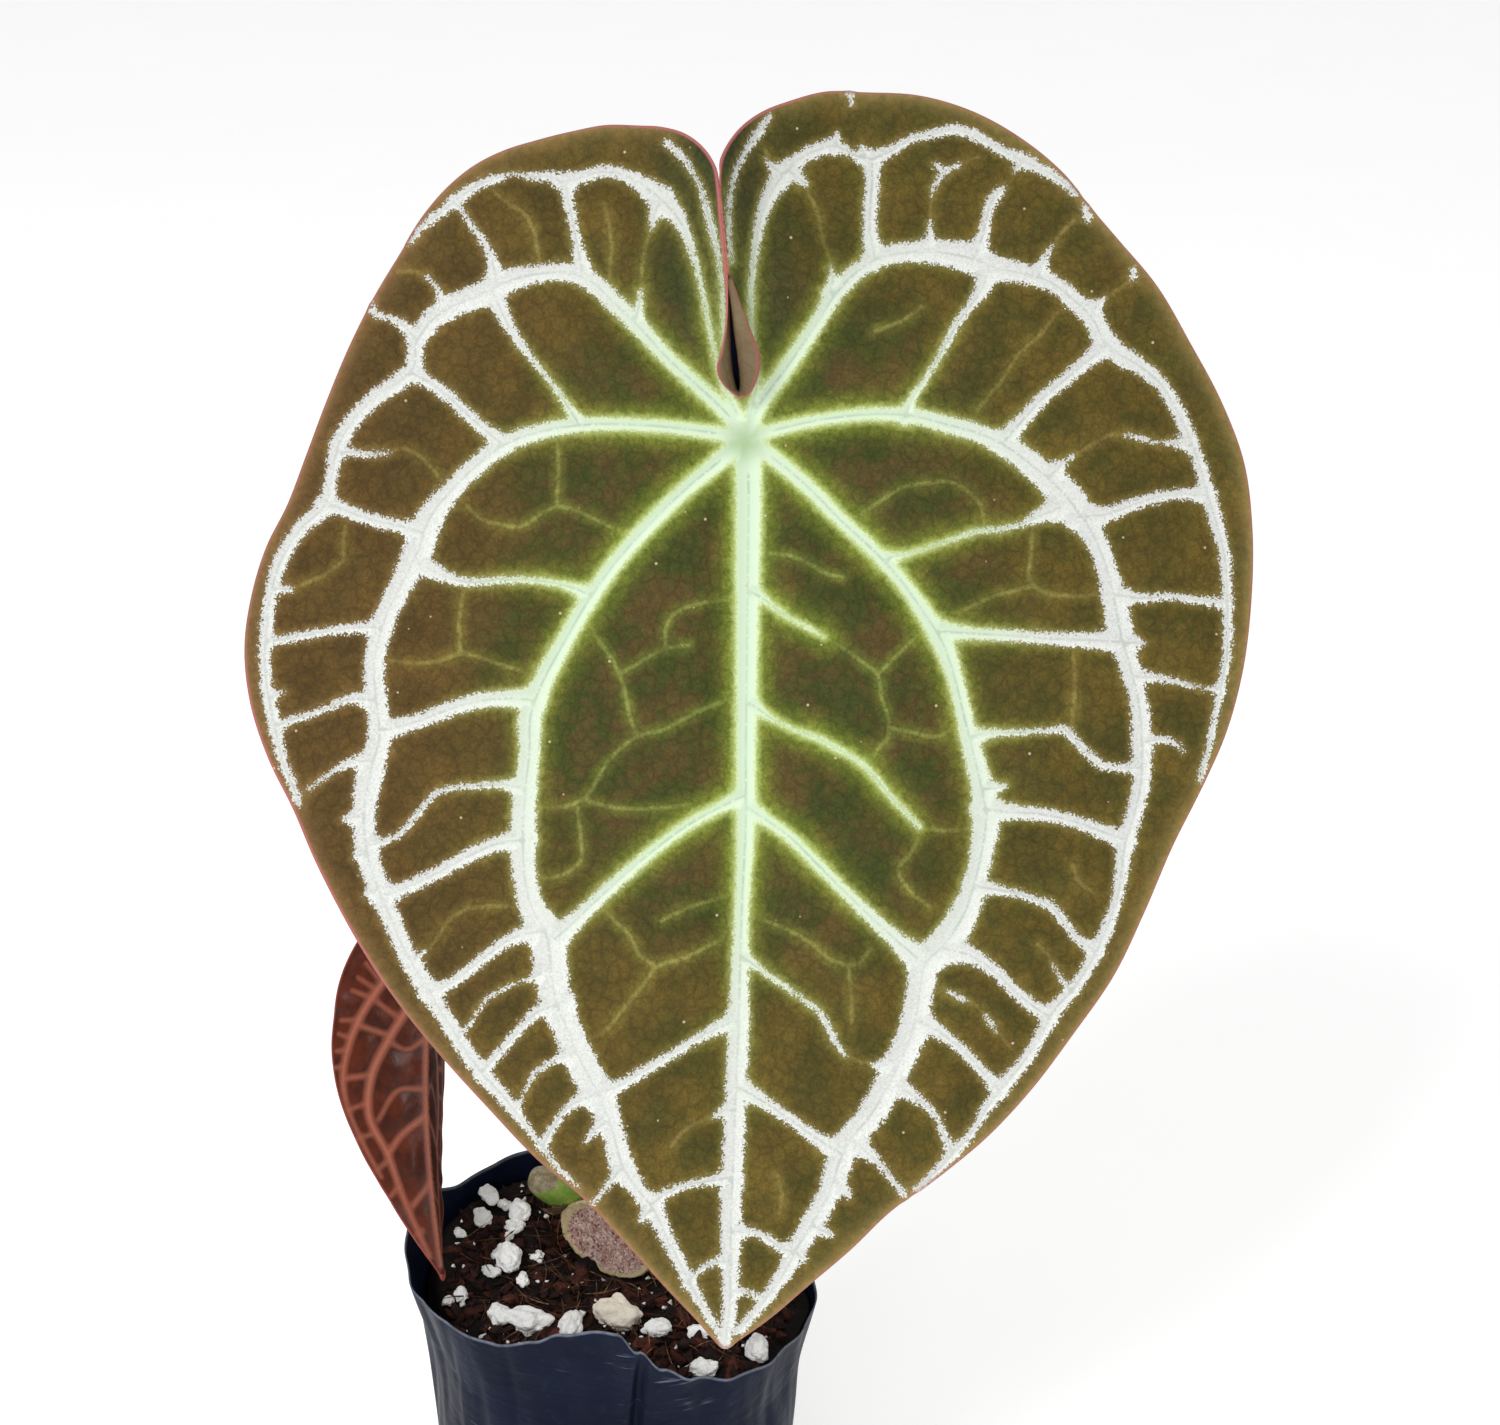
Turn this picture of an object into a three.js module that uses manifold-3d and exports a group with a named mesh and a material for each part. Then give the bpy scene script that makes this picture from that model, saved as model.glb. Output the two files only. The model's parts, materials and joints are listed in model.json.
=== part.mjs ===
// Potted crystal anthurium: one full-grown velvet leaf and one young leaf on a short cut
// rhizome, in a thin black nursery bag of coco chips and perlite.
// Millimetres, +Z up, +X to the right and +Y away from the eye that the leaves face.
// The origin is the middle of the bag's flat bottom.

import * as THREE from 'three';
import Module from 'manifold-3d';
import { mergeVertices } from 'three/addons/utils/BufferGeometryUtils.js';

// Driving dimensions of the bag and what fills it.
const BAG_HEIGHT = 105;
const RIM_RADIUS = 47.5;
const NECK_RADIUS = 44.5;
const BODY_RADIUS = 42.5;
const BASE_RADIUS = 40;
const BAG_WALL = 1.0;
const CLEARANCE = 0.3;
const MIX_LEVEL = 96;
const MIX_MOUND = 3;
const MIX_EDGE_DROP = 2;
const MIX_SLACK = 0.5;
const MIX_LOW_SHARES = [0.1, 0.3, 0.5, 0.68, 0.8];

// Driving dimensions of the leaves.
const BLADE_THICKNESS = 0.8;
const BOSS_ALONG = -1;
const BOSS_SLOPE = 1.4;
const LARGE_RIB_DEPTH = 1.3;
const LARGE_RIDGE = 0.7;
const LARGE_QUILT = 1.5;
const LARGE_QUILT_REACH = 6;
const LARGE_SINUS_RISE = 18;
const LARGE_SINUS_REACH = 9;
const LARGE_TIP_DROOP = 9;
const LARGE_SIDE_DROOP = 9;
const LARGE_TOP_DROOP = 5;
const LARGE_VALLEY = 1.8;
const LARGE_MARGIN_WAVE = 1.1;
const LARGE_BOSS_RADIUS = 3.6;
const LARGE_BOSS_DEPTH = 2;
const LARGE_TIP_REACH = 196;
const LARGE_LOBE_REACH = 74;
const LARGE_HALF_WIDTH = 108;
const YOUNG_RIB_DEPTH = 0.7;
const YOUNG_RIDGE = 0.2;
const YOUNG_QUILT = 0.9;
const YOUNG_QUILT_REACH = 3;
const YOUNG_CUP = 5.5;
const YOUNG_HALF_WIDTH = 22.7;
const YOUNG_LENGTH = 81.4;
const YOUNG_BOSS_RADIUS = 2.2;
const YOUNG_BOSS_DEPTH = 1;
const YOUNG_FOLD = THREE.MathUtils.degToRad(83);
const LARGE_PETIOLE_RADIUS = 2.1;
const YOUNG_PETIOLE_RADIUS = 1.3;

// The leaves face an eye that looks 24 degrees down, and their outlines are drawn square to it.
const LOOK_DOWN = THREE.MathUtils.degToRad(24);
const ACROSS = new THREE.Vector3(1, 0, 0);
const ALONG = new THREE.Vector3(0, Math.sin(LOOK_DOWN), Math.cos(LOOK_DOWN));
const TOWARDS = new THREE.Vector3(0, -Math.cos(LOOK_DOWN), Math.sin(LOOK_DOWN));
const RIM_CENTRE = new THREE.Vector3(0, 0, BAG_HEIGHT);
const LARGE_JUNCTION = new THREE.Vector3(32.3, 31.3, 193.1).add(RIM_CENTRE);
const LARGE_VIEW_DISTANCE = 550;
const LARGE_VIEW_CENTRE = [1.1, -59.3];
const YOUNG_JUNCTION = new THREE.Vector3(-38.5, 19.4, 80.4).add(RIM_CENTRE);

// Where the cut end of the rhizome and the crown lie, from the middle of the rim.
const CUT_END = new THREE.Vector3(-1.5, 16, -4).add(RIM_CENTRE);
const CROWN = new THREE.Vector3(12, 34, -7).add(RIM_CENTRE);

// Outline of the large blade: across and along from the junction of its veins.
const LARGE_OUTLINE = [
  [-1, 8.6], [-4, 9.9], [-5.9, 12.8], [-6, 16.6], [-4.4, 20.6], [-3.6, 24.5], [-3.5, 30], [-4, 36],
  [-4.9, 43], [-5.9, 49], [-6.6, 55], [-8, 60.5], [-11.5, 64.6], [-16, 66.6], [-23, 67.2], [-30, 67.3],
  [-37, 66], [-45, 64], [-52, 61.8], [-58, 58.8], [-64, 54], [-69, 48.2], [-74, 40], [-80, 30],
  [-85, 20], [-90, 8], [-94.5, -4], [-98.5, -14.5], [-103, -23.5], [-106.2, -34], [-107.7, -45],
  [-106.5, -57], [-102.6, -69], [-97.2, -80], [-92.5, -91], [-88, -100], [-81, -112.3], [-73, -123.8],
  [-65, -133.5], [-55, -144.5], [-45, -155], [-35, -163.5], [-26, -173], [-16, -184], [-9.5, -190.8],
  [-6.2, -194.5], [-4.3, -195.9], [-1, -194], [5, -189.8], [13, -183], [23, -174.5], [31, -166.8],
  [41, -159.5], [51, -151.5], [61, -141], [70.5, -128.5], [79.5, -115.5], [86, -102], [92, -88],
  [98.5, -75], [103.4, -64], [107, -51], [109, -35], [109.2, -19], [107.5, -5.5], [102.5, 8],
  [96, 20.2], [88.5, 33], [80.5, 42.5], [74.5, 49.5], [68, 57.5], [59, 64.8], [49, 70.3], [38, 73.6],
  [25, 74.4], [18, 74.6], [10, 72.6], [3, 69.4], [-1.4, 64.7], [-3.6, 60], [-4.2, 55], [-3.6, 49],
  [-2.7, 43], [-1.8, 36], [-1.2, 30], [0.4, 25], [2.6, 20.6], [3.4, 16.6], [2.7, 12.6], [1.2, 9.8],
];

// Veins of the large blade: across, along and half width at each point.
// The first nine run on into a collective vein; the rest cross from one to the next.
const LARGE_MAIN_VEINS = [
  [[0.6, 0, 2.8], [0.7, -30, 2.6], [0.4, -60, 2.2], [0, -90, 1.9], [-0.9, -113, 1.8], [-1.6, -133, 2.2],
    [-2.4, -153, 2.2], [-3.1, -178, 1.8], [-4.2, -192, 1.2]],
  [[-3, -2.6, 1.8], [-12, -10.3, 1.7], [-28, -27, 1.7], [-39.5, -45, 1.9], [-46.2, -60, 2.6],
    [-47.3, -76, 2.4], [-47.5, -94, 2.5], [-42.8, -107, 3.4], [-40.8, -121, 3.2], [-35, -135, 3.1],
    [-28.6, -149, 2.3], [-22.6, -162.5, 1.8], [-13.8, -178, 1.3], [-7.6, -189.6, 0.8]],
  [[-4, 0.8, 1.5], [-14, 2.1, 1.4], [-34, 2.9, 1.5], [-51, -1, 1.8], [-63, -11, 2], [-70.5, -24.5, 2.8],
    [-77.6, -39, 2.3], [-79.4, -57, 2.2], [-80.7, -72, 2.6], [-81.5, -89, 2.2], [-76, -104, 1.9],
    [-68.5, -118.5, 1.9], [-56, -137.5, 1.5], [-43.4, -153, 1.2], [-36, -161, 0.8]],
  [[-3, 4, 1.8], [-11, 12, 1.6], [-23, 24.2, 1.8], [-33.5, 34, 1.9], [-45, 35.3, 1.9], [-57, 30.8, 2.5],
    [-68, 24.8, 2.1], [-71.5, 15, 1.7], [-80, 8.4, 1.6], [-87.6, -1.5, 1.6], [-90.5, -14.5, 1.6],
    [-99.6, -25.5, 1.4], [-103.1, -41, 1.3], [-102.6, -56, 1.2], [-99.6, -69.5, 0.9], [-96.4, -78, 0.6]],
  [[-5, 12.5, 0.7], [-6.8, 19, 0.7], [-9.7, 34, 0.8], [-13.6, 46, 1.3], [-20, 53, 2.1], [-31, 57.4, 1.3],
    [-38.5, 55.2, 1.6], [-53, 56.1, 0.9], [-65.5, 48.6, 0.9], [-72, 42.4, 0.6]],
  [[3, -2.2, 1.7], [13, -10, 1.6], [28.5, -25, 1.5], [38.5, -37.5, 1.8], [45.3, -52, 1.9], [49, -67, 2],
    [52, -81.5, 2.7], [49.7, -95, 2.4], [43, -109, 3.2], [37.7, -119.5, 2.9], [33.5, -134, 3],
    [22.5, -151.5, 2.7], [18, -163, 2.3], [8.4, -180, 1.5], [-0.6, -191.5, 0.8]],
  [[4, 1, 1.5], [13, 3.3, 1.4], [28.5, 5.2, 1.4], [44, 2.8, 1.8], [57, -2.2, 2.3], [67, -10.2, 3.1],
    [75.6, -22, 2.3], [79.8, -36, 2.5], [83.2, -50, 2.1], [85.5, -66, 1.9], [83.9, -81, 1.8],
    [81.2, -93, 1.4], [77.6, -106.5, 1.3], [66.5, -123.5, 1.5], [55.5, -139.8, 1.4], [44.8, -154.2, 1.1],
    [37, -161.8, 0.7]],
  [[2, 4.6, 1.9], [7, 12.5, 1.7], [15.3, 24.5, 1.6], [23.5, 35.3, 1.7], [35, 40, 2.1], [48.5, 38.8, 2.9],
    [61, 35.3, 2], [71, 29.6, 1.9], [77.3, 21.3, 2.1], [85.2, 15.4, 1.7], [92.6, 7, 1.3], [97.6, -4.5, 1.3],
    [103, -23.5, 1.2], [104, -39, 0.9], [101.4, -59.5, 0.7], [98, -74, 0.5]],
  [[2.4, 10, 0.8], [1.8, 20, 0.7], [1.6, 35, 0.7], [5.2, 52, 1.6], [12, 60.2, 1.5], [19.5, 63, 1.3],
    [27, 60.2, 1.4], [35.5, 64.3, 0.9], [46, 66.4, 1.1], [59.5, 60, 1.2], [71.3, 52.6, 0.6]],
];
const LARGE_CROSS_VEINS = [
  [[-0.5, -77.5, 1.6], [-12, -83.2, 1.2], [-26, -94.2, 1.4], [-41, -108, 2.4]],
  [[-1.5, -125.2, 1.8], [-15, -132.4, 0.9], [-31, -141, 1.9]],
  [[-3, -159.3, 1.4], [-13, -161.1, 0.8], [-20, -165, 1.3]],
  [[0.5, -79.5, 1.6], [10, -86.2, 1.2], [27, -103, 1.4], [38, -112.8, 2.4]],
  [[-1, -140, 1.7], [10, -147, 1.1], [20.5, -154, 2]],
  [[-2.5, -171, 1.4], [5, -172.6, 0.8], [11, -175.4, 1.2]],
  [[1, -57, 1.2], [15, -64.4, 0.6], [28, -73, 0.6], [37.6, -83.8, 0.5], [50, -84.4, 0.5]],
  [[1, -33, 1], [13, -40.6, 0.5], [28.5, -51, 0.5], [31, -62, 0.5], [47, -61, 0.5]],
  [[-1, -55.6, 1], [-18, -63, 0.6], [-30, -70.4, 0.6], [-34, -77, 0.6], [-46, -79, 0.6]],
  [[-1, -106.6, 1], [-19, -114, 0.6], [-29, -126.6, 0.6], [-36, -129.6, 0.6]],
  [[-0.5, -111.8, 1], [12, -120.6, 0.5], [21.8, -133, 0.5], [31, -135, 1]],
  [[-52.6, -0.5, 1.6], [-64, 9, 1.2], [-71.5, 14, 1.6]],
  [[-36, 3.4, 1.4], [-45, 16, 0.6], [-54.5, 32, 1.8]],
  [[-69, -20.5, 2], [-79, -18, 1.2], [-90.5, -14.3, 1.6]],
  [[-78.5, -40.6, 1.4], [-90, -41.6, 0.8], [-102.5, -43.8, 0.8]],
  [[-79.6, -56.5, 1.8], [-90, -58.2, 0.8], [-101.3, -62.2, 0.9]],
  [[-80.5, -69.5, 1.6], [-88, -71.5, 0.6], [-95.4, -76.6, 0.4]],
  [[-53.5, 33.6, 2], [-56.6, 42.6, 0.8], [-62.8, 51, 0.8]],
  [[-35, 36.3, 1.7], [-37, 46, 1], [-38.6, 55.3, 1.5]],
  [[-22.6, 27, 1.2], [-21.6, 39, 0.5], [-18.6, 51, 1.6]],
  [[-33.5, -33.6, 1.4], [-46, -30.6, 0.7], [-60, -31, 0.8], [-71, -26.5, 2]],
  [[-43, -51.6, 0.8], [-61, -46.4, 0.5], [-78, -48, 0.8]],
  [[-45.5, -56.4, 2.1], [-58, -56.8, 1.6], [-78.5, -63, 1.9]],
  [[-47.5, -75.4, 1.8], [-63, -75.4, 0.6], [-72, -82.8, 0.6], [-81, -87.5, 1.3]],
  [[-47.5, -86.5, 2.1], [-59, -89.8, 1.4], [-78.5, -98.5, 1.8]],
  [[-47, -101, 0.8], [-60, -101.6, 0.5], [-72, -113, 0.8]],
  [[-43, -106, 2.4], [-55, -111, 1.2], [-68.5, -119.3, 1.5]],
  [[-39, -121.5, 2], [-49, -128, 1], [-57, -136.8, 1.2]],
  [[-32, -141.3, 1.8], [-41, -148, 0.8], [-43.6, -152.4, 0.9]],
  [[30, -26, 1.3], [46, -21.4, 0.6], [60, -18.4, 0.8], [68, -15, 2.2]],
  [[42, -41.6, 1.9], [60, -42.8, 1.2], [81.5, -44, 2.1]],
  [[48.5, -64.4, 1.4], [66, -63, 0.7], [74, -68, 0.8], [85, -71, 1.3]],
  [[51.5, -80, 2.3], [65, -81.2, 1.3], [82, -86.6, 1.7]],
  [[49.5, -96.5, 1.8], [61, -98.8, 0.8], [69, -104.6, 0.8], [75.6, -110.4, 1.3]],
  [[43, -110, 2.6], [54, -115, 1.3], [65.6, -124.6, 1.5]],
  [[37, -125.2, 2], [48, -133, 1], [55, -140.4, 1.3]],
  [[33, -139.6, 1.6], [41, -145.8, 0.7], [44.6, -153.6, 0.9]],
  [[24, -152, 1.8], [32, -160.2, 0.6], [34.4, -163.4, 0.5]],
  [[34.5, 4.5, 1.4], [41, 16, 0.6], [48.6, 28.6, 1], [52, 35, 2]],
  [[55.5, -1, 2], [64, 8.4, 1.3], [78, 20, 1.8]],
  [[67, -7, 1.6], [75, -1.4, 0.5], [83, 0.5, 0.5], [96, -1.6, 1.1]],
  [[71.8, -17, 2.3], [83, -14.6, 1.2], [99.4, -12.3, 1.4]],
  [[79.6, -33.6, 1.9], [91, -34.2, 0.8], [103.8, -35.6, 0.9]],
  [[83.5, -51.3, 1.6], [93, -52.5, 0.7], [102.4, -54.2, 0.7]],
  [[28, 39, 2], [27, 50, 1.4], [27.4, 60, 1.7]],
  [[49.5, 39, 2.3], [52, 47, 1], [55, 53.4, 0.7], [60, 59.8, 0.9]],
  [[39.6, 41, 1.3], [40.2, 52, 0.5], [46.4, 59.6, 0.6]],
  [[63.5, 35.4, 1.3], [68, 44, 0.5], [73, 48.5, 0.5]],
];

// Outline and veins of the young blade, in the same way. Its right half mirrors its left.
const YOUNG_HALF_OUTLINE = [
  [-1, 1.5], [-3, 4.6], [-6.5, 6.8], [-10.5, 5.6], [-15, 0.6], [-19, -6], [-21.6, -13.5], [-22.4, -21],
  [-22.7, -29.3], [-21.8, -36], [-20.2, -42], [-17.4, -49], [-14.6, -55], [-11.6, -60.5], [-8.6, -66],
  [-5.6, -71.6], [-3, -76], [-0.9, -79.6],
];
const YOUNG_TIP = [0, -81.4];
const YOUNG_MIDRIB_BEND = 2.6;
const YOUNG_TIP_SWING = 1.6;
const YOUNG_HALF_VEINS = [
  [[-1.5, -3, 0.9], [-5, -19, 0.8], [-8.6, -25.6, 0.8], [-12.9, -35, 0.8], [-13.6, -44, 0.8],
    [-9.6, -52.8, 0.8], [-7, -62, 0.6], [-2.4, -76, 0.5]],
  [[-2, -1.6, 0.8], [-11.4, -13.6, 0.8], [-16.6, -22.6, 0.7], [-19, -30, 0.7], [-19.8, -36.6, 0.6],
    [-19, -41.5, 0.5]],
  [[-0.4, -43.8, 0.8], [-6.4, -48.6, 0.7], [-9.6, -52.8, 0.8]],
  [[-1, -37.6, 0.5], [-6, -37.8, 0.5], [-11.4, -45, 0.5]],
  [[-0.4, -59.4, 0.6], [-4.8, -64.4, 0.5]],
  [[-13, -34.6, 0.5], [-19.6, -35.8, 0.5]],
  [[-9, -25.4, 0.5], [-16, -23.4, 0.5]],
];

// Rim of the bag: degrees round from +X, rise over the mean rim, and how far it leans in.
const RIM_WAVES = [
  [0, -8, -1.2], [25, -4, 0], [60, 2, 0.6], [95, 4, 0], [125, 5, 0.8], [143, 4, 0.6], [160, 8, 0],
  [178, 8, -0.6], [198, 6.5, 0.4], [222, 7, 1.4], [240, 8, 2.2], [252, 11, 2.2], [260, 14, 2], [270, 16, 1.4],
  [276, 16.6, 0], [281, 11, 0.4], [288, 5, 1], [297, 0, 1.4], [310, -4, 1], [328, -7, 0.4], [345, -8.6, -0.8],
];

// Lumps of perlite in the top of the mix: across, away and size, from the middle of the rim.
const PERLITE = [
  [-21.5, 34.5, 4.6], [-29, 24, 6], [-29.5, 15.5, 6], [-24, 18.5, 3.4], [-21, 15.5, 7.2], [-35, 11.5, 3.6],
  [-28, 9.5, 4], [-22.5, 7.5, 4.2], [-26.5, 4.5, 4.4], [-22.6, 1.5, 7.4], [-16.5, 3, 3.2], [-19, -5, 4.2],
  [-34, -7, 3.6], [-37, -11, 3.6], [-25.5, -16.5, 7], [-18, -19, 8.6], [-8, -20, 6.4], [3, -15, 9],
  [12, -20, 6.2], [22.5, -22, 6.4], [21, -33, 5.2], [38, -17, 7.6], [8, -33, 4.4], [-6, 38, 4.6],
  [24, 12, 4.8], [33, 20, 4.2], [26, 32, 5.2], [-14, 27, 4.4], [37, 2, 4],
];
const CHIP_COUNT = 26;

const SEED = 7;

// A repeatable stream of numbers from 0 to 1.
function randomStream(seed) {
  let state = seed >>> 0;
  return () => {
    state = (state + 0x6d2b79f5) >>> 0;
    let value = Math.imul(state ^ (state >>> 15), 1 | state);
    value ^= value + Math.imul(value ^ (value >>> 7), 61 | value);
    return ((value ^ (value >>> 14)) >>> 0) / 4294967296;
  };
}

// Points every step or so along a smooth line through hand-set points.
// A third number, such as a half width, is carried along.
function smoothLine(points, step, closed = false) {
  const curve = new THREE.CatmullRomCurve3(
    points.map(([a, b, w = 0]) => new THREE.Vector3(a, b, w)), closed, 'centripetal');
  const count = Math.max(2, Math.round(curve.getLength() / step));
  const line = curve.getSpacedPoints(count).map((p) => [p.x, p.y, p.z]);
  if (closed) line.pop();
  return line;
}

// Nearest point of a set of lines: how far, and the half width there.
function nearestOnLines(lines, a, b) {
  let best = { distance: Infinity, width: 1 };
  for (const line of lines) {
    for (let i = 0; i + 1 < line.length; i += 1) {
      const [a0, b0, w0] = line[i];
      const [a1, b1, w1] = line[i + 1];
      const length2 = (a1 - a0) ** 2 + (b1 - b0) ** 2;
      const t = THREE.MathUtils.clamp(((a - a0) * (a1 - a0) + (b - b0) * (b1 - b0)) / length2, 0, 1);
      const distance = Math.hypot(a - a0 - t * (a1 - a0), b - b0 - t * (b1 - b0));
      if (distance < best.distance) best = { distance, width: w0 + t * (w1 - w0) };
    }
  }
  return best;
}

function isInside(outline, a, b) {
  let inside = false;
  for (let i = 0, j = outline.length - 1; i < outline.length; j = i, i += 1) {
    const [ai, bi] = outline[i];
    const [aj, bj] = outline[j];
    if (bi > b !== bj > b && a < ((aj - ai) * (b - bi)) / (bj - bi) + ai) inside = !inside;
  }
  return inside;
}

// Delaunay triangles of flat points, by adding them one at a time.
function delaunay(points) {
  const far = 5000;
  const all = [...points, [-far, -far], [far, -far], [0, far]];
  const n = points.length;
  const circle = (i, j, k) => {
    const [ax, ay] = all[i];
    const [bx, by] = all[j];
    const [cx, cy] = all[k];
    const d = 2 * (ax * (by - cy) + bx * (cy - ay) + cx * (ay - by));
    const a2 = ax * ax + ay * ay;
    const b2 = bx * bx + by * by;
    const c2 = cx * cx + cy * cy;
    const x = (a2 * (by - cy) + b2 * (cy - ay) + c2 * (ay - by)) / d;
    const y = (a2 * (cx - bx) + b2 * (ax - cx) + c2 * (bx - ax)) / d;
    return { corners: d > 0 ? [i, j, k] : [i, k, j], x, y, r2: (ax - x) ** 2 + (ay - y) ** 2 };
  };
  let triangles = [circle(n, n + 1, n + 2)];
  for (let p = 0; p < n; p += 1) {
    const [x, y] = all[p];
    const edges = new Map();
    const kept = [];
    for (const t of triangles) {
      if ((x - t.x) ** 2 + (y - t.y) ** 2 >= t.r2) {
        kept.push(t);
        continue;
      }
      for (let e = 0; e < 3; e += 1) {
        const i = t.corners[e];
        const j = t.corners[(e + 1) % 3];
        if (!edges.delete(`${j} ${i}`)) edges.set(`${i} ${j}`, [i, j]);
      }
    }
    triangles = kept;
    for (const [i, j] of edges.values()) triangles.push(circle(i, j, p));
  }
  return triangles.map((t) => t.corners).filter((corners) => corners.every((c) => c < n));
}

// Points over a blade: its margin, rows along each vein and its flanks, and a fill between.
function bladePoints(margin, mainLines, crossLines, spacing) {
  const points = [];
  const near = (a, b, gap) => points.some(([pa, pb]) => Math.hypot(pa - a, pb - b) < gap);
  const add = (a, b, gap) => {
    if (isInside(margin, a, b) && !near(a, b, gap)) points.push([a, b]);
  };
  margin.forEach(([a, b]) => points.push([a, b]));
  const lines = [...mainLines, ...crossLines];
  for (const line of lines) line.forEach(([a, b]) => add(a, b, spacing.least));
  for (const line of lines) {
    for (let i = 1; i + 1 < line.length; i += 1) {
      const [a, b, w] = line[i];
      const da = line[i + 1][0] - line[i - 1][0];
      const db = line[i + 1][1] - line[i - 1][1];
      const reach = (w + spacing.flank) / Math.hypot(da, db);
      add(a - db * reach, b + da * reach, spacing.least);
      add(a + db * reach, b - da * reach, spacing.least);
    }
  }
  const random = randomStream(SEED);
  const box = new THREE.Box2().setFromPoints(margin.map(([a, b]) => new THREE.Vector2(a, b)));
  const rowStep = spacing.fill * 0.866;
  for (let b = box.min.y, row = 0; b < box.max.y; b += rowStep, row += 1) {
    for (let a = box.min.x + (row % 2) * spacing.fill * 0.5; a < box.max.x; a += spacing.fill) {
      add(a + random() * 0.6, b + random() * 0.6, spacing.fill * 0.55);
    }
  }
  return points;
}

// A thin waved blade: the same triangles on the upper and lower faces, and a margin between.
// place(a, b) gives a point of the upper face, and thickness(a, b) how deep the blade is there.
function bladeGeometry(margin, points, place, thickness) {
  const flat = delaunay(points).filter((corners) => {
    const a = corners.reduce((sum, c) => sum + points[c][0], 0) / 3;
    const b = corners.reduce((sum, c) => sum + points[c][1], 0) / 3;
    return isInside(margin, a, b);
  });
  const step = 0.4;
  const positions = [];
  const lower = [];
  for (const [a, b] of points) {
    const top = place(a, b);
    const alongA = place(a + step, b).sub(place(a - step, b));
    const alongB = place(a, b + step).sub(place(a, b - step));
    const normal = alongA.cross(alongB).normalize();
    positions.push(top.x, top.y, top.z);
    const bottom = top.clone().addScaledVector(normal, -thickness(a, b));
    lower.push(bottom.x, bottom.y, bottom.z);
  }
  const n = points.length;
  const index = [];
  const edges = new Map();
  for (const [i, j, k] of flat) {
    index.push(i, j, k, n + i, n + k, n + j);
    for (const [p, q] of [[i, j], [j, k], [k, i]]) {
      if (!edges.delete(`${q} ${p}`)) edges.set(`${p} ${q}`, [p, q]);
    }
  }
  for (const [p, q] of edges.values()) index.push(p, n + p, q, q, n + p, n + q);
  const geometry = new THREE.BufferGeometry();
  geometry.setAttribute('position', new THREE.Float32BufferAttribute([...positions, ...lower], 3));
  geometry.setIndex(index);
  return dropUnused(geometry);
}

// The same geometry without points that no triangle uses.
function dropUnused(geometry) {
  const index = geometry.getIndex().array;
  const source = geometry.getAttribute('position').array;
  const places = new Map();
  const positions = [];
  const kept = [];
  for (const i of index) {
    if (!places.has(i)) {
      places.set(i, places.size);
      positions.push(source[3 * i], source[3 * i + 1], source[3 * i + 2]);
    }
    kept.push(places.get(i));
  }
  const result = new THREE.BufferGeometry();
  result.setAttribute('position', new THREE.Float32BufferAttribute(positions, 3));
  result.setIndex(kept);
  return result;
}

// The flat round boss behind a junction, where the petiole meets the blade.
function bossShare(a, b, radius) {
  return THREE.MathUtils.smoothstep(radius + BOSS_SLOPE - Math.hypot(a, b - BOSS_ALONG), 0, BOSS_SLOPE);
}

// Height of cells that swell between the veins, and of the low ridge along each vein.
function quilting(vein, height, reach) {
  const beyond = Math.max(0, vein.distance - vein.width);
  return height * (1 - Math.exp(-((beyond / reach) ** 2)));
}

function ribBump(vein) {
  const share = vein.distance / (vein.width + 0.6);
  return Math.max(0, 1 - share * share);
}

// Middle of the cleft between the two back lobes of the large blade, at a height along it.
function sinusCentre(b) {
  return THREE.MathUtils.lerp(-1.2, -5.3, THREE.MathUtils.smoothstep(b, 12, 58));
}

// Height of the large blade's broad form towards the eye. The back lobes rise to the cleft,
// and the sides and the tip bend away.
function largeForm(a, b) {
  const cleft = Math.abs(a - sinusCentre(b));
  const rise = LARGE_SINUS_RISE * Math.exp(-cleft / LARGE_SINUS_REACH) * THREE.MathUtils.smoothstep(b, 3, 34);
  const tip = LARGE_TIP_DROOP * (Math.max(0, -b) / LARGE_TIP_REACH) ** 2;
  const top = LARGE_TOP_DROOP * (Math.max(0, b) / LARGE_LOBE_REACH) ** 2;
  const side = LARGE_SIDE_DROOP * (Math.abs(a) / LARGE_HALF_WIDTH) ** 2.4;
  const valley = LARGE_VALLEY * (1 - Math.exp(-((a / 15) ** 2)));
  const middle = LARGE_VIEW_CENTRE[1];
  const outward = Math.hypot(a, b - middle) / LARGE_HALF_WIDTH;
  const wave = LARGE_MARGIN_WAVE * Math.sin(Math.atan2(b - middle, a) * 7 + 0.6) * outward ** 3;
  return rise - tip - top - side + valley + wave;
}

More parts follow.
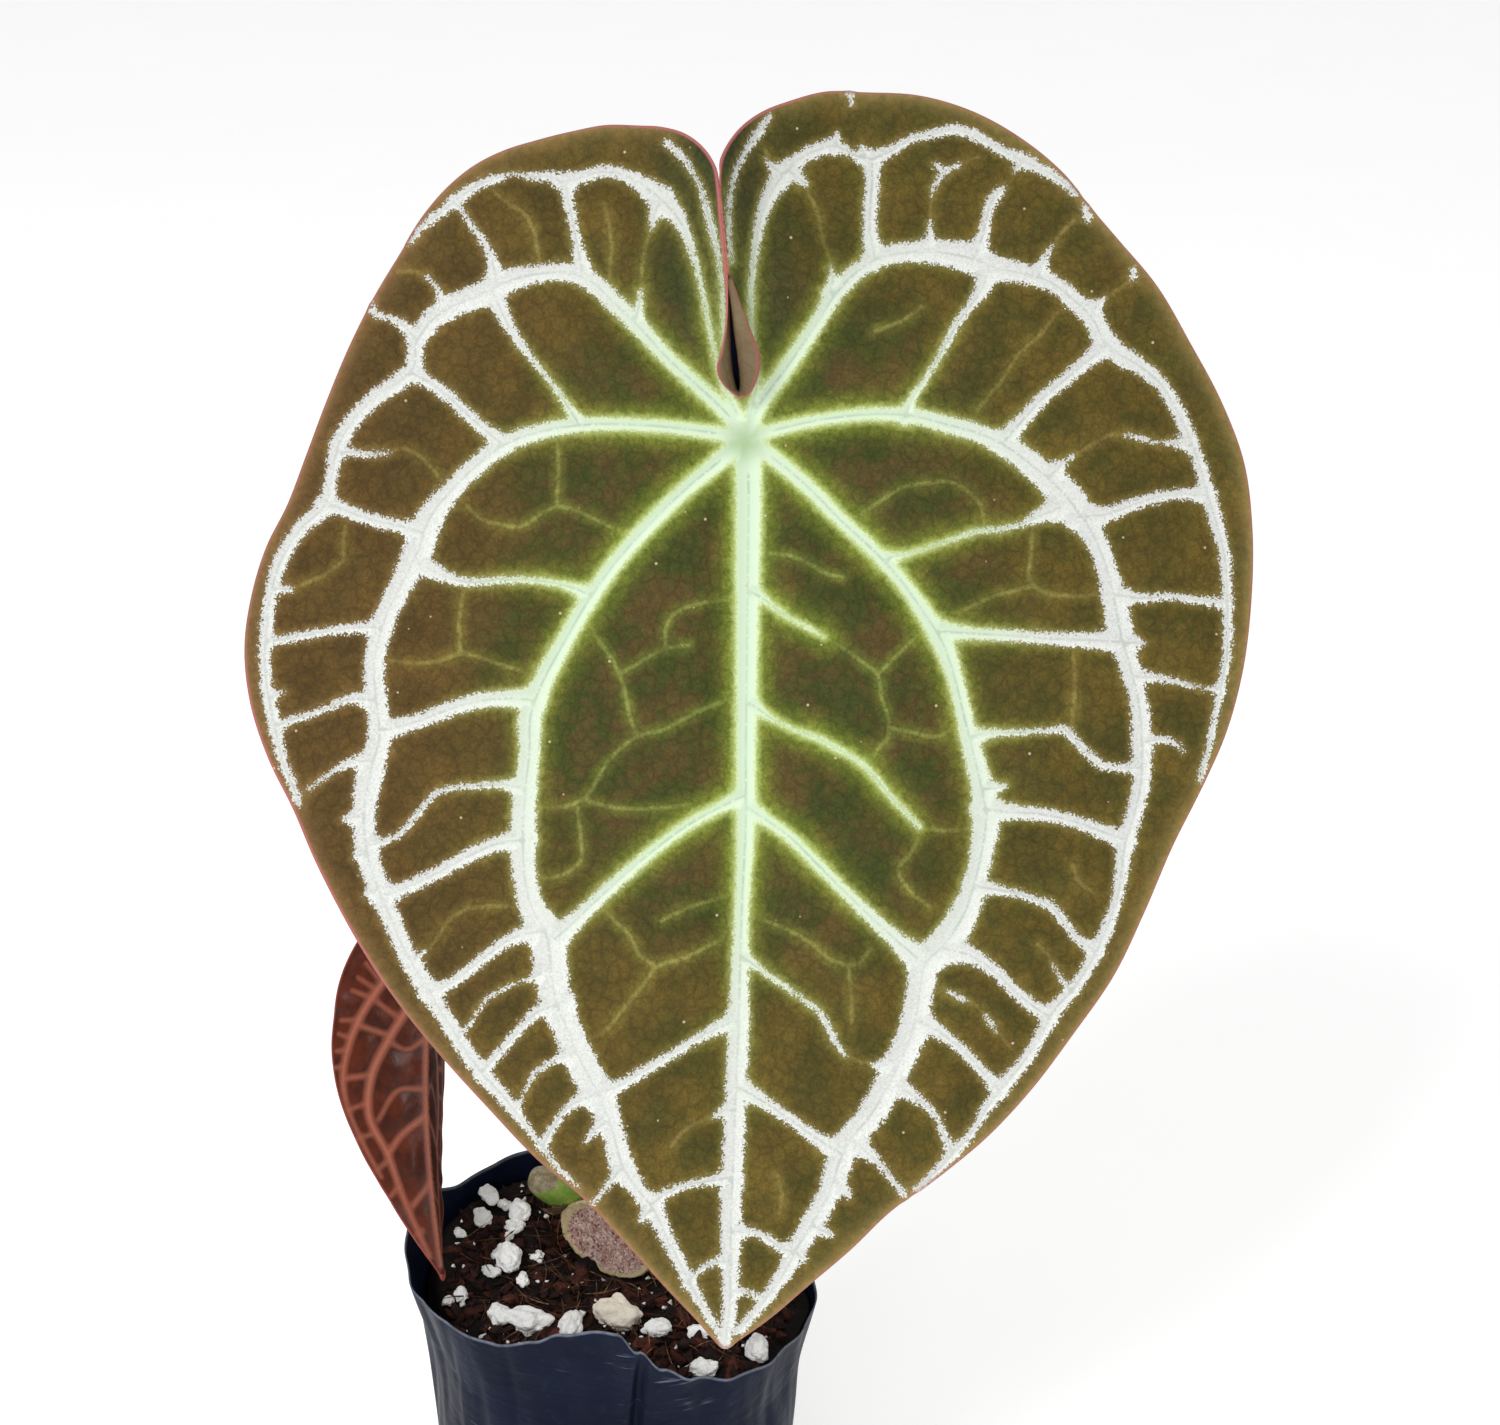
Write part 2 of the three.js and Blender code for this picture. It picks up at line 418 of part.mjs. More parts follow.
function buildLargeLeaf() {
  const spacing = { least: 2.2, flank: 0.9, fill: 7.6 };
  const rough = smoothLine(LARGE_OUTLINE, 1.9, true);
  const isCleft = ([a, b]) => b > 8 && b < 62 && Math.abs(a - sinusCentre(b)) < 6.5;
  const margin = rough.filter((point, i) => isCleft(point) || i % 2 === 0);
  const mainLines = LARGE_MAIN_VEINS.map((route) => smoothLine(route, 5.6));
  const crossLines = LARGE_CROSS_VEINS.map((route) => smoothLine(route, 6));
  const fineMain = LARGE_MAIN_VEINS.map((route) => smoothLine(route, 3));
  const fineCross = LARGE_CROSS_VEINS.map((route) => smoothLine(route, 4));
  const height = (a, b) => {
    const main = nearestOnLines(fineMain, a, b);
    const cross = nearestOnLines(fineCross, a, b);
    const vein = main.distance - main.width < cross.distance - cross.width ? main : cross;
    return largeForm(a, b) + quilting(vein, LARGE_QUILT, LARGE_QUILT_REACH) + LARGE_RIDGE * ribBump(main);
  };
  // The outline is drawn from one eye, so what stands nearer to it is drawn in by that share.
  const place = (a, b) => {
    const h = height(a, b);
    const near = 1 - h / LARGE_VIEW_DISTANCE;
    const across = LARGE_VIEW_CENTRE[0] + (a - LARGE_VIEW_CENTRE[0]) * near;
    const along = LARGE_VIEW_CENTRE[1] + (b - LARGE_VIEW_CENTRE[1]) * near;
    return LARGE_JUNCTION.clone()
      .addScaledVector(ACROSS, across)
      .addScaledVector(ALONG, along)
      .addScaledVector(TOWARDS, h);
  };
  const thickness = (a, b) => {
    const main = ribBump(nearestOnLines(fineMain, a, b)) * LARGE_RIB_DEPTH;
    const cross = ribBump(nearestOnLines(fineCross, a, b)) * LARGE_RIB_DEPTH * 0.4;
    return BLADE_THICKNESS + Math.max(main, cross, LARGE_BOSS_DEPTH * bossShare(a, b, LARGE_BOSS_RADIUS));
  };
  const points = bladePoints(margin, mainLines, crossLines, spacing);
  for (let turn = 0.26; turn < 2 * Math.PI; turn += Math.PI / 3) {
    points.push([2.2 * Math.cos(turn), 2.2 * Math.sin(turn) + BOSS_ALONG]);
  }
  return bladeGeometry(margin, thinOut(points, 1.2), place, thickness);
}

// Drops each point that lies nearer than the gap to one before it.
function thinOut(points, gap) {
  const kept = [];
  for (const [a, b] of points) {
    if (!kept.some(([ka, kb]) => Math.hypot(ka - a, kb - b) < gap)) kept.push([a, b]);
  }
  return kept;
}

// Mirror of a half's route in the midrib.
function mirrored(route) {
  return route.map(([a, b, w = 0]) => [-a, b, w]);
}

// The young blade hangs tip down. Its right half is folded back along the midrib.
function youngPlace(a, b, height) {
  const down = THREE.MathUtils.clamp(-b / YOUNG_LENGTH, 0, 1);
  const bend = YOUNG_TIP_SWING * down ** 2 - YOUNG_MIDRIB_BEND * Math.sin(Math.PI * down);
  const open = THREE.MathUtils.smoothstep(b, -28, -5);
  const turned = THREE.MathUtils.smoothstep(a, 0, 1.6);
  const fold = turned * THREE.MathUtils.lerp(YOUNG_FOLD, 0.12, open);
  const cup = YOUNG_CUP * (Math.min(a, 0) / YOUNG_HALF_WIDTH) ** 2;
  const across = a * Math.cos(fold) + height * Math.sin(fold);
  const depth = a * Math.sin(fold) - height * Math.cos(fold) + cup;
  return YOUNG_JUNCTION.clone()
    .addScaledVector(ACROSS, across + bend)
    .addScaledVector(ALONG, b)
    .addScaledVector(TOWARDS, -depth);
}

function buildYoungLeaf() {
  const spacing = { least: 1.9, flank: 0.7, fill: 5.2 };
  const outline = [...YOUNG_HALF_OUTLINE, YOUNG_TIP, ...mirrored(YOUNG_HALF_OUTLINE).reverse()];
  const margin = smoothLine(outline, 2.8, true);
  const midrib = [[0, 0, 1], [0, -40, 0.8], [0, -78, 0.5]];
  const routes = [midrib, ...YOUNG_HALF_VEINS, ...YOUNG_HALF_VEINS.map(mirrored)];
  const lines = routes.map((route) => smoothLine(route, 3.8));
  const fine = routes.map((route) => smoothLine(route, 2));
  const place = (a, b) => {
    const vein = nearestOnLines(fine, a, b);
    return youngPlace(a, b, quilting(vein, YOUNG_QUILT, YOUNG_QUILT_REACH) + YOUNG_RIDGE * ribBump(vein));
  };
  const thickness = (a, b) => {
    const rib = ribBump(nearestOnLines(fine, a, b)) * YOUNG_RIB_DEPTH;
    return BLADE_THICKNESS + Math.max(rib, YOUNG_BOSS_DEPTH * bossShare(a, b, YOUNG_BOSS_RADIUS));
  };
  return bladeGeometry(margin, bladePoints(margin, lines, [], spacing), place, thickness);
}

// A round stem along a smooth path, with a radius at each of its points.
function stemGeometry(path, radii, sides, steps) {
  const curve = new THREE.CatmullRomCurve3(path, false, 'centripetal');
  const frames = curve.computeFrenetFrames(steps, false);
  const positions = [];
  const index = [];
  for (let i = 0; i <= steps; i += 1) {
    const t = i / steps;
    const centre = curve.getPointAt(t);
    const place = t * (radii.length - 1);
    const low = Math.min(radii.length - 2, Math.floor(place));
    const radius = THREE.MathUtils.lerp(radii[low], radii[low + 1], place - low);
    for (let j = 0; j < sides; j += 1) {
      const turn = (j / sides) * 2 * Math.PI;
      const point = centre.clone()
        .addScaledVector(frames.normals[i], radius * Math.cos(turn))
        .addScaledVector(frames.binormals[i], radius * Math.sin(turn));
      positions.push(point.x, point.y, point.z);
    }
  }
  for (let i = 0; i < steps; i += 1) {
    for (let j = 0; j < sides; j += 1) {
      const k = (j + 1) % sides;
      const [p, q, r, s] = [i * sides + j, i * sides + k, (i + 1) * sides + j, (i + 1) * sides + k];
      index.push(p, q, r, q, s, r);
    }
  }
  for (let j = 1; j + 1 < sides; j += 1) {
    const last = steps * sides;
    index.push(0, j + 1, j, last, last + j, last + j + 1);
  }
  const geometry = new THREE.BufferGeometry();
  geometry.setAttribute('position', new THREE.Float32BufferAttribute(positions, 3));
  geometry.setIndex(index);
  return geometry;
}

// Where a petiole meets the flat boss under a blade, just clear of it.
function underJunction(junction, depth) {
  return junction.clone().addScaledVector(ALONG, BOSS_ALONG).addScaledVector(TOWARDS, -depth);
}

const fromRim = (x, y, z) => new THREE.Vector3(x, y, z).add(RIM_CENTRE);

function largePetiolePath() {
  const end = underJunction(LARGE_JUNCTION, BLADE_THICKNESS + LARGE_BOSS_DEPTH + CLEARANCE + 0.2);
  const behind = end.clone().addScaledVector(TOWARDS, -8).addScaledVector(ALONG, -1);
  return [
    CROWN.clone().add(new THREE.Vector3(2, 1, -1)),
    fromRim(14.5, 37, 30),
    fromRim(19, 41, 85),
    fromRim(26, 46, 140),
    fromRim(31.5, 47.5, 176),
    behind,
    end,
  ];
}

function youngPetiolePath() {
  const end = underJunction(YOUNG_JUNCTION, BLADE_THICKNESS + YOUNG_BOSS_DEPTH + CLEARANCE + 0.2)
    .addScaledVector(ACROSS, 0.2);
  const behind = end.clone().addScaledVector(TOWARDS, -4).addScaledVector(ALONG, 1.5);
  return [
    CROWN.clone().add(new THREE.Vector3(-5, 0.5, -1)),
    fromRim(2, 36, 25),
    fromRim(-6, 38, 60),
    fromRim(-18, 38, 86),
    fromRim(-30, 33, 93),
    behind,
    end,
  ];
}

const LARGE_PETIOLE_RADII = [1.35, 1.1, 1, 1, 1.02, 1.3, 1.3].map((k) => k * LARGE_PETIOLE_RADIUS);
const YOUNG_PETIOLE_RADII = [1.4, 1.1, 1, 1, 1, 1.15, 1.15].map((k) => k * YOUNG_PETIOLE_RADIUS);

// Sections of the rhizome from its cut end back to the crown: share of the way, width, height.
const RHIZOME_SECTIONS = [
  [0, 11.2, 7.2], [0.03, 13.2, 8.6], [0.12, 13.6, 9], [0.3, 12.6, 8.6], [0.5, 11.8, 8.6], [0.75, 11, 9],
  [0.95, 9, 8], [1.12, 5, 4.6],
];

function rhizomeGeometry(grow) {
  const sides = 18;
  const axis = CROWN.clone().sub(CUT_END);
  const away = axis.clone().normalize();
  const side = new THREE.Vector3(0, 0, 1).cross(away).normalize();
  const up = away.clone().cross(side).normalize();
  const random = randomStream(SEED + 3);
  const lump = Array.from({ length: sides }, () => 0.94 + 0.12 * random());
  const positions = [];
  const index = [];
  const ends = grow / axis.length();
  RHIZOME_SECTIONS.forEach(([share, width, height], row) => {
    const shift = row === 0 ? -ends : row === RHIZOME_SECTIONS.length - 1 ? ends : 0;
    const centre = CUT_END.clone().addScaledVector(axis, share + shift);
    for (let j = 0; j < sides; j += 1) {
      const turn = (j / sides) * 2 * Math.PI;
      const point = centre.clone()
        .addScaledVector(side, (width * lump[j] + grow) * Math.cos(turn))
        .addScaledVector(up, (height * lump[j] + grow) * Math.sin(turn));
      positions.push(point.x, point.y, point.z);
    }
  });
  const rows = RHIZOME_SECTIONS.length;
  for (let i = 0; i + 1 < rows; i += 1) {
    for (let j = 0; j < sides; j += 1) {
      const k = (j + 1) % sides;
      const [p, q, r, s] = [i * sides + j, i * sides + k, (i + 1) * sides + j, (i + 1) * sides + k];
      index.push(p, q, r, q, s, r);
    }
  }
  for (let j = 1; j + 1 < sides; j += 1) {
    const last = (rows - 1) * sides;
    index.push(0, j + 1, j, last, last + j, last + j + 1);
  }
  const geometry = new THREE.BufferGeometry();
  geometry.setAttribute('position', new THREE.Float32BufferAttribute(positions, 3));
  geometry.setIndex(index);
  return geometry;
}

// The growth bud: a blunt cone of sheaths that leans out of the top of the rhizome.
function budGeometry(grow) {
  const profile = [[0, -5], [3.2, -5], [4.4, -2], [4.9, 1], [4.6, 3.6], [3.4, 5.8], [1.6, 7.2], [0, 7.6]];
  const grown = profile.map(([r, z], i) => new THREE.Vector2(
    i === 0 || i === profile.length - 1 ? 0 : r + grow, z + (i < 2 ? -grow : 0)));
  const geometry = new THREE.LatheGeometry(grown, 14);
  const lean = new THREE.Quaternion().setFromUnitVectors(
    new THREE.Vector3(0, 0, 1), new THREE.Vector3(-0.62, -0.35, 0.7).normalize());
  geometry.rotateX(Math.PI / 2);
  geometry.applyQuaternion(lean);
  const seat = fromRim(-9.5, 28, 0.5);
  geometry.translate(seat.x, seat.y, seat.z);
  return geometry;
}

// Value at an angle of a closed row of hand-set waves.
function rimWave(degrees, column) {
  const count = RIM_WAVES.length;
  const turn = ((degrees % 360) + 360) % 360;
  let i = count - 1;
  for (let k = 0; k < count; k += 1) {
    if (RIM_WAVES[k][0] <= turn) i = k;
  }
  const from = RIM_WAVES[i];
  const to = RIM_WAVES[(i + 1) % count];
  const span = (to[0] - from[0] + 360) % 360;
  const share = (turn - from[0]) / span;
  const smooth = share * share * (3 - 2 * share);
  return THREE.MathUtils.lerp(from[column], to[column], smooth);
}

const BAG_SIDES = 48;

// Outer radius of the bag at an angle and a share of its height.
function bagRadius(degrees, share) {
  const levels = [[0, BASE_RADIUS - 4], [0.015, BASE_RADIUS], [0.1, BODY_RADIUS], [0.55, BODY_RADIUS + 0.4],
    [0.85, NECK_RADIUS], [0.96, RIM_RADIUS - 0.8], [1, RIM_RADIUS]];
  let i = 0;
  while (i + 2 < levels.length && levels[i + 1][0] < share) i += 1;
  const [s0, r0] = levels[i];
  const [s1, r1] = levels[i + 1];
  const plain = THREE.MathUtils.lerp(r0, r1, (share - s0) / (s1 - s0));
  const upper = THREE.MathUtils.smoothstep(share, 0.72, 1);
  const turn = THREE.MathUtils.degToRad(degrees);
  const creases = 0.5 * Math.sin(5 * turn + 7 * share) + 0.35 * Math.sin(9 * turn - 11 * share);
  const lean = 1.5 * Math.cos(turn) * THREE.MathUtils.smoothstep(share, 0, 0.8) * (1 - upper);
  const rumple = creases * THREE.MathUtils.smoothstep(share, 0.03, 0.25);
  return plain + rumple + lean - rimWave(degrees, 2) * upper;
}

function bagPoint(degrees, share, inset) {
  const top = BAG_HEIGHT + rimWave(degrees, 1);
  const height = BAG_WALL + (top - BAG_WALL) * share;
  const turn = THREE.MathUtils.degToRad(degrees);
  const radius = bagRadius(degrees, share) - inset;
  return new THREE.Vector3(radius * Math.cos(turn), radius * Math.sin(turn), height);
}

// A closed skin of rings joined in order, with a flat cap at each end.
function ringSolid(rings) {
  const sides = rings[0].length;
  const positions = rings.flat().flatMap((p) => [p.x, p.y, p.z]);
  const index = [];
  for (let i = 0; i + 1 < rings.length; i += 1) {
    for (let j = 0; j < sides; j += 1) {
      const k = (j + 1) % sides;
      const [p, q, r, s] = [i * sides + j, i * sides + k, (i + 1) * sides + j, (i + 1) * sides + k];
      index.push(p, q, s, p, s, r);
    }
  }
  const addCap = (ring, flip) => {
    const centre = positions.length / 3;
    const middle = rings[ring].reduce((sum, p) => sum.add(p), new THREE.Vector3()).divideScalar(sides);
    positions.push(middle.x, middle.y, middle.z);
    for (let j = 0; j < sides; j += 1) {
      const [p, q] = [ring * sides + j, ring * sides + ((j + 1) % sides)];
      index.push(centre, flip ? q : p, flip ? p : q);
    }
  };
  addCap(0, true);
  addCap(rings.length - 1, false);
  const geometry = new THREE.BufferGeometry();
  geometry.setAttribute('position', new THREE.Float32BufferAttribute(positions, 3));
  geometry.setIndex(index);
  return geometry;
}

const BAG_LEVELS = [0, 0.015, 0.1, 0.3, 0.5, 0.68, 0.8, 0.9, 1];

function bagRing(share, inset) {
  return Array.from({ length: BAG_SIDES }, (_, j) => bagPoint((j / BAG_SIDES) * 360, share, inset));
}

function buildBag() {
  const outer = BAG_LEVELS.map((share) => bagRing(share, 0));
  const foot = outer[0].map((p) => new THREE.Vector3(p.x, p.y, 0));
  const inner = BAG_LEVELS.map((share) => bagRing(share, BAG_WALL)).reverse();
  inner[inner.length - 1].forEach((p) => p.setZ(BAG_WALL));
  return ringSolid([foot, ...outer.slice(1), ...inner]);
}

// Height of the mix over the bag's middle, before its lumps are added.
function mixHeight(x, y) {
  const rough = 0.7 * Math.sin(0.31 * x + 0.9) * Math.cos(0.27 * y) + 0.5 * Math.sin(0.53 * x - 0.47 * y);
  return MIX_LEVEL + MIX_MOUND * (1 - (x * x + y * y) / 1700) + rough + 0.035 * -x;
}

// A ring of the mix against the bag's wall, at a share of its height but never over a height.
function mixRing(share, highest) {
  return Array.from({ length: BAG_SIDES }, (_, j) => {
    const degrees = (j / BAG_SIDES) * 360;
    const most = (highest - BAG_WALL) / (BAG_HEIGHT + rimWave(degrees, 1) - BAG_WALL);
    return bagPoint(degrees, Math.min(share, most), BAG_WALL + CLEARANCE + MIX_SLACK);
  });
}

function mixBase() {
  const edge = MIX_LEVEL - MIX_EDGE_DROP;
  const floor = mixRing(0.1, edge).map((p) => new THREE.Vector3(p.x * 0.84, p.y * 0.84, p.z));
  floor.forEach((p) => p.setZ(BAG_WALL + CLEARANCE));
  const wall = mixRing(1, edge);
  const rings = [floor, ...MIX_LOW_SHARES.map((share) => mixRing(share, edge - 4)), wall];
  for (const inward of [0.93, 0.8, 0.65, 0.5, 0.35, 0.18]) {
    rings.push(wall.map((p) => {
      const [x, y] = [p.x * inward, p.y * inward];
      return new THREE.Vector3(x, y, mixHeight(x, y));
    }));
  }
  return ringSolid(rings);
}

// The room inside the bag, which nothing in the mix reaches past.
function bagRoom() {
  const inset = BAG_WALL + CLEARANCE + 0.1;
  const rings = BAG_LEVELS.slice(1).map((share) => bagRing(share, inset));
  rings[0].forEach((p) => p.setZ(BAG_WALL + CLEARANCE));
  return ringSolid(rings);
}

// A lump of perlite: a ball of few faces, pushed out of round.
function lumpGeometry(size, random) {
  const geometry = new THREE.IcosahedronGeometry(size / 2, size > 5 ? 1 : 0);
  const merged = onlyPositions(geometry);
  const position = merged.getAttribute('position');
  for (let i = 0; i < position.count; i += 1) {
    const k = 0.86 + 0.3 * random();
    position.setXYZ(i, position.getX(i) * k, position.getY(i) * k, position.getZ(i) * k * 0.9);
  }
  merged.rotateZ(random() * 6.28);
  return merged;
}

function onlyPositions(geometry) {
  const plain = geometry.clone();
  for (const name of Object.keys(plain.attributes)) {
    if (name !== 'position') plain.deleteAttribute(name);
  }
  return mergeVertices(plain, 1e-3);
}

// Joining and cutting of closed solids.
const wasm = await Module();
wasm.setup();

function toSolid(geometry) {
  const plain = onlyPositions(geometry);
  return new wasm.Manifold(new wasm.Mesh({
    numProp: 3,
    vertProperties: new Float32Array(plain.getAttribute('position').array),
    triVerts: new Uint32Array(plain.getIndex().array),
  }));
}

function toGeometry(solid) {
  const mesh = solid.getMesh();
  const geometry = new THREE.BufferGeometry();
  geometry.setAttribute('position', new THREE.BufferAttribute(new Float32Array(mesh.vertProperties), 3));
  geometry.setIndex(new THREE.BufferAttribute(new Uint32Array(mesh.triVerts), 1));
  return geometry;
}

function buildMix() {
  const random = randomStream(SEED + 1);
  const pieces = [];
  for (const [x, y, size] of PERLITE) {
    const lump = lumpGeometry(size, random);
    lump.translate(x, y, mixHeight(x, y) + size * 0.16);
    pieces.push(lump);
  }
  for (let i = 0; i < CHIP_COUNT; i += 1) {
    const turn = random() * 2 * Math.PI;
    const reach = 37 * Math.sqrt(random());
    const [x, y] = [reach * Math.cos(turn), reach * Math.sin(turn)];
    const chip = new THREE.BoxGeometry(4 + 5 * random(), 2.4 + 2 * random(), 1.6 + random());
    chip.rotateX(0.5 * (random() - 0.5));
    chip.rotateY(0.5 * (random() - 0.5));
    chip.rotateZ(random() * Math.PI);
    chip.translate(x, y, mixHeight(x, y) + 0.2);
    pieces.push(chip);
  }
  const room = toSolid(bagRoom());
  let mix = toSolid(mixBase());
  for (const piece of pieces) mix = mix.add(toSolid(piece).intersect(room));
  const cutters = [rhizomeGeometry(CLEARANCE + 0.05), budGeometry(CLEARANCE + 0.05), ...petioleCutters()];
  for (const cutter of cutters) mix = mix.subtract(toSolid(cutter));
  return toGeometry(mix);
}

// Plain holes a little wider than the feet of the petioles.
function petioleCutters() {
  const wide = (radii) => radii.map((r) => r + CLEARANCE + 0.1);
  const deep = (path) => [path[0].clone().add(new THREE.Vector3(0, 0, -CLEARANCE)), ...path.slice(1)];
  return [
    stemGeometry(deep(largePetiolePath()), wide(LARGE_PETIOLE_RADII), 12, 40),
    stemGeometry(deep(youngPetiolePath()), wide(YOUNG_PETIOLE_RADII), 10, 40),
  ];
}

// The rhizome with the stumps of its roots, and holes where the bud and the petioles stand.
function buildRhizome() {
  let rhizome = toSolid(rhizomeGeometry(0));
  for (const cutter of [budGeometry(CLEARANCE), ...petioleCutters()]) {
    rhizome = rhizome.subtract(toSolid(cutter));
  }
  return toGeometry(rhizome);
}

function makeMesh(name, geometry, colour, roughness, metalness = 0) {
  const material = new THREE.MeshStandardMaterial({ color: colour, roughness, metalness });
  const mesh = new THREE.Mesh(geometry, material);
  mesh.name = name;
  return mesh;
}

const plant = new THREE.Group();
plant.add(
  makeMesh('nursery_bag', buildBag(), 0x232a38, 0.42),
  makeMesh('potting_mix', buildMix(), 0x3a2018, 0.95),
  makeMesh('rhizome', buildRhizome(), 0xa08a74, 0.85),
  makeMesh('growth_bud', budGeometry(0), 0x6f8f3a, 0.5),
  makeMesh('large_petiole', stemGeometry(largePetiolePath(), LARGE_PETIOLE_RADII, 10, 26), 0x8a9a58, 0.5),
  makeMesh('large_leaf', buildLargeLeaf(), 0x4e4f24, 0.75),
  makeMesh('young_petiole', stemGeometry(youngPetiolePath(), YOUNG_PETIOLE_RADII, 8, 22), 0x8a4f3a, 0.5),
  makeMesh('young_leaf', buildYoungLeaf(), 0x55241c, 0.55),
);

export default plant;
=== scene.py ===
"""Looks of a potted crystal anthurium: one full-grown velvet leaf with silver veins, one young red leaf, and
a cut rhizome in a thin black nursery bag of coco chips and perlite.

Sizes here are in millimetres, and mesh_piece() turns them into metres. A leaf is drawn flat, with across
and along measured from the junction of its veins, square to an eye that looks 24 degrees down.
"""

import json
import math

import bmesh
import bpy
import numpy as np
from mathutils import Matrix, Vector, noise
from mathutils.geometry import delaunay_2d_cdt

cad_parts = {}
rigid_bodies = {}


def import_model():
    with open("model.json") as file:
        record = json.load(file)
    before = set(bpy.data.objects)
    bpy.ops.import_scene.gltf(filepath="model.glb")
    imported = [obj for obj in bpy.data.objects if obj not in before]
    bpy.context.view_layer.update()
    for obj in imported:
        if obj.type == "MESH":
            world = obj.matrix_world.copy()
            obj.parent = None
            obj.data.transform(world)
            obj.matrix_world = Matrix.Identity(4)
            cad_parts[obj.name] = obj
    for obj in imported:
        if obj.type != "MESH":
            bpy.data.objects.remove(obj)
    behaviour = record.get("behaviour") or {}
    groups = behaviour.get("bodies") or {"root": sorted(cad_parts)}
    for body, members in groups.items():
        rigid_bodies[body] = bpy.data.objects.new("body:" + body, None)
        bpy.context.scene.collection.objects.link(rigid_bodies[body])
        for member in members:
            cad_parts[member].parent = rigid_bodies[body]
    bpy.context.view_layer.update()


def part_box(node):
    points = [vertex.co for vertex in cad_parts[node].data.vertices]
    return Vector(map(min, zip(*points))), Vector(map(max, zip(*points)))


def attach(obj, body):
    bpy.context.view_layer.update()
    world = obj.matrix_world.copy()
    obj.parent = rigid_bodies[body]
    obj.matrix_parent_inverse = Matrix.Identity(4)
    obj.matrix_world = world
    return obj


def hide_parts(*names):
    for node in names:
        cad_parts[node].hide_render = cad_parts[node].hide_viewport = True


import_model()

MM = 0.001
SEED = 7
EULER = 2.718  # base of the shaders' fall-offs

# The bag, whose box in the frame gives the level of the mean rim.
RIM_PEAK = 16
BAG_HIGH = np.array(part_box("nursery_bag")[1]) / MM
RIM_CENTRE = np.array([0, 0, BAG_HIGH[2] - RIM_PEAK])

# Directions of the leaf frame, as the eye sees them.
LOOK_DOWN = math.radians(24)
ACROSS = np.array([1, 0, 0])
ALONG = np.array([0, math.sin(LOOK_DOWN), math.cos(LOOK_DOWN)])
TOWARDS = np.array([0, -math.cos(LOOK_DOWN), math.sin(LOOK_DOWN)])

LARGE_JUNCTION = RIM_CENTRE + (32.3, 31.3, 193.1)
LARGE_VIEW_DISTANCE = 550
LARGE_VIEW_CENTRE = np.array([1.1, -59.3])
YOUNG_JUNCTION = RIM_CENTRE + (-38.5, 19.4, 80.4)

# The camera stands where the photograph was taken from.
CAMERA_PLACE = np.array([33.4, -495.2, 467.8])
CAMERA_LENS = 61.27

# Outline of the large blade: across and along. It starts at the foot of the cleft, goes up the cleft's
# left side, round the left half to the tip, and back up the right half.
LARGE_OUTLINE = [
    (-1.3, 9.3), (-2.3, 10.4), (-3, 13), (-3.3, 17), (-3.6, 23), (-3.8, 30), (-4.25, 37), (-4.75, 42),
    (-5.35, 48), (-5.85, 54), (-6.6, 58.4), (-9.3, 62.6), (-13, 65.4), (-18, 66.9), (-23, 67.2), (-30, 67.3),
    (-37, 66), (-45, 64), (-52, 61.8), (-58, 58.8), (-64, 54), (-69, 48.2), (-74, 40), (-80, 30),
    (-85, 20), (-90, 8), (-94.5, -4), (-98.5, -14.5), (-103, -23.5), (-106.2, -34), (-107.7, -45),
    (-106.5, -57), (-102.6, -69), (-97.2, -80), (-92.5, -91), (-88, -100), (-81, -112.3), (-73, -123.8),
    (-65, -133.5), (-55, -144.5), (-45, -155), (-35, -163.5), (-26, -173), (-16, -184), (-9.5, -190.8),
    (-6.2, -194.5), (-4.3, -195.9), (-1, -194), (5, -189.8), (13, -183), (23, -174.5), (31, -166.8),
    (41, -159.5), (51, -151.5), (61, -141), (70.5, -128.5), (79.5, -115.5), (86, -102), (92, -88),
    (98.5, -75), (103.4, -64), (107, -51), (109, -35), (109.2, -19), (107.5, -5.5), (102.5, 8),
    (96, 20.2), (88.5, 33), (80.5, 42.5), (74.5, 49.5), (68, 57.5), (59, 64.8), (49, 70.3), (38, 73.6),
    (25, 74.4), (18, 74.6), (10, 72.6), (3.6, 70), (-0.6, 66.9), (-3.4, 63.4), (-4.9, 60.2), (-5.5, 57),
    (-5.5, 53), (-5.05, 48), (-4.45, 42), (-3.95, 37), (-2.9, 30), (-2.1, 23), (-1.2, 17), (-0.7, 13),
    (-0.6, 10.4), (-0.9, 9.4),
]

# The lip that curls up round the foot of the cleft: where it leaves the blade, where its red rim stands
# as the eye sees it, and how far the rim rises towards the eye.
CLEFT_LIP = [
    (-3.9, 35, -4.0, 35.6, 1.5), (-3.7, 29, -4, 29.6, 3.5), (-3.6, 23, -4.3, 24, 5),
    (-3.4, 18.6, -5.1, 19, 5.4), (-3.1, 15, -6.1, 15, 5.4), (-2.5, 12, -5, 11.9, 4.7),
    (-1.9, 10.3, -3, 9.8, 3.4), (-1.3, 9.7, -1.2, 8.6, 2.6), (-0.9, 10.2, 0.6, 9.1, 3.2),
    (-0.7, 11.6, 2, 11.1, 4.6), (-0.8, 14, 3.1, 14, 5.6), (-1.1, 17, 3.4, 17.3, 6),
    (-1.9, 22, 1.8, 22, 6), (-2.8, 29, -0.9, 29, 4.5), (-3.6, 34, -3, 34.6, 2),
]

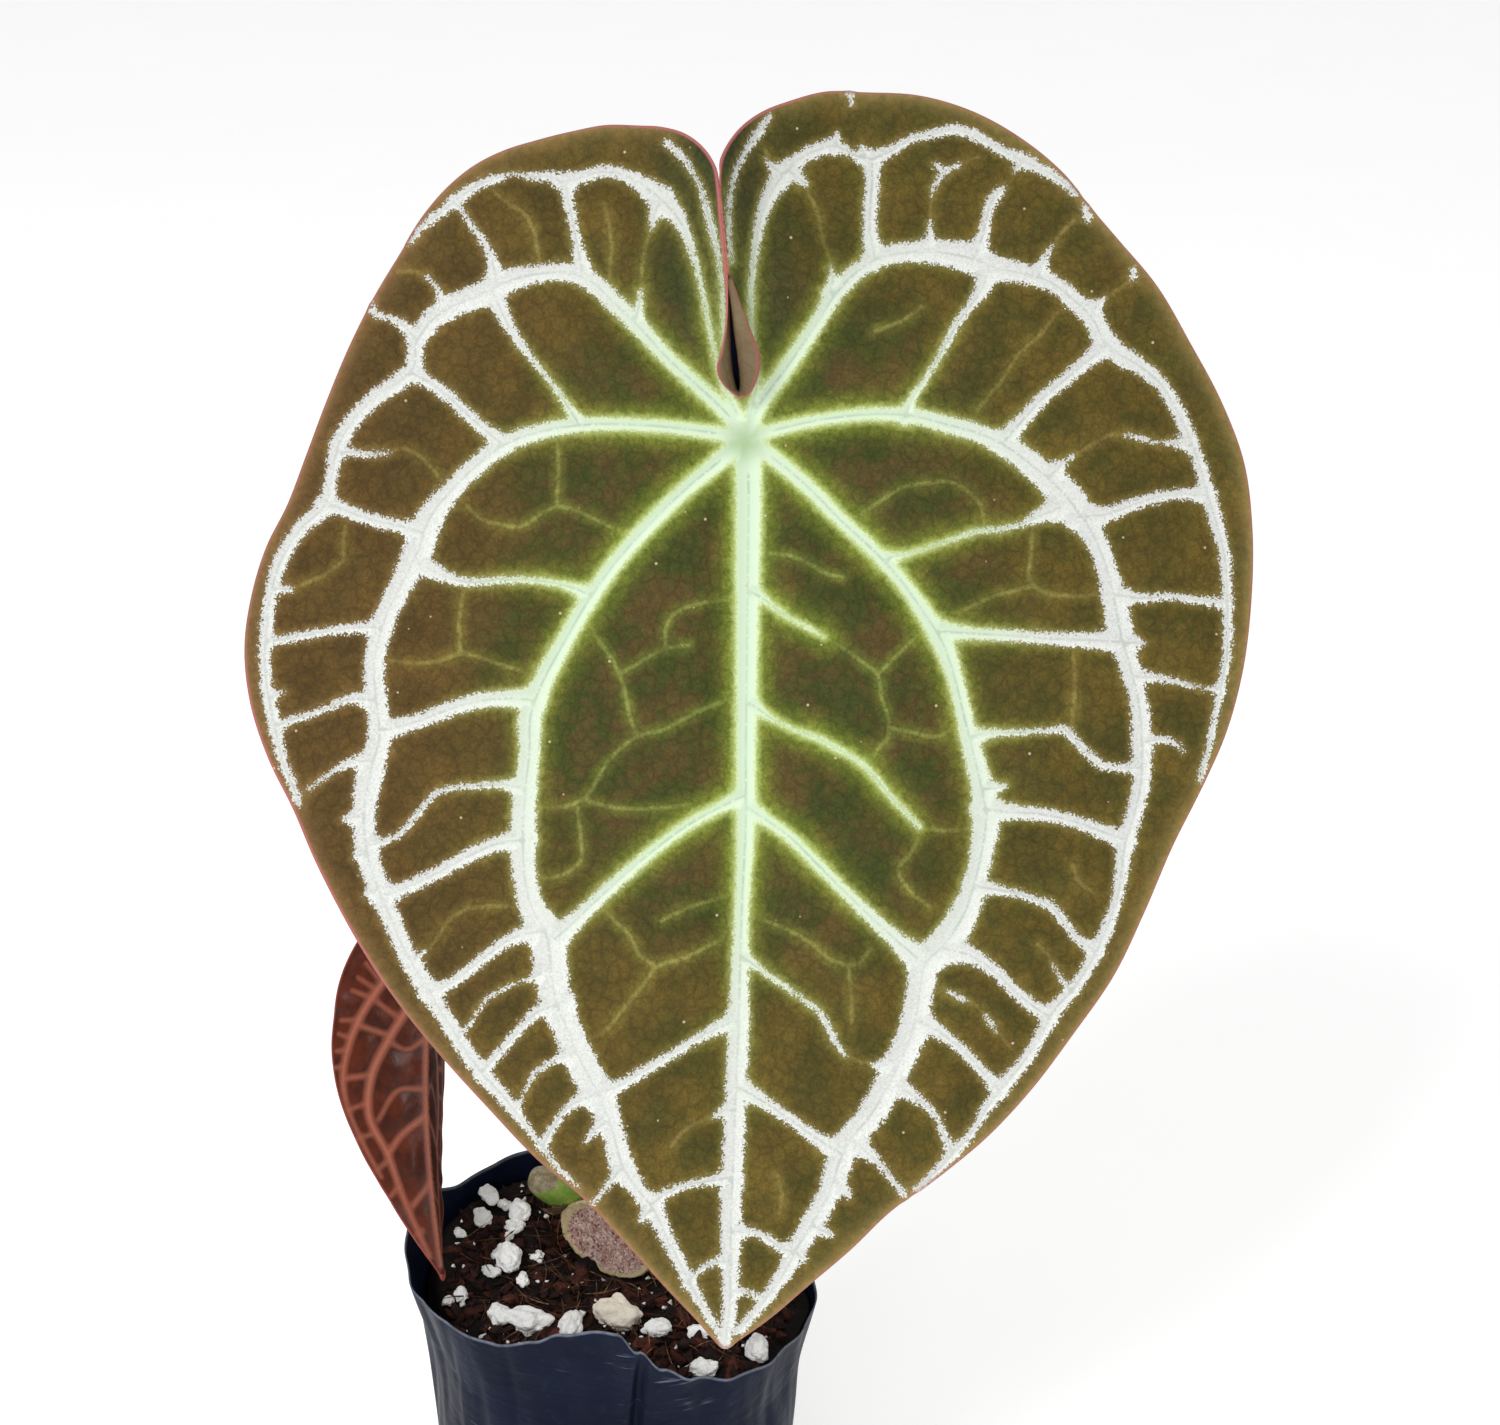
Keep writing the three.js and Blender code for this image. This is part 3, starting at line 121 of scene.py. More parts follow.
# Main veins of the large blade, as read from the photograph: across, along, half width.
LARGE_MAIN_VEINS = {
    "midrib": [
        (0.6, 0, 2.9), (0.8, -12, 2.8), (0.6, -30, 2.6), (0.4, -50, 2.3), (0.2, -70, 2.1), (0.2, -82, 2),
        (-0.6, -100, 1.6), (-1.1, -115, 1.8), (-1.4, -128, 2.2), (-2, -142, 2.1), (-2.4, -153, 2.2),
        (-3, -166, 2.2), (-3.1, -178, 1.9), (-3.4, -188, 1.4), (-4.3, -195, 1.2),
    ],
    "left_1": [
        (0, 0, 2), (-5, -4.5, 1.9), (-12, -10.3, 1.7), (-20, -18, 1.7), (-28, -27, 1.7), (-34, -35.5, 1.8),
        (-39.5, -45, 1.9), (-44, -53.5, 2.2), (-46.2, -60, 2.6), (-46.4, -67, 2.2), (-47.3, -76, 2.4),
        (-47.8, -85, 2.7), (-47.5, -94, 2.5), (-46, -101, 2.6), (-42.8, -107, 3.6), (-41.8, -114, 3.6),
        (-40.8, -121, 3.2), (-38, -128, 3), (-35, -135, 3.2), (-31.5, -141.5, 3.3), (-28.6, -149, 2.3),
        (-26.3, -157, 2.5), (-22.6, -162.5, 1.7), (-19.8, -166, 1.9), (-17, -172, 1.4), (-13.8, -178, 1.3),
        (-10.8, -184, 1.1), (-7.6, -189.6, 0.8), (-5, -193.6, 0.7),
    ],
    "left_2": [
        (0, 0, 1.6), (-6, 1, 1.5), (-14, 2.1, 1.4), (-24, 2.9, 1.4), (-34, 2.9, 1.5), (-44, 1.4, 1.7),
        (-51, -1, 1.8), (-57, -5.2, 1.9), (-63, -11, 2), (-68, -17.5, 2.8), (-70.5, -24.5, 3),
        (-74, -31.5, 2.4), (-77.6, -39, 2.3), (-79.8, -48, 2.1), (-79.4, -57, 2.2), (-78.7, -64, 2.3),
        (-80.7, -72, 2.8), (-82, -80, 2.4), (-81.5, -89, 2.2), (-79, -97, 2.2), (-76, -104, 1.9),
        (-73, -111, 1.8), (-68.5, -118.5, 2), (-64.5, -125, 1.6), (-60.5, -131.5, 1.6), (-56, -137.5, 1.5),
        (-51.5, -142.5, 1.3), (-47, -148.5, 0.7), (-43.4, -153, 0.45), (-40, -157.5, 0.5), (-36, -161, 0.2),
    ],
    "left_3": [
        (0, 1, 2), (-5, 6.5, 1.7), (-11, 12, 1.6), (-17, 17.6, 1.6), (-23, 24.2, 1.8), (-28.5, 29.5, 1.9),
        (-33.5, 34, 1.9), (-38, 35.6, 1.8), (-45, 35.3, 1.8), (-51, 33.8, 2.4), (-57, 30.8, 2.6),
        (-63, 28.4, 2.3), (-68, 24.8, 2.1), (-70.8, 20.3, 1.7), (-71.5, 15, 1.7), (-74.5, 12.2, 1.8),
        (-80, 8.4, 1.6), (-84.6, 3.6, 1.6), (-87.6, -1.5, 1.7), (-89, -8, 1.2), (-90.5, -14.5, 1.7),
        (-95.5, -19.3, 1.5), (-99.6, -25.5, 1.4), (-102, -33, 1.3), (-103.1, -41, 1.3), (-103.4, -49, 1.1),
        (-102.6, -56, 1.2), (-101.2, -62.5, 1.2), (-99.6, -69.5, 0.9), (-97.2, -75.5, 0.8), (-96, -79, 0.5),
    ],
    "left_4": [
        (-1.5, 5, 1.2), (-5, 12.5, 0.6), (-6.6, 19, 0.45), (-8.2, 26.5, 0.45), (-9.7, 34, 0.5),
        (-11.6, 41, 0.8), (-13.6, 46, 1.3), (-16.6, 50, 2.3), (-20, 53, 2.2), (-24.5, 56, 1.4),
        (-31, 57.4, 1.2), (-35, 56.3, 1.3), (-38.5, 55.2, 1.7), (-42.5, 56.4, 1), (-46.5, 56.3, 0.6),
        (-49.5, 57, 0.12), (-53, 56.1, 0.9), (-57.2, 54.6, 0.8), (-61.5, 51.8, 1.2), (-65.5, 48.6, 0.9),
        (-69, 46, 0.7), (-72.3, 42, 0.4),
    ],
    "left_5": [
        (-4.6, 20, 0.3), (-4.8, 30, 0.35), (-5.6, 38, 0.4), (-6.9, 44, 0.7), (-8.3, 49.5, 0.7),
        (-9.6, 54, 0.35), (-11.7, 58, 0.4), (-14.2, 61.2, 0.7), (-16.8, 63.7, 0.6),
    ],
    "right_1": [
        (0, 0, 1.8), (6, -4.2, 1.7), (13, -10, 1.6), (21, -18, 1.5), (28.5, -25, 1.5), (33.5, -30.5, 1.5),
        (38.5, -37.5, 1.8), (42.5, -44, 2.2), (45.3, -52, 1.7), (47, -59, 1.7), (49, -67, 2),
        (51, -75.5, 2.3), (52, -81.5, 2.8), (51.2, -88, 2.5), (49.7, -95, 2.3), (47.2, -102.5, 3),
        (43, -109, 3.4), (38.8, -113.5, 3.2), (37.7, -119.5, 2.8), (36.3, -127, 3), (33.5, -134, 3),
        (30.6, -140, 3), (27, -146, 2.8), (22.5, -151.5, 2.8), (20, -157, 2.6), (18, -163, 2.3),
        (14.6, -169, 2.2), (11, -175, 1.9), (8.4, -180, 1.5), (5.2, -184.5, 1.2), (2, -188.5, 1),
        (-1.5, -192.5, 0.8),
    ],
    "right_2": [
        (0, 0, 1.5), (6, 1.6, 1.4), (13, 3.3, 1.3), (21, 4.6, 1.3), (28.5, 5.2, 1.4), (36, 4.8, 1.6),
        (44, 2.8, 1.8), (51, 0.8, 1.9), (57, -2.2, 2.3), (62, -6, 2.6), (67, -10.2, 3.2),
        (71.8, -15.8, 3.2), (75.6, -22, 2.2), (78.2, -29, 2.1), (79.8, -36, 2.5), (81.2, -43, 2.6),
        (83.2, -50, 2), (85, -58, 1.8), (85.5, -66, 2), (85.4, -74, 1.8), (83.9, -81, 1.7), (82, -87, 1.8),
        (81.2, -93, 1.4), (80, -100, 1.1), (77.6, -106.5, 1.3), (74.8, -112.5, 1.3), (71.3, -118, 1.2),
        (66.5, -123.5, 1.5), (63.6, -129, 1.2), (60, -134.5, 1.2), (55.5, -139.8, 1.5), (52, -144.5, 1),
        (48.6, -150, 0.8), (44.8, -154.2, 1.2), (41, -158.2, 0.8), (37, -161.8, 0.6),
    ],
    "right_3": [
        (0.5, 1, 2), (3, 7, 1.8), (7, 12.5, 1.7), (11.3, 18.5, 1.7), (15.3, 24.5, 1.6), (19, 30.3, 1.7),
        (23.5, 35.3, 1.7), (29, 38.8, 1.9), (35, 40, 2.1), (42, 40, 2.6), (48.5, 38.8, 3), (55, 36.4, 2.4),
        (61, 35.3, 2), (66.5, 33.2, 1.8), (71, 29.6, 1.9), (74.8, 26, 2), (77.3, 21.3, 2.2),
        (80.5, 18.2, 2.1), (85.2, 15.4, 1.7), (89.6, 11.6, 1.3), (92.6, 7, 1.3), (95.2, 1.5, 1.4),
        (97.6, -4.5, 1.2), (99.4, -11, 1.4), (101.2, -17, 1.4), (103, -23.5, 1.2), (103.8, -31, 1),
        (104, -39, 0.9), (103.9, -46, 0.8), (102.7, -53, 0.8), (101.4, -59.5, 0.6), (99.9, -67, 0.6),
        (98, -74, 0.35),
    ],
    "right_4": [
        (1.5, 6, 1), (2.6, 12, 0.5), (1.8, 20, 0.4), (1.3, 28, 0.5), (1.6, 35, 0.6), (2.3, 41, 0.8),
        (3.4, 47, 1.1), (5.2, 52, 1.6), (8, 56.3, 2), (12, 60.2, 1.5), (16, 62.2, 1.5), (19.5, 63, 1.3),
        (22.5, 61.5, 0.7), (27, 60.2, 1.5), (31, 61.6, 1.1), (35.5, 64.3, 0.8), (41, 65.6, 0.8),
        (46, 66.4, 1.1), (50.5, 64.7, 1), (55, 62.2, 0.9), (59.5, 60, 1.3), (64, 57.9, 1.1),
        (68.3, 55.3, 0.8), (71.3, 52.6, 0.5),
    ],
    "right_5": [
        (-2.8, 38, 0.3), (-3.5, 46, 0.4), (-3.2, 52, 0.4), (-1.8, 57.8, 0.45), (0.7, 62.6, 0.6),
        (3.2, 66.2, 0.85), (5.2, 69.2, 0.4),
    ],
}

# Silver veins that cross from one main vein to the next, and spurs that end in a cell.
LARGE_CROSS_VEINS = [
    [(-36, 3.4, 1.6), (-37.6, 6, 0.9), (-41, 11, 0.5), (-45, 16, 0.5), (-48.4, 20.4, 0.8),
     (-51.2, 24.8, 1.1), (-53, 28.5, 1.7), (-54.5, 32, 2)],
    [(-52, -1.5, 2), (-56, 1.8, 1.2), (-60, 5.3, 1.15), (-64, 9, 1.2), (-68, 12, 1.2), (-71.5, 14, 1.8)],
    [(-77, -3.1, 0.3), (-81, -3.5, 0.45), (-85, -3, 0.8), (-88, -3.3, 1.2)],
    [(-69, -20.5, 2.4), (-74, -19, 1.4), (-79, -18, 1.2), (-84, -16.4, 1.2), (-88, -14.8, 1.5),
     (-90.5, -14.3, 1.7)],
    [(-78.5, -40.6, 1.6), (-84, -40.9, 0.9), (-90, -41.6, 0.8), (-96, -42.8, 0.8), (-102.5, -43.8, 0.8)],
    [(-79.6, -56.5, 2.2), (-85, -56.2, 0.9), (-90, -58.2, 0.7), (-94, -59.6, 0.6), (-98, -60.9, 0.7),
     (-101.3, -62.2, 1.1)],
    [(-80.5, -69.5, 2), (-85, -70, 0.9), (-88, -71.5, 0.5), (-91, -73.6, 0.35), (-94, -75.5, 0.15)],
    [(-98, -32.6, 0.5), (-101, -32.4, 0.9)],
    [(-102.3, -56, 1), (-99.6, -54.6, 0.3)],
    [(-71, 21.5, 1.6), (-74, 24.6, 0.9), (-77, 26, 0.5), (-79.8, 26.9, 0.7), (-80.4, 28.6, 0.5)],
    [(-65, 29.5, 1.2), (-66.4, 32.4, 0.3), (-68.6, 34.8, 0.3)],
    [(-53.5, 33.6, 2.6), (-54.6, 38.6, 1), (-56.6, 42.6, 0.7), (-59, 46, 0.5), (-61.2, 49.4, 0.45),
     (-62.8, 51, 1)],
    [(-35, 36.3, 2), (-36, 41, 1), (-37, 46, 0.9), (-38, 51, 1), (-38.6, 55.3, 1.7)],
    [(-23.5, 25.5, 1.5), (-22.7, 29, 0.7), (-22.4, 32, 0.2)],
    [(-20.2, 45, 0.2), (-19, 49.5, 1.6), (-18, 52, 2.4)],
    [(-83, -81.5, 2), (-86.5, -82, 0.4)],
    [(-81, -89.5, 2), (-84, -90, 0.5)],
    [(-79, -97, 2), (-81.8, -98.6, 0.3)],
    [(-33.5, -33.6, 1.8), (-39, -31.7, 0.8), (-46, -30.6, 0.6), (-53, -30.6, 0.65), (-60, -31, 0.8),
     (-64, -30, 1.1), (-68, -28.2, 1.9), (-71, -26.5, 2.4)],
    [(-45.5, -56.4, 2.6), (-52, -56.1, 1.7), (-58, -56.8, 1.6), (-65, -58.9, 1.5), (-71, -61.2, 1.5),
     (-78.5, -63, 2.2)],
    [(-47.5, -75.4, 2.4), (-52, -74.7, 0.9), (-58, -75, 0.5), (-63, -75.4, 0.5), (-66, -76.2, 0.5),
     (-69, -79.2, 0.5), (-72, -82.8, 0.6), (-75, -85.7, 0.5), (-79, -87.2, 0.9), (-81, -87.5, 1.6)],
    [(-47.5, -86.5, 2.6), (-53, -87.3, 1.6), (-59, -89.8, 1.4), (-65, -93, 1.3), (-71, -96, 1.3),
     (-76, -98, 1.7), (-78.5, -98.5, 2)],
    [(-69, -110.6, 0.2), (-71.6, -112.8, 0.8)],
    [(-43, -106, 3), (-50, -107.7, 1.3), (-55, -111, 1.1), (-60, -115, 1.1), (-65, -118.4, 1.3),
     (-68.5, -119.3, 1.8)],
    [(-42, -114, 2), (-46, -116.4, 0.5), (-49, -117.4, 0.12), (-53, -119.2, 0.3), (-56.5, -121.8, 0.3),
     (-58.5, -125, 0.12), (-61.5, -129, 0.5)],
    [(-39, -121.5, 2.6), (-45, -124, 1.1), (-49, -128, 0.9), (-53, -132.6, 0.9), (-57, -136.8, 1.4)],
    [(-36.5, -132.5, 2), (-41.5, -134.4, 0.5), (-45.5, -137.3, 0.5), (-47.5, -141, 0.15),
     (-49.5, -145.2, 0.9)],
    [(-32, -141.3, 2.4), (-38, -144.2, 0.8), (-41, -148, 0.7), (-43.6, -152.4, 1)],
    [(-29.5, -147, 1.6), (-33, -149.8, 0.7), (-34.6, -152, 0.15)],
    [(-26.8, -157.5, 1.8), (-29.5, -161, 0.5), (-31.5, -163.5, 0.45), (-33, -165, 0.5)],
    [(-20, -166, 1.8), (-22.4, -168.4, 0.6)],
    [(0, -77, 2), (-5, -79.4, 1.3), (-12, -83.2, 1.2), (-19, -88.3, 1.2), (-26, -94.2, 1.4),
     (-32, -99.6, 1.5), (-37, -104.4, 1.8), (-41, -108, 2.8)],
    [(-1.5, -125.2, 2.2), (-8, -128.2, 1), (-15, -132.4, 0.9), (-22, -136.6, 1), (-27, -139.5, 1.3),
     (-31, -141, 2.2)],
    [(-3, -144.8, 1.6), (-6, -145.8, 0.6), (-7, -146.4, 0.1)],
    [(-3, -159.3, 1.8), (-8, -160.1, 0.8), (-13, -161.1, 0.7), (-17, -162.8, 0.9), (-20, -165, 1.6)],
    [(-3.5, -177.2, 1.4), (-8, -178.1, 0.6), (-10.4, -180, 0.6), (-12.3, -182, 1)],
    [(1, -33, 2.2), (3.6, -34.4, 1), (7, -37, 0.6), (11, -39.6, 0.35), (14.6, -41.4, 0.4), (17, -42.8, 0.1)],
    [(1, -57, 2), (5, -59.9, 0.7), (10, -62.6, 0.4), (15, -64.4, 0.6), (20, -67, 0.6), (25, -70, 0.55),
     (28, -73, 0.55), (31, -76.8, 0.5), (35, -81, 0.5), (37.6, -83.8, 0.4)],
    [(0.5, -79.5, 2), (5, -82.5, 1.3), (10, -86.2, 1.2), (15, -91.2, 1.2), (21, -97.2, 1.2),
     (27, -103, 1.4), (32, -107.6, 1.7), (38, -112.8, 3)],
    [(-0.5, -111.8, 1.8), (3, -114.2, 0.7), (8, -117.7, 0.45), (12, -120.6, 0.35), (16, -123.6, 0.5),
     (18, -127, 0.6), (20, -131, 0.45), (21.8, -133, 0.2)],
    [(27.6, -135, 0.25), (30.5, -135, 1.6)],
    [(-1, -140, 2.2), (5, -143.6, 1.2), (10, -147, 1.1), (15, -150.6, 1.3), (20.5, -154, 2.6)],
    [(-2.5, -171, 1.8), (2, -171.2, 0.8), (5, -172.6, 0.8), (8, -174.6, 0.9), (11, -175.4, 1.6)],
    [(-3, -184, 1.2), (1, -184.1, 0.45), (3.5, -185, 0.5), (5, -185, 1)],
    [(30, -26, 1.6), (34, -25.3, 0.7), (41, -23, 0.35), (46, -21.4, 0.4), (50, -20.1, 0.5),
     (56, -19.5, 0.5), (60, -18.4, 0.6), (63, -17, 1.3), (68, -15, 3)],
    [(42, -41.6, 2.4), (49, -42.1, 1.3), (56, -42.5, 1.2), (63, -43, 1.2), (70, -43.4, 1.4),
     (76, -43.6, 1.8), (81.5, -44, 2.6)],
    [(48.5, -64.4, 1.8), (54, -63.6, 0.8), (60, -63.4, 0.5), (66, -63, 0.6), (69, -62.8, 0.8),
     (71, -65, 0.7), (74, -68, 0.8), (77, -70.4, 0.8), (81, -71, 0.7), (85, -71, 1.6)],
    [(51.5, -80, 3), (58, -80.6, 1.6), (65, -81.2, 1.3), (71, -82.6, 1.3), (77, -84.8, 1.5), (82, -86.6, 2)],
    [(52, -75.6, 1.8), (56.2, -75, 0.4)],
    [(49.5, -96.5, 2.4), (55, -97.4, 0.9), (61, -98.8, 0.7), (66, -101, 0.9), (69, -104.6, 0.8),
     (72, -108, 0.9), (75.6, -110.4, 1.6)],
    [(43, -110, 3.4), (49, -111.7, 1.7), (54, -115, 1.2), (58, -119, 1.2), (62, -122.3, 1.3),
     (65.6, -124.6, 1.8)],
    [(66.2, -113.4, 0.12), (68.5, -117, 0.35), (70.6, -119.4, 0.9)],
    [(43.6, -119.2, 0.15), (45.8, -120.2, 0.5), (48, -121.2, 0.1)],
    [(51.6, -124.2, 0.1), (53, -126, 0.35), (54, -127.6, 0.1)],
    [(37, -125.2, 2.6), (43, -128.7, 1.2), (48, -133, 1), (52, -137.4, 1.1), (55, -140.4, 1.7)],
    [(33, -139.6, 2), (38, -143, 0.8), (41, -145.8, 0.6), (42.6, -149.4, 0.6), (44.6, -153.6, 1.1)],
    [(24, -152, 2.4), (29, -156.4, 0.7), (32, -160.2, 0.5), (34.4, -163.4, 0.5)],
    [(20, -160, 2), (22.4, -163.4, 0.5)],
    [(15, -170, 1.6), (18.6, -171.6, 0.5)],
    [(10.4, -175, 1.4), (12.8, -177, 0.4)],
    [(34.5, 4.5, 1.7), (35.6, 7.6, 1), (38.5, 12, 0.6), (41, 16, 0.5), (43.5, 20.5, 0.7), (46, 25, 0.8),
     (48.6, 28.6, 0.9), (51, 32, 1.6), (52.5, 36, 2.6)],
    [(55.5, -1, 2.4), (60, 4, 1.4), (64, 8.4, 1.3), (69, 12.6, 1.3), (74, 16.8, 1.5), (78, 20, 2.2)],
    [(66, -8, 2.4), (69, -5, 0.6), (71, -3.6, 0.1)],
    [(82, 0.7, 0.15), (85.4, -0.1, 0.4), (88, -0.9, 0.2), (92, -1, 0.6), (96, -1.6, 1.4)],
    [(71.8, -17, 3), (78, -16.4, 1.6), (83, -14.6, 1.2), (88, -13, 1.2), (94, -12, 1), (99.4, -12.3, 1.8)],
    [(79.6, -33.6, 2.4), (85, -34.5, 1), (91, -34.2, 0.7), (97, -34.8, 0.8), (103.8, -35.6, 1)],
    [(83.5, -51.3, 2), (88, -51.6, 0.9), (93, -52.5, 0.6), (97, -53.6, 0.35), (99.4, -54, 0.12),
     (102.4, -54.2, 0.8)],
    [(85.6, -65.6, 1.8), (90, -65, 0.6), (93, -66, 0.5), (94.6, -67.4, 0.2)],
    [(82, -44, 2), (86.2, -44.2, 0.3)],
    [(28, 39, 2.4), (27, 44, 1.5), (27, 50, 1.4), (27.4, 55, 1.4), (27.4, 60, 2)],
    [(49.5, 39, 3), (51, 43, 1.4), (52, 47, 1), (53, 50.6, 1), (54.8, 53, 0.9), (56.2, 54.4, 0.2)],
    [(58.2, 57.6, 0.3), (60, 59.8, 1.3)],
    [(39.6, 41, 1.6), (39.8, 44.4, 0.5), (40, 47, 0.15)],
    [(40.2, 52.4, 0.12), (40.8, 54.2, 0.35), (42.6, 56.6, 0.5), (44.6, 58.2, 0.35), (46.4, 59.2, 0.12)],
    [(41, 59, 0.35), (42.4, 57.6, 0.6)],
    [(63.5, 35.4, 1.6), (65, 39.6, 0.5), (66.4, 41.6, 0.15)],
    [(75.4, 28, 1.8), (77.4, 30, 0.3)],
    [(18.4, 31.4, 1.8), (19, 34.6, 0.7), (18.4, 37, 0.1)],
    [(9.5, 57.6, 2), (13, 54.8, 0.6)],
    [(8, 57, 2), (5.6, 58.8, 0.6), (4.6, 60, 0.12)],
    [(19.2, 63, 1.6), (20, 65.6, 0.3)],
    [(26, 60.6, 1.6), (25, 62.8, 0.3)],
    [(22.5, 74.2, 0.9), (22.9, 72, 0.3)],
    [(83.8, 36.4, 0.5), (83.6, 34.8, 0.8)],
    [(73.4, 50, 0.5), (74, 47.6, 0.9)],
]

# Faint yellow-green veins within the cells: across, along.
LARGE_FAINT_VEINS = [
    [(-38, 6.5), (-41, 11), (-45, 16), (-48.5, 20.5)],
    [(-64.5, -10), (-67.5, -6.6), (-70, -4), (-73, -2.3), (-77, -3), (-81, -3.5)],
    [(-86, -19), (-86.6, -23), (-86.4, -26), (-89, -28.4), (-93, -30.6), (-98, -32.6)],
    [(-91, -73.6), (-94, -75.6), (-96.4, -77.4)],
    [(-44.2, 37), (-44.8, 41), (-45.6, 45), (-47.6, 48.4), (-51, 50.4), (-54.6, 53.6)],
    [(-29.4, 33), (-28.8, 41), (-29.2, 46), (-30.4, 50.5)],
    [(-22.5, 29), (-22.2, 36), (-21.2, 42), (-19.4, 47)],
    [(-63, 30), (-66, 32.4), (-70, 35.6), (-75, 36)],
    [(-25, -21), (-30, -18.6), (-35, -16.2), (-40, -14.8), (-44, -16.4), (-48, -19), (-53, -18.6),
     (-57, -17.4), (-60, -14.4)],
    [(-43, -51.6), (-50, -49.6), (-55, -48), (-61, -46.4), (-66, -48), (-71, -48.5), (-77, -47.6)],
    [(-61.2, -46.6), (-61.6, -40), (-60.4, -31.5)],
    [(-49, -101), (-55, -100.9), (-60, -101.6), (-64, -104), (-66, -107.4), (-69, -110.8), (-72, -113)],
    [(-46, -116.4), (-52, -118.8), (-57, -122), (-60, -127), (-62.5, -129.5)],
    [(-46, -137.6), (-48, -142), (-49, -145)],
    [(-40.4, -1), (-40.2, -7), (-40.6, -14)],
    [(-1, -55.6), (-7, -57.6), (-13, -60.5), (-18, -63), (-23, -64.2), (-27, -67), (-30, -70.4), (-32, -74),
     (-34, -77), (-38, -79.2), (-42, -79.6), (-46, -79)],
    [(-23.4, -64.2), (-25, -59), (-26, -54), (-27, -51), (-29, -47), (-32, -43), (-34, -39)],
    [(-26.6, -50.6), (-22, -48), (-18, -45.6), (-12, -44.6)],
    [(-17, -45.2), (-17, -41), (-15.4, -38), (-11, -36), (-5, -35), (0, -34.6)],
    [(-33.6, -78.4), (-28, -79.6), (-20, -79.8), (-12, -79)],
    [(-36, -80), (-35.4, -86), (-35.4, -91), (-40, -94.4), (-45, -95)],
    [(-1, -106.6), (-7, -109), (-13, -112), (-19, -114), (-22, -118), (-26, -122.6), (-29, -126.6),
     (-32, -129), (-36, -129.6)],
    [(-19, -114), (-23, -111), (-25, -107), (-28, -104), (-31, -101)],
    [(-1, -98), (-7, -99.5), (-12, -101), (-18, -104)],
    [(-4, -145), (-10, -147.4), (-13, -149), (-16, -152.6)],
    [(1, -33), (7, -37), (13, -40.6), (19, -44), (25, -48), (28.5, -51), (29.5, -56), (31, -61), (31, -64),
     (28, -68), (27, -71)],
    [(28.8, -50.6), (33, -46.6), (37, -42.6), (40, -39.6)],
    [(31, -62.4), (36, -63.4), (41, -64.4), (47, -61)],
    [(2, -25), (8, -25), (13, -26.6), (18, -29.4), (21, -30)],
    [(37.6, -84), (44, -84.6), (50, -84)],
    [(38, -84), (36, -89), (33, -93), (36, -98), (40, -101)],
    [(1, -102.6), (8, -105.4), (14, -108.6), (20, -113), (24, -113.4), (27, -110)],
    [(22.4, -114), (23, -120), (23, -126)],
    [(21.6, -133), (25, -134.4), (29, -135)],
    [(25, -16.4), (30, -13), (34, -10.6), (39, -9.8), (44, -9.4), (48, -11.4), (51, -15), (51.6, -19)],
    [(62, -18.6), (61.6, -25), (61.6, -31), (64, -33), (70, -34), (78, -33.6)],
    [(61.6, -32), (56, -33.4), (50, -35.6), (45.6, -37.8)],
    [(70.6, -46), (71, -50), (71, -56), (70.4, -62)],
    [(70.6, -92), (72, -95.6), (75, -98)],
    [(63, -109), (65, -111), (66.6, -114), (69, -117.6)],
    [(41, -118), (44.6, -119.6), (49, -121.6), (52, -124.6), (54, -127.6), (58, -132)],
    [(36, 8), (38.5, 12), (41, 16), (43.5, 20.5)],
    [(50, 6), (55, 12), (59, 18), (63, 21.6), (67.4, 27)],
    [(28, 23), (34, 25.4), (38, 28.4)],
    [(67, -7), (71, -3.8), (75, -1.4), (79, 0.8), (83, 0.5), (87, -0.4), (92, -1)],
    [(40, 44), (40, 48), (40.2, 53)],
    [(45, 58.6), (50, 60.4)],
    [(65, 39.6), (68, 44), (71, 47)],
    [(77, 29.6), (80, 31.6), (83, 34)],
    [(19, 34), (18.4, 38), (17, 42), (16, 47), (14.4, 51.5), (12, 55)],
    [(5.6, 59), (4.4, 62)],
    [(7, -159), (8, -163), (7.4, -167)],
]


def smoothstep(value, low, high):
    """0 up to low, 1 from high, and a smooth step between."""
    share = np.clip((value - low) / (high - low), 0, 1)
    return share * share * (3 - 2 * share)


def lerp(start, end, share):
    return start + (end - start) * share


def smooth_line(points, step, closed=False, places=2):
    """Points about a step apart on a smooth line through given ones. The first numbers of each are its
    place, and any that follow, such as a half width, are carried along."""
    knots = np.array(points, float)
    if closed:
        knots = np.vstack([knots[-1:], knots, knots[:2]])
    gaps = np.linalg.norm(np.diff(knots[:, :places], axis=0), axis=1)
    at = np.concatenate([[0], np.cumsum(gaps)])
    slopes = np.gradient(knots, at, axis=0)
    low, high = (at[1], at[-2]) if closed else (at[0], at[-1])
    count = max(2, round((high - low) / step))
    where = np.linspace(low, high, count + 1)[: count if closed else None]
    k = np.clip(np.searchsorted(at, where, side="right") - 1, 0, len(gaps) - 1)
    t = ((where - at[k]) / gaps[k])[:, None]
    span = gaps[k][:, None]
    start = (2 * t**3 - 3 * t**2 + 1) * knots[k] + (t**3 - 2 * t**2 + t) * span * slopes[k]
    end = (3 * t**2 - 2 * t**3) * knots[k + 1] + (t**3 - t**2) * span * slopes[k + 1]
    return start + end


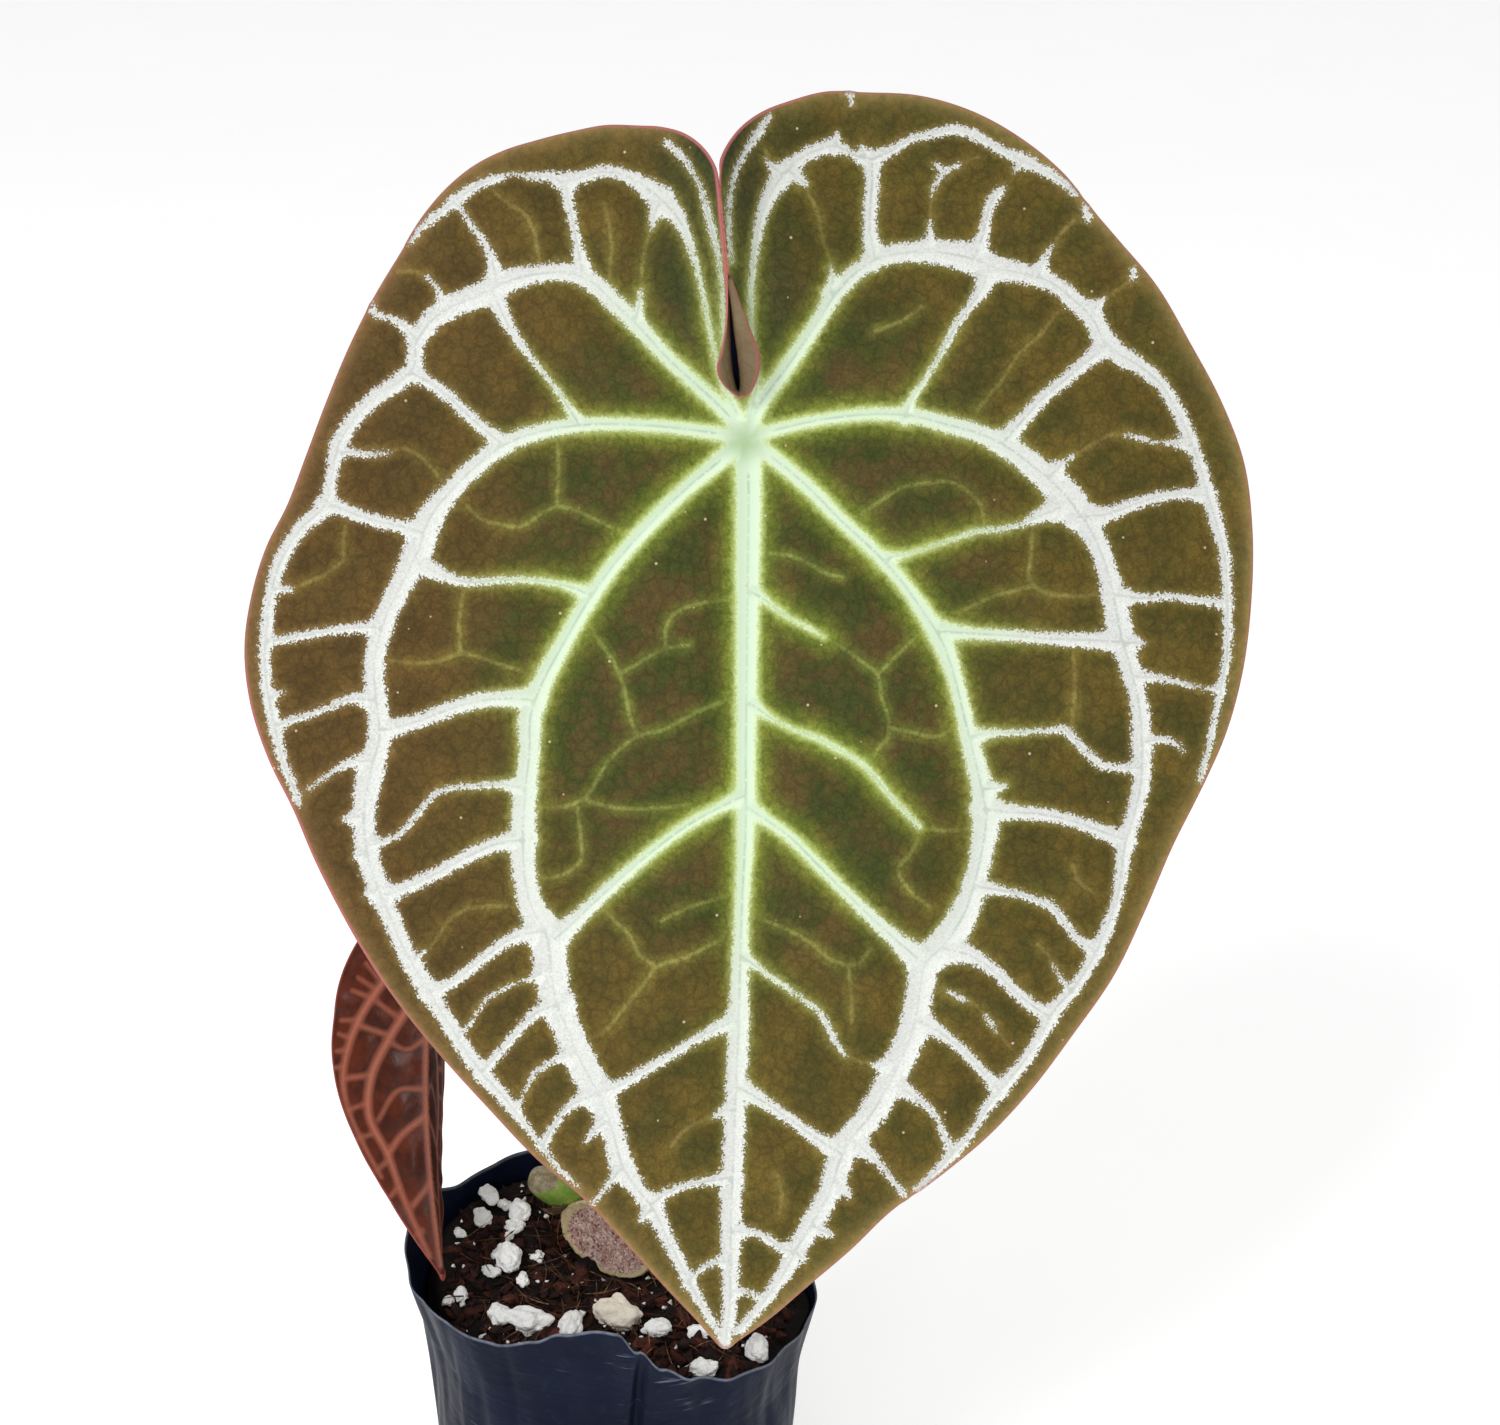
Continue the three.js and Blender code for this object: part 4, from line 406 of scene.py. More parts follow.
def nearest_on(line, points):
    """Each point's distance from a line of short steps, its offset from the line, and the width there."""
    best = np.full(len(points), np.inf)
    offset = np.zeros((len(points), 2))
    width = np.zeros(len(points))
    for start, end in zip(line[:-1], line[1:]):
        step = end[:2] - start[:2]
        share = np.clip((points - start[:2]) @ step / (step @ step), 0, 1)
        gap = points - start[:2] - share[:, None] * step
        distance = np.hypot(gap[:, 0], gap[:, 1])
        closer = distance < best
        best[closer] = distance[closer]
        offset[closer] = gap[closer]
        if len(start) > 2:
            width[closer] = (start[2] + share * (end[2] - start[2]))[closer]
    return best, offset, width


def near_lines(points, lines, reach):
    """For each line, which points lie within reach of its box, with what nearest_on says of them."""
    for line in lines:
        low, high = line[:, :2].min(0) - reach, line[:, :2].max(0) + reach
        near = np.flatnonzero(((points > low) & (points < high)).all(1))
        if len(near):
            yield near, *nearest_on(line, points[near])


def distance_to(points, lines, reach):
    """Each point's distance from the nearest line, up to reach."""
    best = np.full(len(points), float(reach))
    for near, distance, _, _ in near_lines(points, lines, reach):
        best[near] = np.minimum(best[near], distance)
    return best


def distance_from_band(points, lines, reach, web):
    """How far each point lies outside bands as wide as the lines say, below 0 inside them. Where two bands
    meet, the corner between them is webbed."""
    best = np.full(len(points), float(reach))
    for near, distance, _, width in near_lines(points, lines, reach):
        old, new = best[near], distance - width
        overlap = np.maximum(web - np.abs(old - new), 0) / web
        best[near] = np.minimum(old, new) - overlap**2 * web / 4
    return best


def inside(outline, points):
    """Whether each point lies within a closed outline."""
    odd = np.zeros(len(points), bool)
    for (a0, b0), (a1, b1) in zip(outline, np.roll(outline, -1, axis=0)):
        if b0 != b1:
            between = (b0 > points[:, 1]) != (b1 > points[:, 1])
            odd ^= between & (points[:, 0] < (a1 - a0) * (points[:, 1] - b0) / (b1 - b0) + a0)
    return odd


class Sieve:
    """Takes in flat points in turn, and drops each that would lie too near an earlier one."""

    CELL = 0.25

    def __init__(self, low, high):
        self.low = np.array(low) - 4
        self.taken = np.zeros(((np.array(high) + 4 - self.low) / self.CELL).astype(int), bool)

    def take(self, points, gap):
        at = ((points - self.low) / self.CELL).astype(int)
        kept = ~self.taken[at[:, 0], at[:, 1]]
        reach = math.ceil(gap / self.CELL)
        for i in range(-reach, reach + 1):
            for j in range(-reach, reach + 1):
                if math.hypot(i, j) * self.CELL <= gap:
                    self.taken[at[kept, 0] + i, at[kept, 1] + j] = True
        return points[kept]


def rows_beside(line, offsets):
    """Rows of points along a line, each to one side of it by a number of half widths and millimetres."""
    ahead = np.gradient(line[:, :2], axis=0)
    ahead /= np.linalg.norm(ahead, axis=1)[:, None]
    sideways = np.stack([-ahead[:, 1], ahead[:, 0]], axis=1)
    return [line[:, :2] + sideways * (line[:, 2:3] * widths + beyond) for widths, beyond in offsets]


def fill_grid(low, high, spacing):
    """Points in rows, each row shifted by half a space, over a flat box."""
    rows = np.arange(low[1], high[1], spacing * math.sqrt(3) / 2)
    columns = np.arange(low[0], high[0], spacing)
    grid = [np.stack([columns + (i % 2) * spacing / 2, np.full(len(columns), b)], axis=1)
            for i, b in enumerate(rows)]
    return np.concatenate(grid)


def triangulate(margin, points):
    """Flat triangles inside a closed margin, through its points and the rest. Returns the flat points, the
    triangles, and where each point of the margin went."""
    count = len(margin)
    edges = [(i, (i + 1) % count) for i in range(count)]
    everything = [Vector(p) for p in np.vstack([margin, points])]
    inside_constraints = 1
    flat, _, faces, origins, _, _ = delaunay_2d_cdt(everything, edges, [], inside_constraints, 1e-4)
    went = np.full(count, -1)
    for new, old in enumerate(origins):
        for i in old:
            if i < count:
                went[i] = new
    return np.array(flat), np.array(faces), went


def mesh_piece(name, points, faces, materials, attributes=None, material_of=None, smooth=True):
    """A mesh object at the origin, from points in millimetres and faces of any length. Attributes hold a
    number at each point, and material_of a number for each face."""
    mesh = bpy.data.meshes.new(name)
    mesh.from_pydata((np.asarray(points) * MM).tolist(), [], [list(map(int, face)) for face in faces])
    for material in materials:
        mesh.materials.append(material)
    for label, values in (attributes or {}).items():
        mesh.attributes.new(label, "FLOAT", "POINT").data.foreach_set("value", values.astype(np.float32))
    if material_of is not None:
        mesh.polygons.foreach_set("material_index", np.asarray(material_of, np.int32))
    mesh.polygons.foreach_set("use_smooth", np.full(len(mesh.polygons), smooth))
    mesh.validate()
    mesh.update()
    piece = bpy.data.objects.new(name, mesh)
    bpy.context.scene.collection.objects.link(piece)
    return piece


def finish_piece(piece, slot, *nodes):
    """A finished piece rides with the pot and stands for CAD nodes. The slot is not used."""
    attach(piece, "root")
    if nodes:
        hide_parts(*nodes)


def colour(red, green, blue):
    """A colour given in 0 to 255, as a screen shows it."""
    shown = np.array([red, green, blue]) / 255
    linear = np.where(shown <= 0.04045, shown / 12.92, ((shown + 0.055) / 1.055) ** 2.4)
    return (*linear.tolist(), 1.0)


class Nodes:
    """Adds nodes to a tree. An input is a plain value or another node's output."""

    def __init__(self, tree):
        self.tree = tree

    def add(self, kind, inputs=None, **settings):
        node = self.tree.nodes.new(kind)
        for key, value in settings.items():
            setattr(node, key, value)
        for key, value in (inputs or {}).items():
            if isinstance(value, bpy.types.NodeSocket):
                self.link(value, node.inputs[key])
            else:
                node.inputs[key].default_value = value
        return node

    def output(self, kind, inputs=None, **settings):
        """The first output of a new node."""
        return self.add(kind, inputs, **settings).outputs[0]

    def link(self, value, socket):
        self.tree.links.new(value, socket)

    def math(self, operation, first, second=0.0, clamp=False):
        inputs = {0: first, 1: second}
        return self.output("ShaderNodeMath", inputs, operation=operation, use_clamp=clamp)

    def times(self, first, second, clamp=False):
        return self.math("MULTIPLY", first, second, clamp)

    def plus(self, first, second):
        return self.math("ADD", first, second)

    def minus(self, first, second):
        return self.math("SUBTRACT", first, second)

    def fall_off(self, power):
        """1 where the power is 0, and less and less as it goes below."""
        return self.math("POWER", EULER, power)

    def step(self, value, low, high, start=0.0, end=1.0):
        """From start at low to end at high, smoothly."""
        limits = {0: value, 1: low, 2: high, 3: start, 4: end}
        return self.add("ShaderNodeMapRange", limits, interpolation_type="SMOOTHSTEP").outputs[0]

    def mix(self, share, start, end, blend="MIX"):
        inputs = {0: share, 6: start, 7: end}
        return self.add("ShaderNodeMix", inputs, data_type="RGBA", blend_type=blend).outputs[2]

    def attribute(self, name):
        return self.add("ShaderNodeAttribute", attribute_name=name).outputs["Fac"]

    def places(self):
        return self.add("ShaderNodeTexCoord").outputs["Object"]

    def noise(self, size, detail=2.0, roughness=0.5, distortion=0.0):
        """Noise from 0 to 1 whose lumps are about so many millimetres wide."""
        inputs = {"Vector": self.places(), "Scale": 1 / (size * MM), "Detail": detail,
                  "Roughness": roughness, "Distortion": distortion}
        return self.add("ShaderNodeTexNoise", inputs).outputs["Fac"]

    def stretched_noise(self, scales, detail, vector=None):
        """Noise with its own scale each way, in lumps per metre, on the object's places or other ones."""
        inputs = {"Vector": vector or self.places(), "Scale": scales}
        mapped = self.output("ShaderNodeMapping", inputs)
        return self.output("ShaderNodeTexNoise", {"Vector": mapped, "Scale": 1.0, "Detail": detail})

    def bump(self, height, distance, strength=1.0, normal=None):
        """A normal bent by a height from 0 to 1 that stands for so many millimetres."""
        inputs = {"Height": height, "Distance": distance * MM, "Strength": strength}
        if normal:
            inputs["Normal"] = normal
        return self.add("ShaderNodeBump", inputs).outputs[0]

    def use(self, group, inputs):
        """A group placed with its own values. Returns its outputs."""
        return self.add("ShaderNodeGroup", inputs, node_tree=group).outputs

    def dress(self, shader, skin, normal=None, roughness=None):
        """Leads what varies over a surface to its shader."""
        ends = {"Base Color": skin, "Normal": normal, "Roughness": roughness}
        for label, value in ends.items():
            if value:
                self.link(value, shader.inputs[label])


def new_group(name, inputs, outputs):
    """A shader node group with named inputs, each with its value, and named outputs. Returns the tree,
    its nodes, what comes in and what goes out."""
    tree = bpy.data.node_groups.new(name, "ShaderNodeTree")
    for label, value in inputs.items():
        kind = "NodeSocketFloat" if isinstance(value, (int, float)) else "NodeSocketColor"
        tree.interface.new_socket(label, in_out="INPUT", socket_type=kind).default_value = value
    for label, kind in outputs.items():
        tree.interface.new_socket(label, in_out="OUTPUT", socket_type=kind)
    come_in = tree.nodes.new("NodeGroupInput").outputs
    go_out = tree.nodes.new("NodeGroupOutput").inputs
    return tree, Nodes(tree), come_in, go_out


def new_material(name, **shader_values):
    """A material with a Principled shader, whose plain values are set on its own sockets."""
    material = bpy.data.materials.new(name)
    material.use_nodes = True
    nodes = Nodes(material.node_tree)
    shader = material.node_tree.nodes["Principled BSDF"]
    for key, value in shader_values.items():
        shader.inputs[key.replace("_", " ")].default_value = value
    return material, nodes, shader


# Effects that several materials share

WHITE = (1.0, 1.0, 1.0, 1.0)


def mottle_group():
    """Two colours in soft patches of a size, with finer ones within them."""
    inputs = {"Colour": WHITE, "Patch": WHITE, "Size": 6.0, "Amount": 1.0}
    tree, nodes, given, out = new_group("mottle", inputs, {"Colour": "NodeSocketColor"})
    scale = nodes.math("DIVIDE", 1000.0, given["Size"])
    lumps = {"Vector": nodes.places(), "Scale": scale, "Detail": 3.0}
    broad = nodes.output("ShaderNodeTexNoise", lumps)
    lumps["Scale"] = nodes.times(scale, 3.7)
    fine = nodes.output("ShaderNodeTexNoise", lumps)
    blotches = nodes.plus(nodes.times(broad, 0.65), nodes.times(fine, 0.35))
    share = nodes.times(nodes.step(blotches, 0.38, 0.62), given["Amount"])
    nodes.link(nodes.mix(share, given["Colour"], given["Patch"]), out["Colour"])
    return tree


def skin_net_group():
    """The net of fine veins in a leaf's skin: a painted shade that darkens the creases along its lines, and
    how far the skin swells between.
    """
    outputs = {"Shade": "NodeSocketFloat", "Height": "NodeSocketFloat"}
    tree, nodes, given, out = new_group("skin_net", {"Size": 3.0, "Depth": 0.2}, outputs)
    places = nodes.places()
    wobble = {"Vector": places, "Scale": 260.0, "Detail": 2.0}
    bend = nodes.add("ShaderNodeTexNoise", wobble).outputs["Color"]
    reach = (0.0022, 0.0022, 0.0022)
    bent = nodes.output("ShaderNodeVectorMath", {0: bend, 1: reach}, operation="MULTIPLY")
    moved = nodes.output("ShaderNodeVectorMath", {0: places, 1: bent}, operation="ADD")
    scale = nodes.math("DIVIDE", 1000.0, given["Size"])
    edges = {"Vector": moved, "Scale": scale}
    coarse = nodes.output("ShaderNodeTexVoronoi", edges, feature="DISTANCE_TO_EDGE")
    edges["Scale"] = nodes.times(scale, 2.3)
    fine = nodes.output("ShaderNodeTexVoronoi", edges, feature="DISTANCE_TO_EDGE")
    swell = nodes.plus(nodes.times(nodes.step(coarse, 0.0, 0.22), 0.65),
                       nodes.times(nodes.step(fine, 0.0, 0.3), 0.35))
    low = nodes.minus(1.0, given["Depth"])
    shade = nodes.output("ShaderNodeMapRange", {0: swell, 1: 0.0, 2: 1.0, 3: low, 4: 1.0})
    nodes.link(shade, out["Shade"])
    nodes.link(swell, out["Height"])
    return tree


def crisp_band_group():
    """A band's mask from the distance outside it, in millimetres, with a ragged or a soft edge."""
    inputs = {"Distance": 0.0, "Ragged": 0.5, "Softness": 0.2}
    tree, nodes, given, out = new_group("crisp_band", inputs, {"Mask": "NodeSocketFloat"})
    teeth = nodes.noise(1.2, detail=4.0, roughness=0.85)
    fuzz = nodes.noise(0.4, detail=2.0)
    rough = nodes.minus(nodes.plus(teeth, fuzz), 1.02)
    edge = nodes.plus(given["Distance"], nodes.times(rough, given["Ragged"]))
    mask = nodes.step(edge, nodes.times(given["Softness"], -1.0), given["Softness"], 1.0, 0.0)
    nodes.link(mask, out["Mask"])
    return tree


def tint(nodes, base, tone):
    """A colour made lighter or darker by a number around 1."""
    grey = nodes.output("ShaderNodeCombineColor", {0: tone, 1: tone, 2: tone})
    return nodes.mix(1.0, base, grey, blend="MULTIPLY")


MOTTLE = mottle_group()
SKIN_NET = skin_net_group()
CRISP_BAND = crisp_band_group()


def mottled(nodes, main, patch, size, amount):
    """A colour with patches of another, about so many millimetres wide."""
    return nodes.use(MOTTLE, {"Colour": main, "Patch": patch, "Size": size, "Amount": amount})[0]


# The velvet leaf's skin

def cell_colour(nodes, heart, brown):
    """The dark velvet between the veins, bronze and towards the heart green."""
    green = mottled(nodes, colour(62, 70, 24), colour(79, 63, 31), 9.0, 0.9)
    bronze = mottled(nodes, colour(93, 77, 29), colour(71, 67, 24), 11.0, 0.9)
    bronze = nodes.mix(nodes.times(brown, 0.65), bronze, colour(87, 61, 30))
    patchy = nodes.plus(heart, nodes.times(nodes.minus(nodes.noise(22), 0.5), 0.7))
    cell = nodes.mix(nodes.step(patchy, 0.1, 0.8), bronze, green)
    return nodes.mix(nodes.attribute("cleft"), cell, colour(54, 64, 38))


def with_faint_veins(nodes, cell, heart):
    """The velvet with a soft halo and a thin core along each faint vein."""
    faint = nodes.attribute("faint")
    strength = nodes.step(nodes.noise(5.5), 0.2, 0.75, 0.35, 1.0)
    halo = nodes.times(nodes.step(faint, 0.0, 2.9, 0.62, 0.0), strength)
    cell = nodes.mix(halo, cell, nodes.mix(heart, colour(122, 104, 46), colour(112, 122, 46)))
    core = nodes.times(nodes.step(faint, 0.1, 0.7, 0.55, 0.0), strength)
    return nodes.mix(core, cell, nodes.mix(heart, colour(150, 132, 76), colour(150, 160, 84)))


def with_glow(nodes, cell, heart, brown, depth):
    """The velvet with the glow beside the silver bands, which is wide and yellow-green at the heart."""
    beyond = nodes.math("DIVIDE", depth, nodes.step(heart, 0.0, 1.0, 1.5, 3.3))
    near = nodes.fall_off(nodes.times(nodes.times(beyond, beyond), -1.0))
    glow = nodes.times(near, nodes.step(heart, 0.0, 1.0, 0.6, 0.85))
    outer = nodes.mix(brown, colour(108, 94, 37), colour(112, 86, 44))
    return nodes.mix(glow, cell, nodes.mix(heart, outer, colour(120, 134, 44)))


def with_grain(nodes, cell, net):
    """The velvet with the lines of its net darkened as painted shade in their creases, soft clouds and a fine
    grain.
    """
    cell = tint(nodes, cell, net["Shade"])
    cell = tint(nodes, cell, nodes.step(nodes.noise(9, detail=3.0), 0.25, 0.75, 0.84, 1.18))
    grain = nodes.noise(0.5, detail=3.0, roughness=0.7)
    return tint(nodes, cell, nodes.step(grain, 0.25, 0.75, 0.74, 1.26))


def with_pale_edges(nodes, cell, heart, brown, depth, streaks):
    """The velvet with a pale fringe beside the silver bands and a pale strip inside the margin."""
    fringe = nodes.times(nodes.step(depth, 0.0, 1.7, 1.0, 0.0), nodes.step(heart, 0.0, 1.0, 0.2, 0.75))
    cell = nodes.mix(fringe, cell, nodes.mix(heart, colour(146, 130, 82), colour(168, 184, 104)))
    inward = nodes.plus(nodes.attribute("margin"), streaks)
    strip = nodes.fall_off(nodes.math("DIVIDE", inward, -1.5))
    strip = nodes.times(strip, nodes.minus(0.7, nodes.attribute("cleft")), clamp=True)
    return nodes.mix(strip, cell, nodes.mix(brown, colour(158, 136, 82), colour(150, 114, 76)))


def silver_colour(nodes, heart, silver):
    """The bands: white and grainy far out, minty at the heart, each with a painted lit half and shaded half,
    and a line of painted groove shade along each vein's middle.
    """
    # Painted light and shade: the half of each band on the lit side is whiter, the other half greyer.
    lit = nodes.step(nodes.attribute("side"), -0.8, 0.9)
    mint = nodes.mix(lit, colour(184, 203, 176), colour(208, 225, 200))
    mint = nodes.mix(nodes.step(silver, -1.1, 0.1, 0.0, 0.7), mint, colour(204, 220, 164))
    white = nodes.mix(lit, colour(200, 201, 197), colour(218, 221, 215))
    metal = nodes.mix(nodes.step(heart, 0.1, 0.9), white, mint)
    grain = nodes.step(nodes.noise(0.5, detail=4.0, roughness=0.85), 0.3, 0.62, 0.74, 1.05)
    metal = tint(nodes, metal, nodes.mix(heart, grain, WHITE))
    # Painted shade: a greyer line along each vein's middle, at the bottom of its groove.
    line = nodes.times(nodes.step(nodes.attribute("rib"), 0.0, 0.5, 1.0, 0.0),
                       nodes.step(nodes.noise(9), 0.3, 0.7, 0.25, 0.7))
    metal = nodes.mix(line, metal, nodes.mix(heart, colour(166, 170, 166), colour(150, 172, 142)))
    return nodes.mix(nodes.times(nodes.attribute("joint"), 0.75), metal, colour(142, 168, 118))


def with_margin(nodes, skin):
    """The skin with its pink margin, and with scattered pale dots."""
    blush = nodes.attribute("blush")
    edge = nodes.times(nodes.step(nodes.attribute("margin"), 0.1, 0.6, 1.0, 0.0), blush)
    skin = nodes.mix(edge, skin, nodes.mix(blush, colour(146, 102, 78), colour(174, 102, 100)))
    dots = nodes.output("ShaderNodeTexVoronoi", {"Vector": nodes.places(), "Scale": 140.0})
    return nodes.mix(nodes.step(dots, 0.03, 0.055, 0.75, 0.0), skin, colour(205, 178, 150))


def velvet_material():
    """The upper skin of the large blade. Attributes give, in millimetres, the distance outside the silver
    bands, from a vein's middle, from a faint vein and from the margin, and also the green of the blade's
    heart and the blush of its margin, from 0 to 1, and the side of a vein towards the light, from -1 to 1,
    by which each band's lit half is painted lighter as painted light."""
    material, nodes, shader = new_material(
        "velvet_blade", Sheen_Weight=0.05, Sheen_Roughness=0.4, Sheen_Tint=colour(225, 235, 190),
        Specular_IOR_Level=0.14)
    silver, heart = nodes.attribute("silver"), nodes.attribute("heart")
    streaks = nodes.times(nodes.minus(nodes.noise(1.5, detail=4.0, roughness=0.7), 0.5), 2.4)
    depth = nodes.math("MAXIMUM", nodes.plus(silver, streaks), 0.0)
    across = nodes.output("ShaderNodeSeparateXYZ", {0: nodes.places()})
    brown = nodes.step(nodes.plus(across, nodes.times(nodes.noise(30), 0.05)), 0.06, -0.04)
    net = nodes.use(SKIN_NET, {"Size": 3.2, "Depth": 0.3})

    cell = with_faint_veins(nodes, cell_colour(nodes, heart, brown), heart)
    cell = with_grain(nodes, with_glow(nodes, cell, heart, brown, depth), net)
    cell = with_pale_edges(nodes, cell, heart, brown, depth, streaks)
    band = {"Distance": silver, "Ragged": nodes.step(heart, 0.0, 1.0, 2.9, 1.5),
            "Softness": nodes.step(heart, 0.0, 1.0, 0.16, 0.6)}
    mask = nodes.use(CRISP_BAND, band)["Mask"]
    skin = with_margin(nodes, nodes.mix(mask, cell, silver_colour(nodes, heart, silver)))

    rough = nodes.mix(mask, (0.68, 0.68, 0.68, 1), (0.45, 0.45, 0.45, 1))
    swell = nodes.times(net["Height"], nodes.minus(1.0, mask))
    bumped = nodes.bump(swell, 0.22, 0.55)
    bumped = nodes.bump(nodes.noise(0.28, detail=3.0, roughness=0.7), 0.06, 0.5, bumped)
    nodes.dress(shader, skin, bumped, rough)
    return material


def underside_material():
    """The pale matt underside of the large blade."""
    material, nodes, shader = new_material("blade_underside", Roughness=0.55, Specular_IOR_Level=0.3)
    silver = nodes.attribute("silver")
    skin = mottled(nodes, colour(134, 122, 88), colour(118, 102, 76), 8.0, 0.8)
    net = nodes.use(SKIN_NET, {"Size": 3.0, "Depth": 0.16})
    # Painted shade: the net's lines are darkened in the creases between the swells.
    skin = tint(nodes, skin, net["Shade"])
    skin = nodes.mix(nodes.step(silver, -0.7, 0.9, 0.85, 0.0), skin, colour(176, 184, 132))
    blush = nodes.times(nodes.step(nodes.attribute("margin"), 0.1, 0.7, 1.0, 0.0),
                       nodes.attribute("blush"))
    skin = nodes.mix(blush, skin, colour(176, 94, 88))
    cleft = nodes.attribute("cleft")
    skin = nodes.mix(nodes.step(cleft, 0.5, 0.8, 0.0, 0.6), skin, colour(98, 78, 54))
    # Painted shade: where the cleft mark passes 1, deep in the fold behind the blade, the skin is dark navy.
    skin = nodes.mix(nodes.step(cleft, 1.0, 1.6), skin, colour(30, 31, 52))
    nodes.dress(shader, skin, nodes.bump(net["Height"], 0.2, 0.5))
    return material


# Forms of the two blades

LARGE_HALF_WIDTH = 108
LARGE_TIP_REACH = 196
LARGE_LOBE_REACH = 74


def cleft_middle(b):
    """The middle of the cleft between the back lobes, at a height along it."""
    return lerp(-1.2, -5.3, smoothstep(b, 12, 58))


def large_form(a, b):
    """Height of the large blade towards the eye. The back lobes rise to the cleft between them, and the
    sides and the tip bend away."""
    cleft = np.abs(a - cleft_middle(b))
    rise = 18 * np.exp(-cleft / 9) * smoothstep(b, 3, 34)
    tip = 9 * (np.maximum(-b, 0) / LARGE_TIP_REACH) ** 2
    top = 5 * (np.maximum(b, 0) / LARGE_LOBE_REACH) ** 2
    side = 9 * (np.abs(a) / LARGE_HALF_WIDTH) ** 2.4
    valley = 1.8 * (1 - np.exp(-((a / 15) ** 2)))
    from_middle = (a, b - LARGE_VIEW_CENTRE[1])
    outward = np.hypot(*from_middle) / LARGE_HALF_WIDTH
    wave = 1.1 * np.sin(np.arctan2(from_middle[1], a) * 7 + 0.6) * outward**3
    return rise - tip - top - side + valley + wave


def place_large(points, height):
    """Where flat points of the large blade are. The outline was seen by one eye, so what stands nearer to
    it is drawn in by that share."""
    height = large_form(points[:, 0], points[:, 1]) + height
    near = (1 - height / LARGE_VIEW_DISTANCE)[:, None]
    seen = LARGE_VIEW_CENTRE + (points - LARGE_VIEW_CENTRE) * near
    return LARGE_JUNCTION + seen[:, :1] * ACROSS + seen[:, 1:] * ALONG + height[:, None] * TOWARDS


YOUNG_HALF_WIDTH = 22.7
YOUNG_LENGTH = 81.4
YOUNG_FOLD = math.radians(86)


def place_young(points, height):
    """Where flat points of the young blade are. It hangs tip down, with its right half folded back."""
    a, b = points[:, 0], points[:, 1]
    down = np.clip(-b / YOUNG_LENGTH, 0, 1)
    bend = 1.6 * down**2 - 2.6 * np.sin(math.pi * down)
    fold = smoothstep(a, 0, 1.6) * lerp(YOUNG_FOLD, 0.12, smoothstep(b, -28, -5))
    cup = 5.5 * (np.minimum(a, 0) / YOUNG_HALF_WIDTH) ** 2
    across = a * np.cos(fold) + height * np.sin(fold) + bend
    depth = a * np.sin(fold) - height * np.cos(fold) + cup
    return YOUNG_JUNCTION + across[:, None] * ACROSS + b[:, None] * ALONG - depth[:, None] * TOWARDS


def normals_of(place, points, height):
    """Which way the upper face of a blade looks at its flat points."""
    step = 0.3
    shifts = (step, 0), (0, step)
    normal = np.cross(*(place(points + shift, height) - place(points - shift, height) for shift in shifts))
    return normal / np.linalg.norm(normal, axis=1)[:, None]


def blade_points(margin, main, cross, faint, spacing):
    """Flat points within a margin: rows along each vein and its edges, and a grid between."""
    low, high = margin.min(0), margin.max(0)
    sieve = Sieve(low, high)
    sieve.take(margin, spacing * 0.5)
    beside = [(0, 0), (1, 0), (-1, 0), (1, 0.9), (-1, -0.9)]
    rows = [row for line in main + cross for row in rows_beside(line, beside)]
    rows += [line[:, :2] for line in faint]
    kept = [sieve.take(row, spacing * 0.45) for row in rows]
    kept.append(sieve.take(fill_grid(low, high, spacing), 0))
    points = np.concatenate(kept)
    return points[inside(margin, points)]


def blade_shell(margin, upper, under, place, relief, thickness):
    """A thin blade from flat points for its upper and under faces, with a rounded margin between. relief
    gives, for flat points, the height and the attributes, and thickness how deep the blade is there."""
    flat_up, faces_up, went_up = triangulate(margin, upper)
    flat_down, faces_down, went_down = triangulate(margin, under)
    height, marks = relief(flat_up)
    top = place(flat_up, height)
    height_down, marks_down = relief(flat_down)
    normal = normals_of(place, flat_down, height_down)
    deep = thickness(flat_down, marks_down)
    bottom = place(flat_down, height_down) - normal * deep[:, None]

    ahead = np.roll(margin, -1, axis=0) - np.roll(margin, 1, axis=0)
    outward = np.stack([ahead[:, 1], -ahead[:, 0]], axis=1) / np.linalg.norm(ahead, axis=1)[:, None]
    rim_height = height[went_up]
    out = place(margin + outward * 0.3, rim_height) - place(margin - outward * 0.3, rim_height)
    out /= np.linalg.norm(out, axis=1)[:, None]
    edge = (top[went_up] + bottom[went_down]) / 2 + out * deep[went_down][:, None] * 0.5

    count, first_down = len(margin), len(top)
    first_edge = first_down + len(bottom)
    i = np.arange(count)
    j = (i + 1) % count
    upper_wall = np.stack([went_up[i], first_edge + i, first_edge + j, went_up[j]], axis=1)
    lower_wall = np.stack([first_edge + i, first_down + went_down[i], first_down + went_down[j],
                           first_edge + j], axis=1)
    faces = [*faces_up.tolist(), *(faces_down[:, ::-1] + first_down).tolist(),
             *upper_wall.tolist(), *lower_wall.tolist()]
    material_of = np.repeat([0, 1, 0, 1], [len(faces_up), len(faces_down), count, count])
    points = np.concatenate([top, bottom, edge])
    attributes = {label: np.concatenate([marks[label], marks_down[label], marks[label][went_up]])
                  for label in marks}
    return points, faces, material_of, attributes


def renumbered(faces, start):
    """Faces for points that follow a number of other points."""
    return [[start + i for i in face] for face in faces]


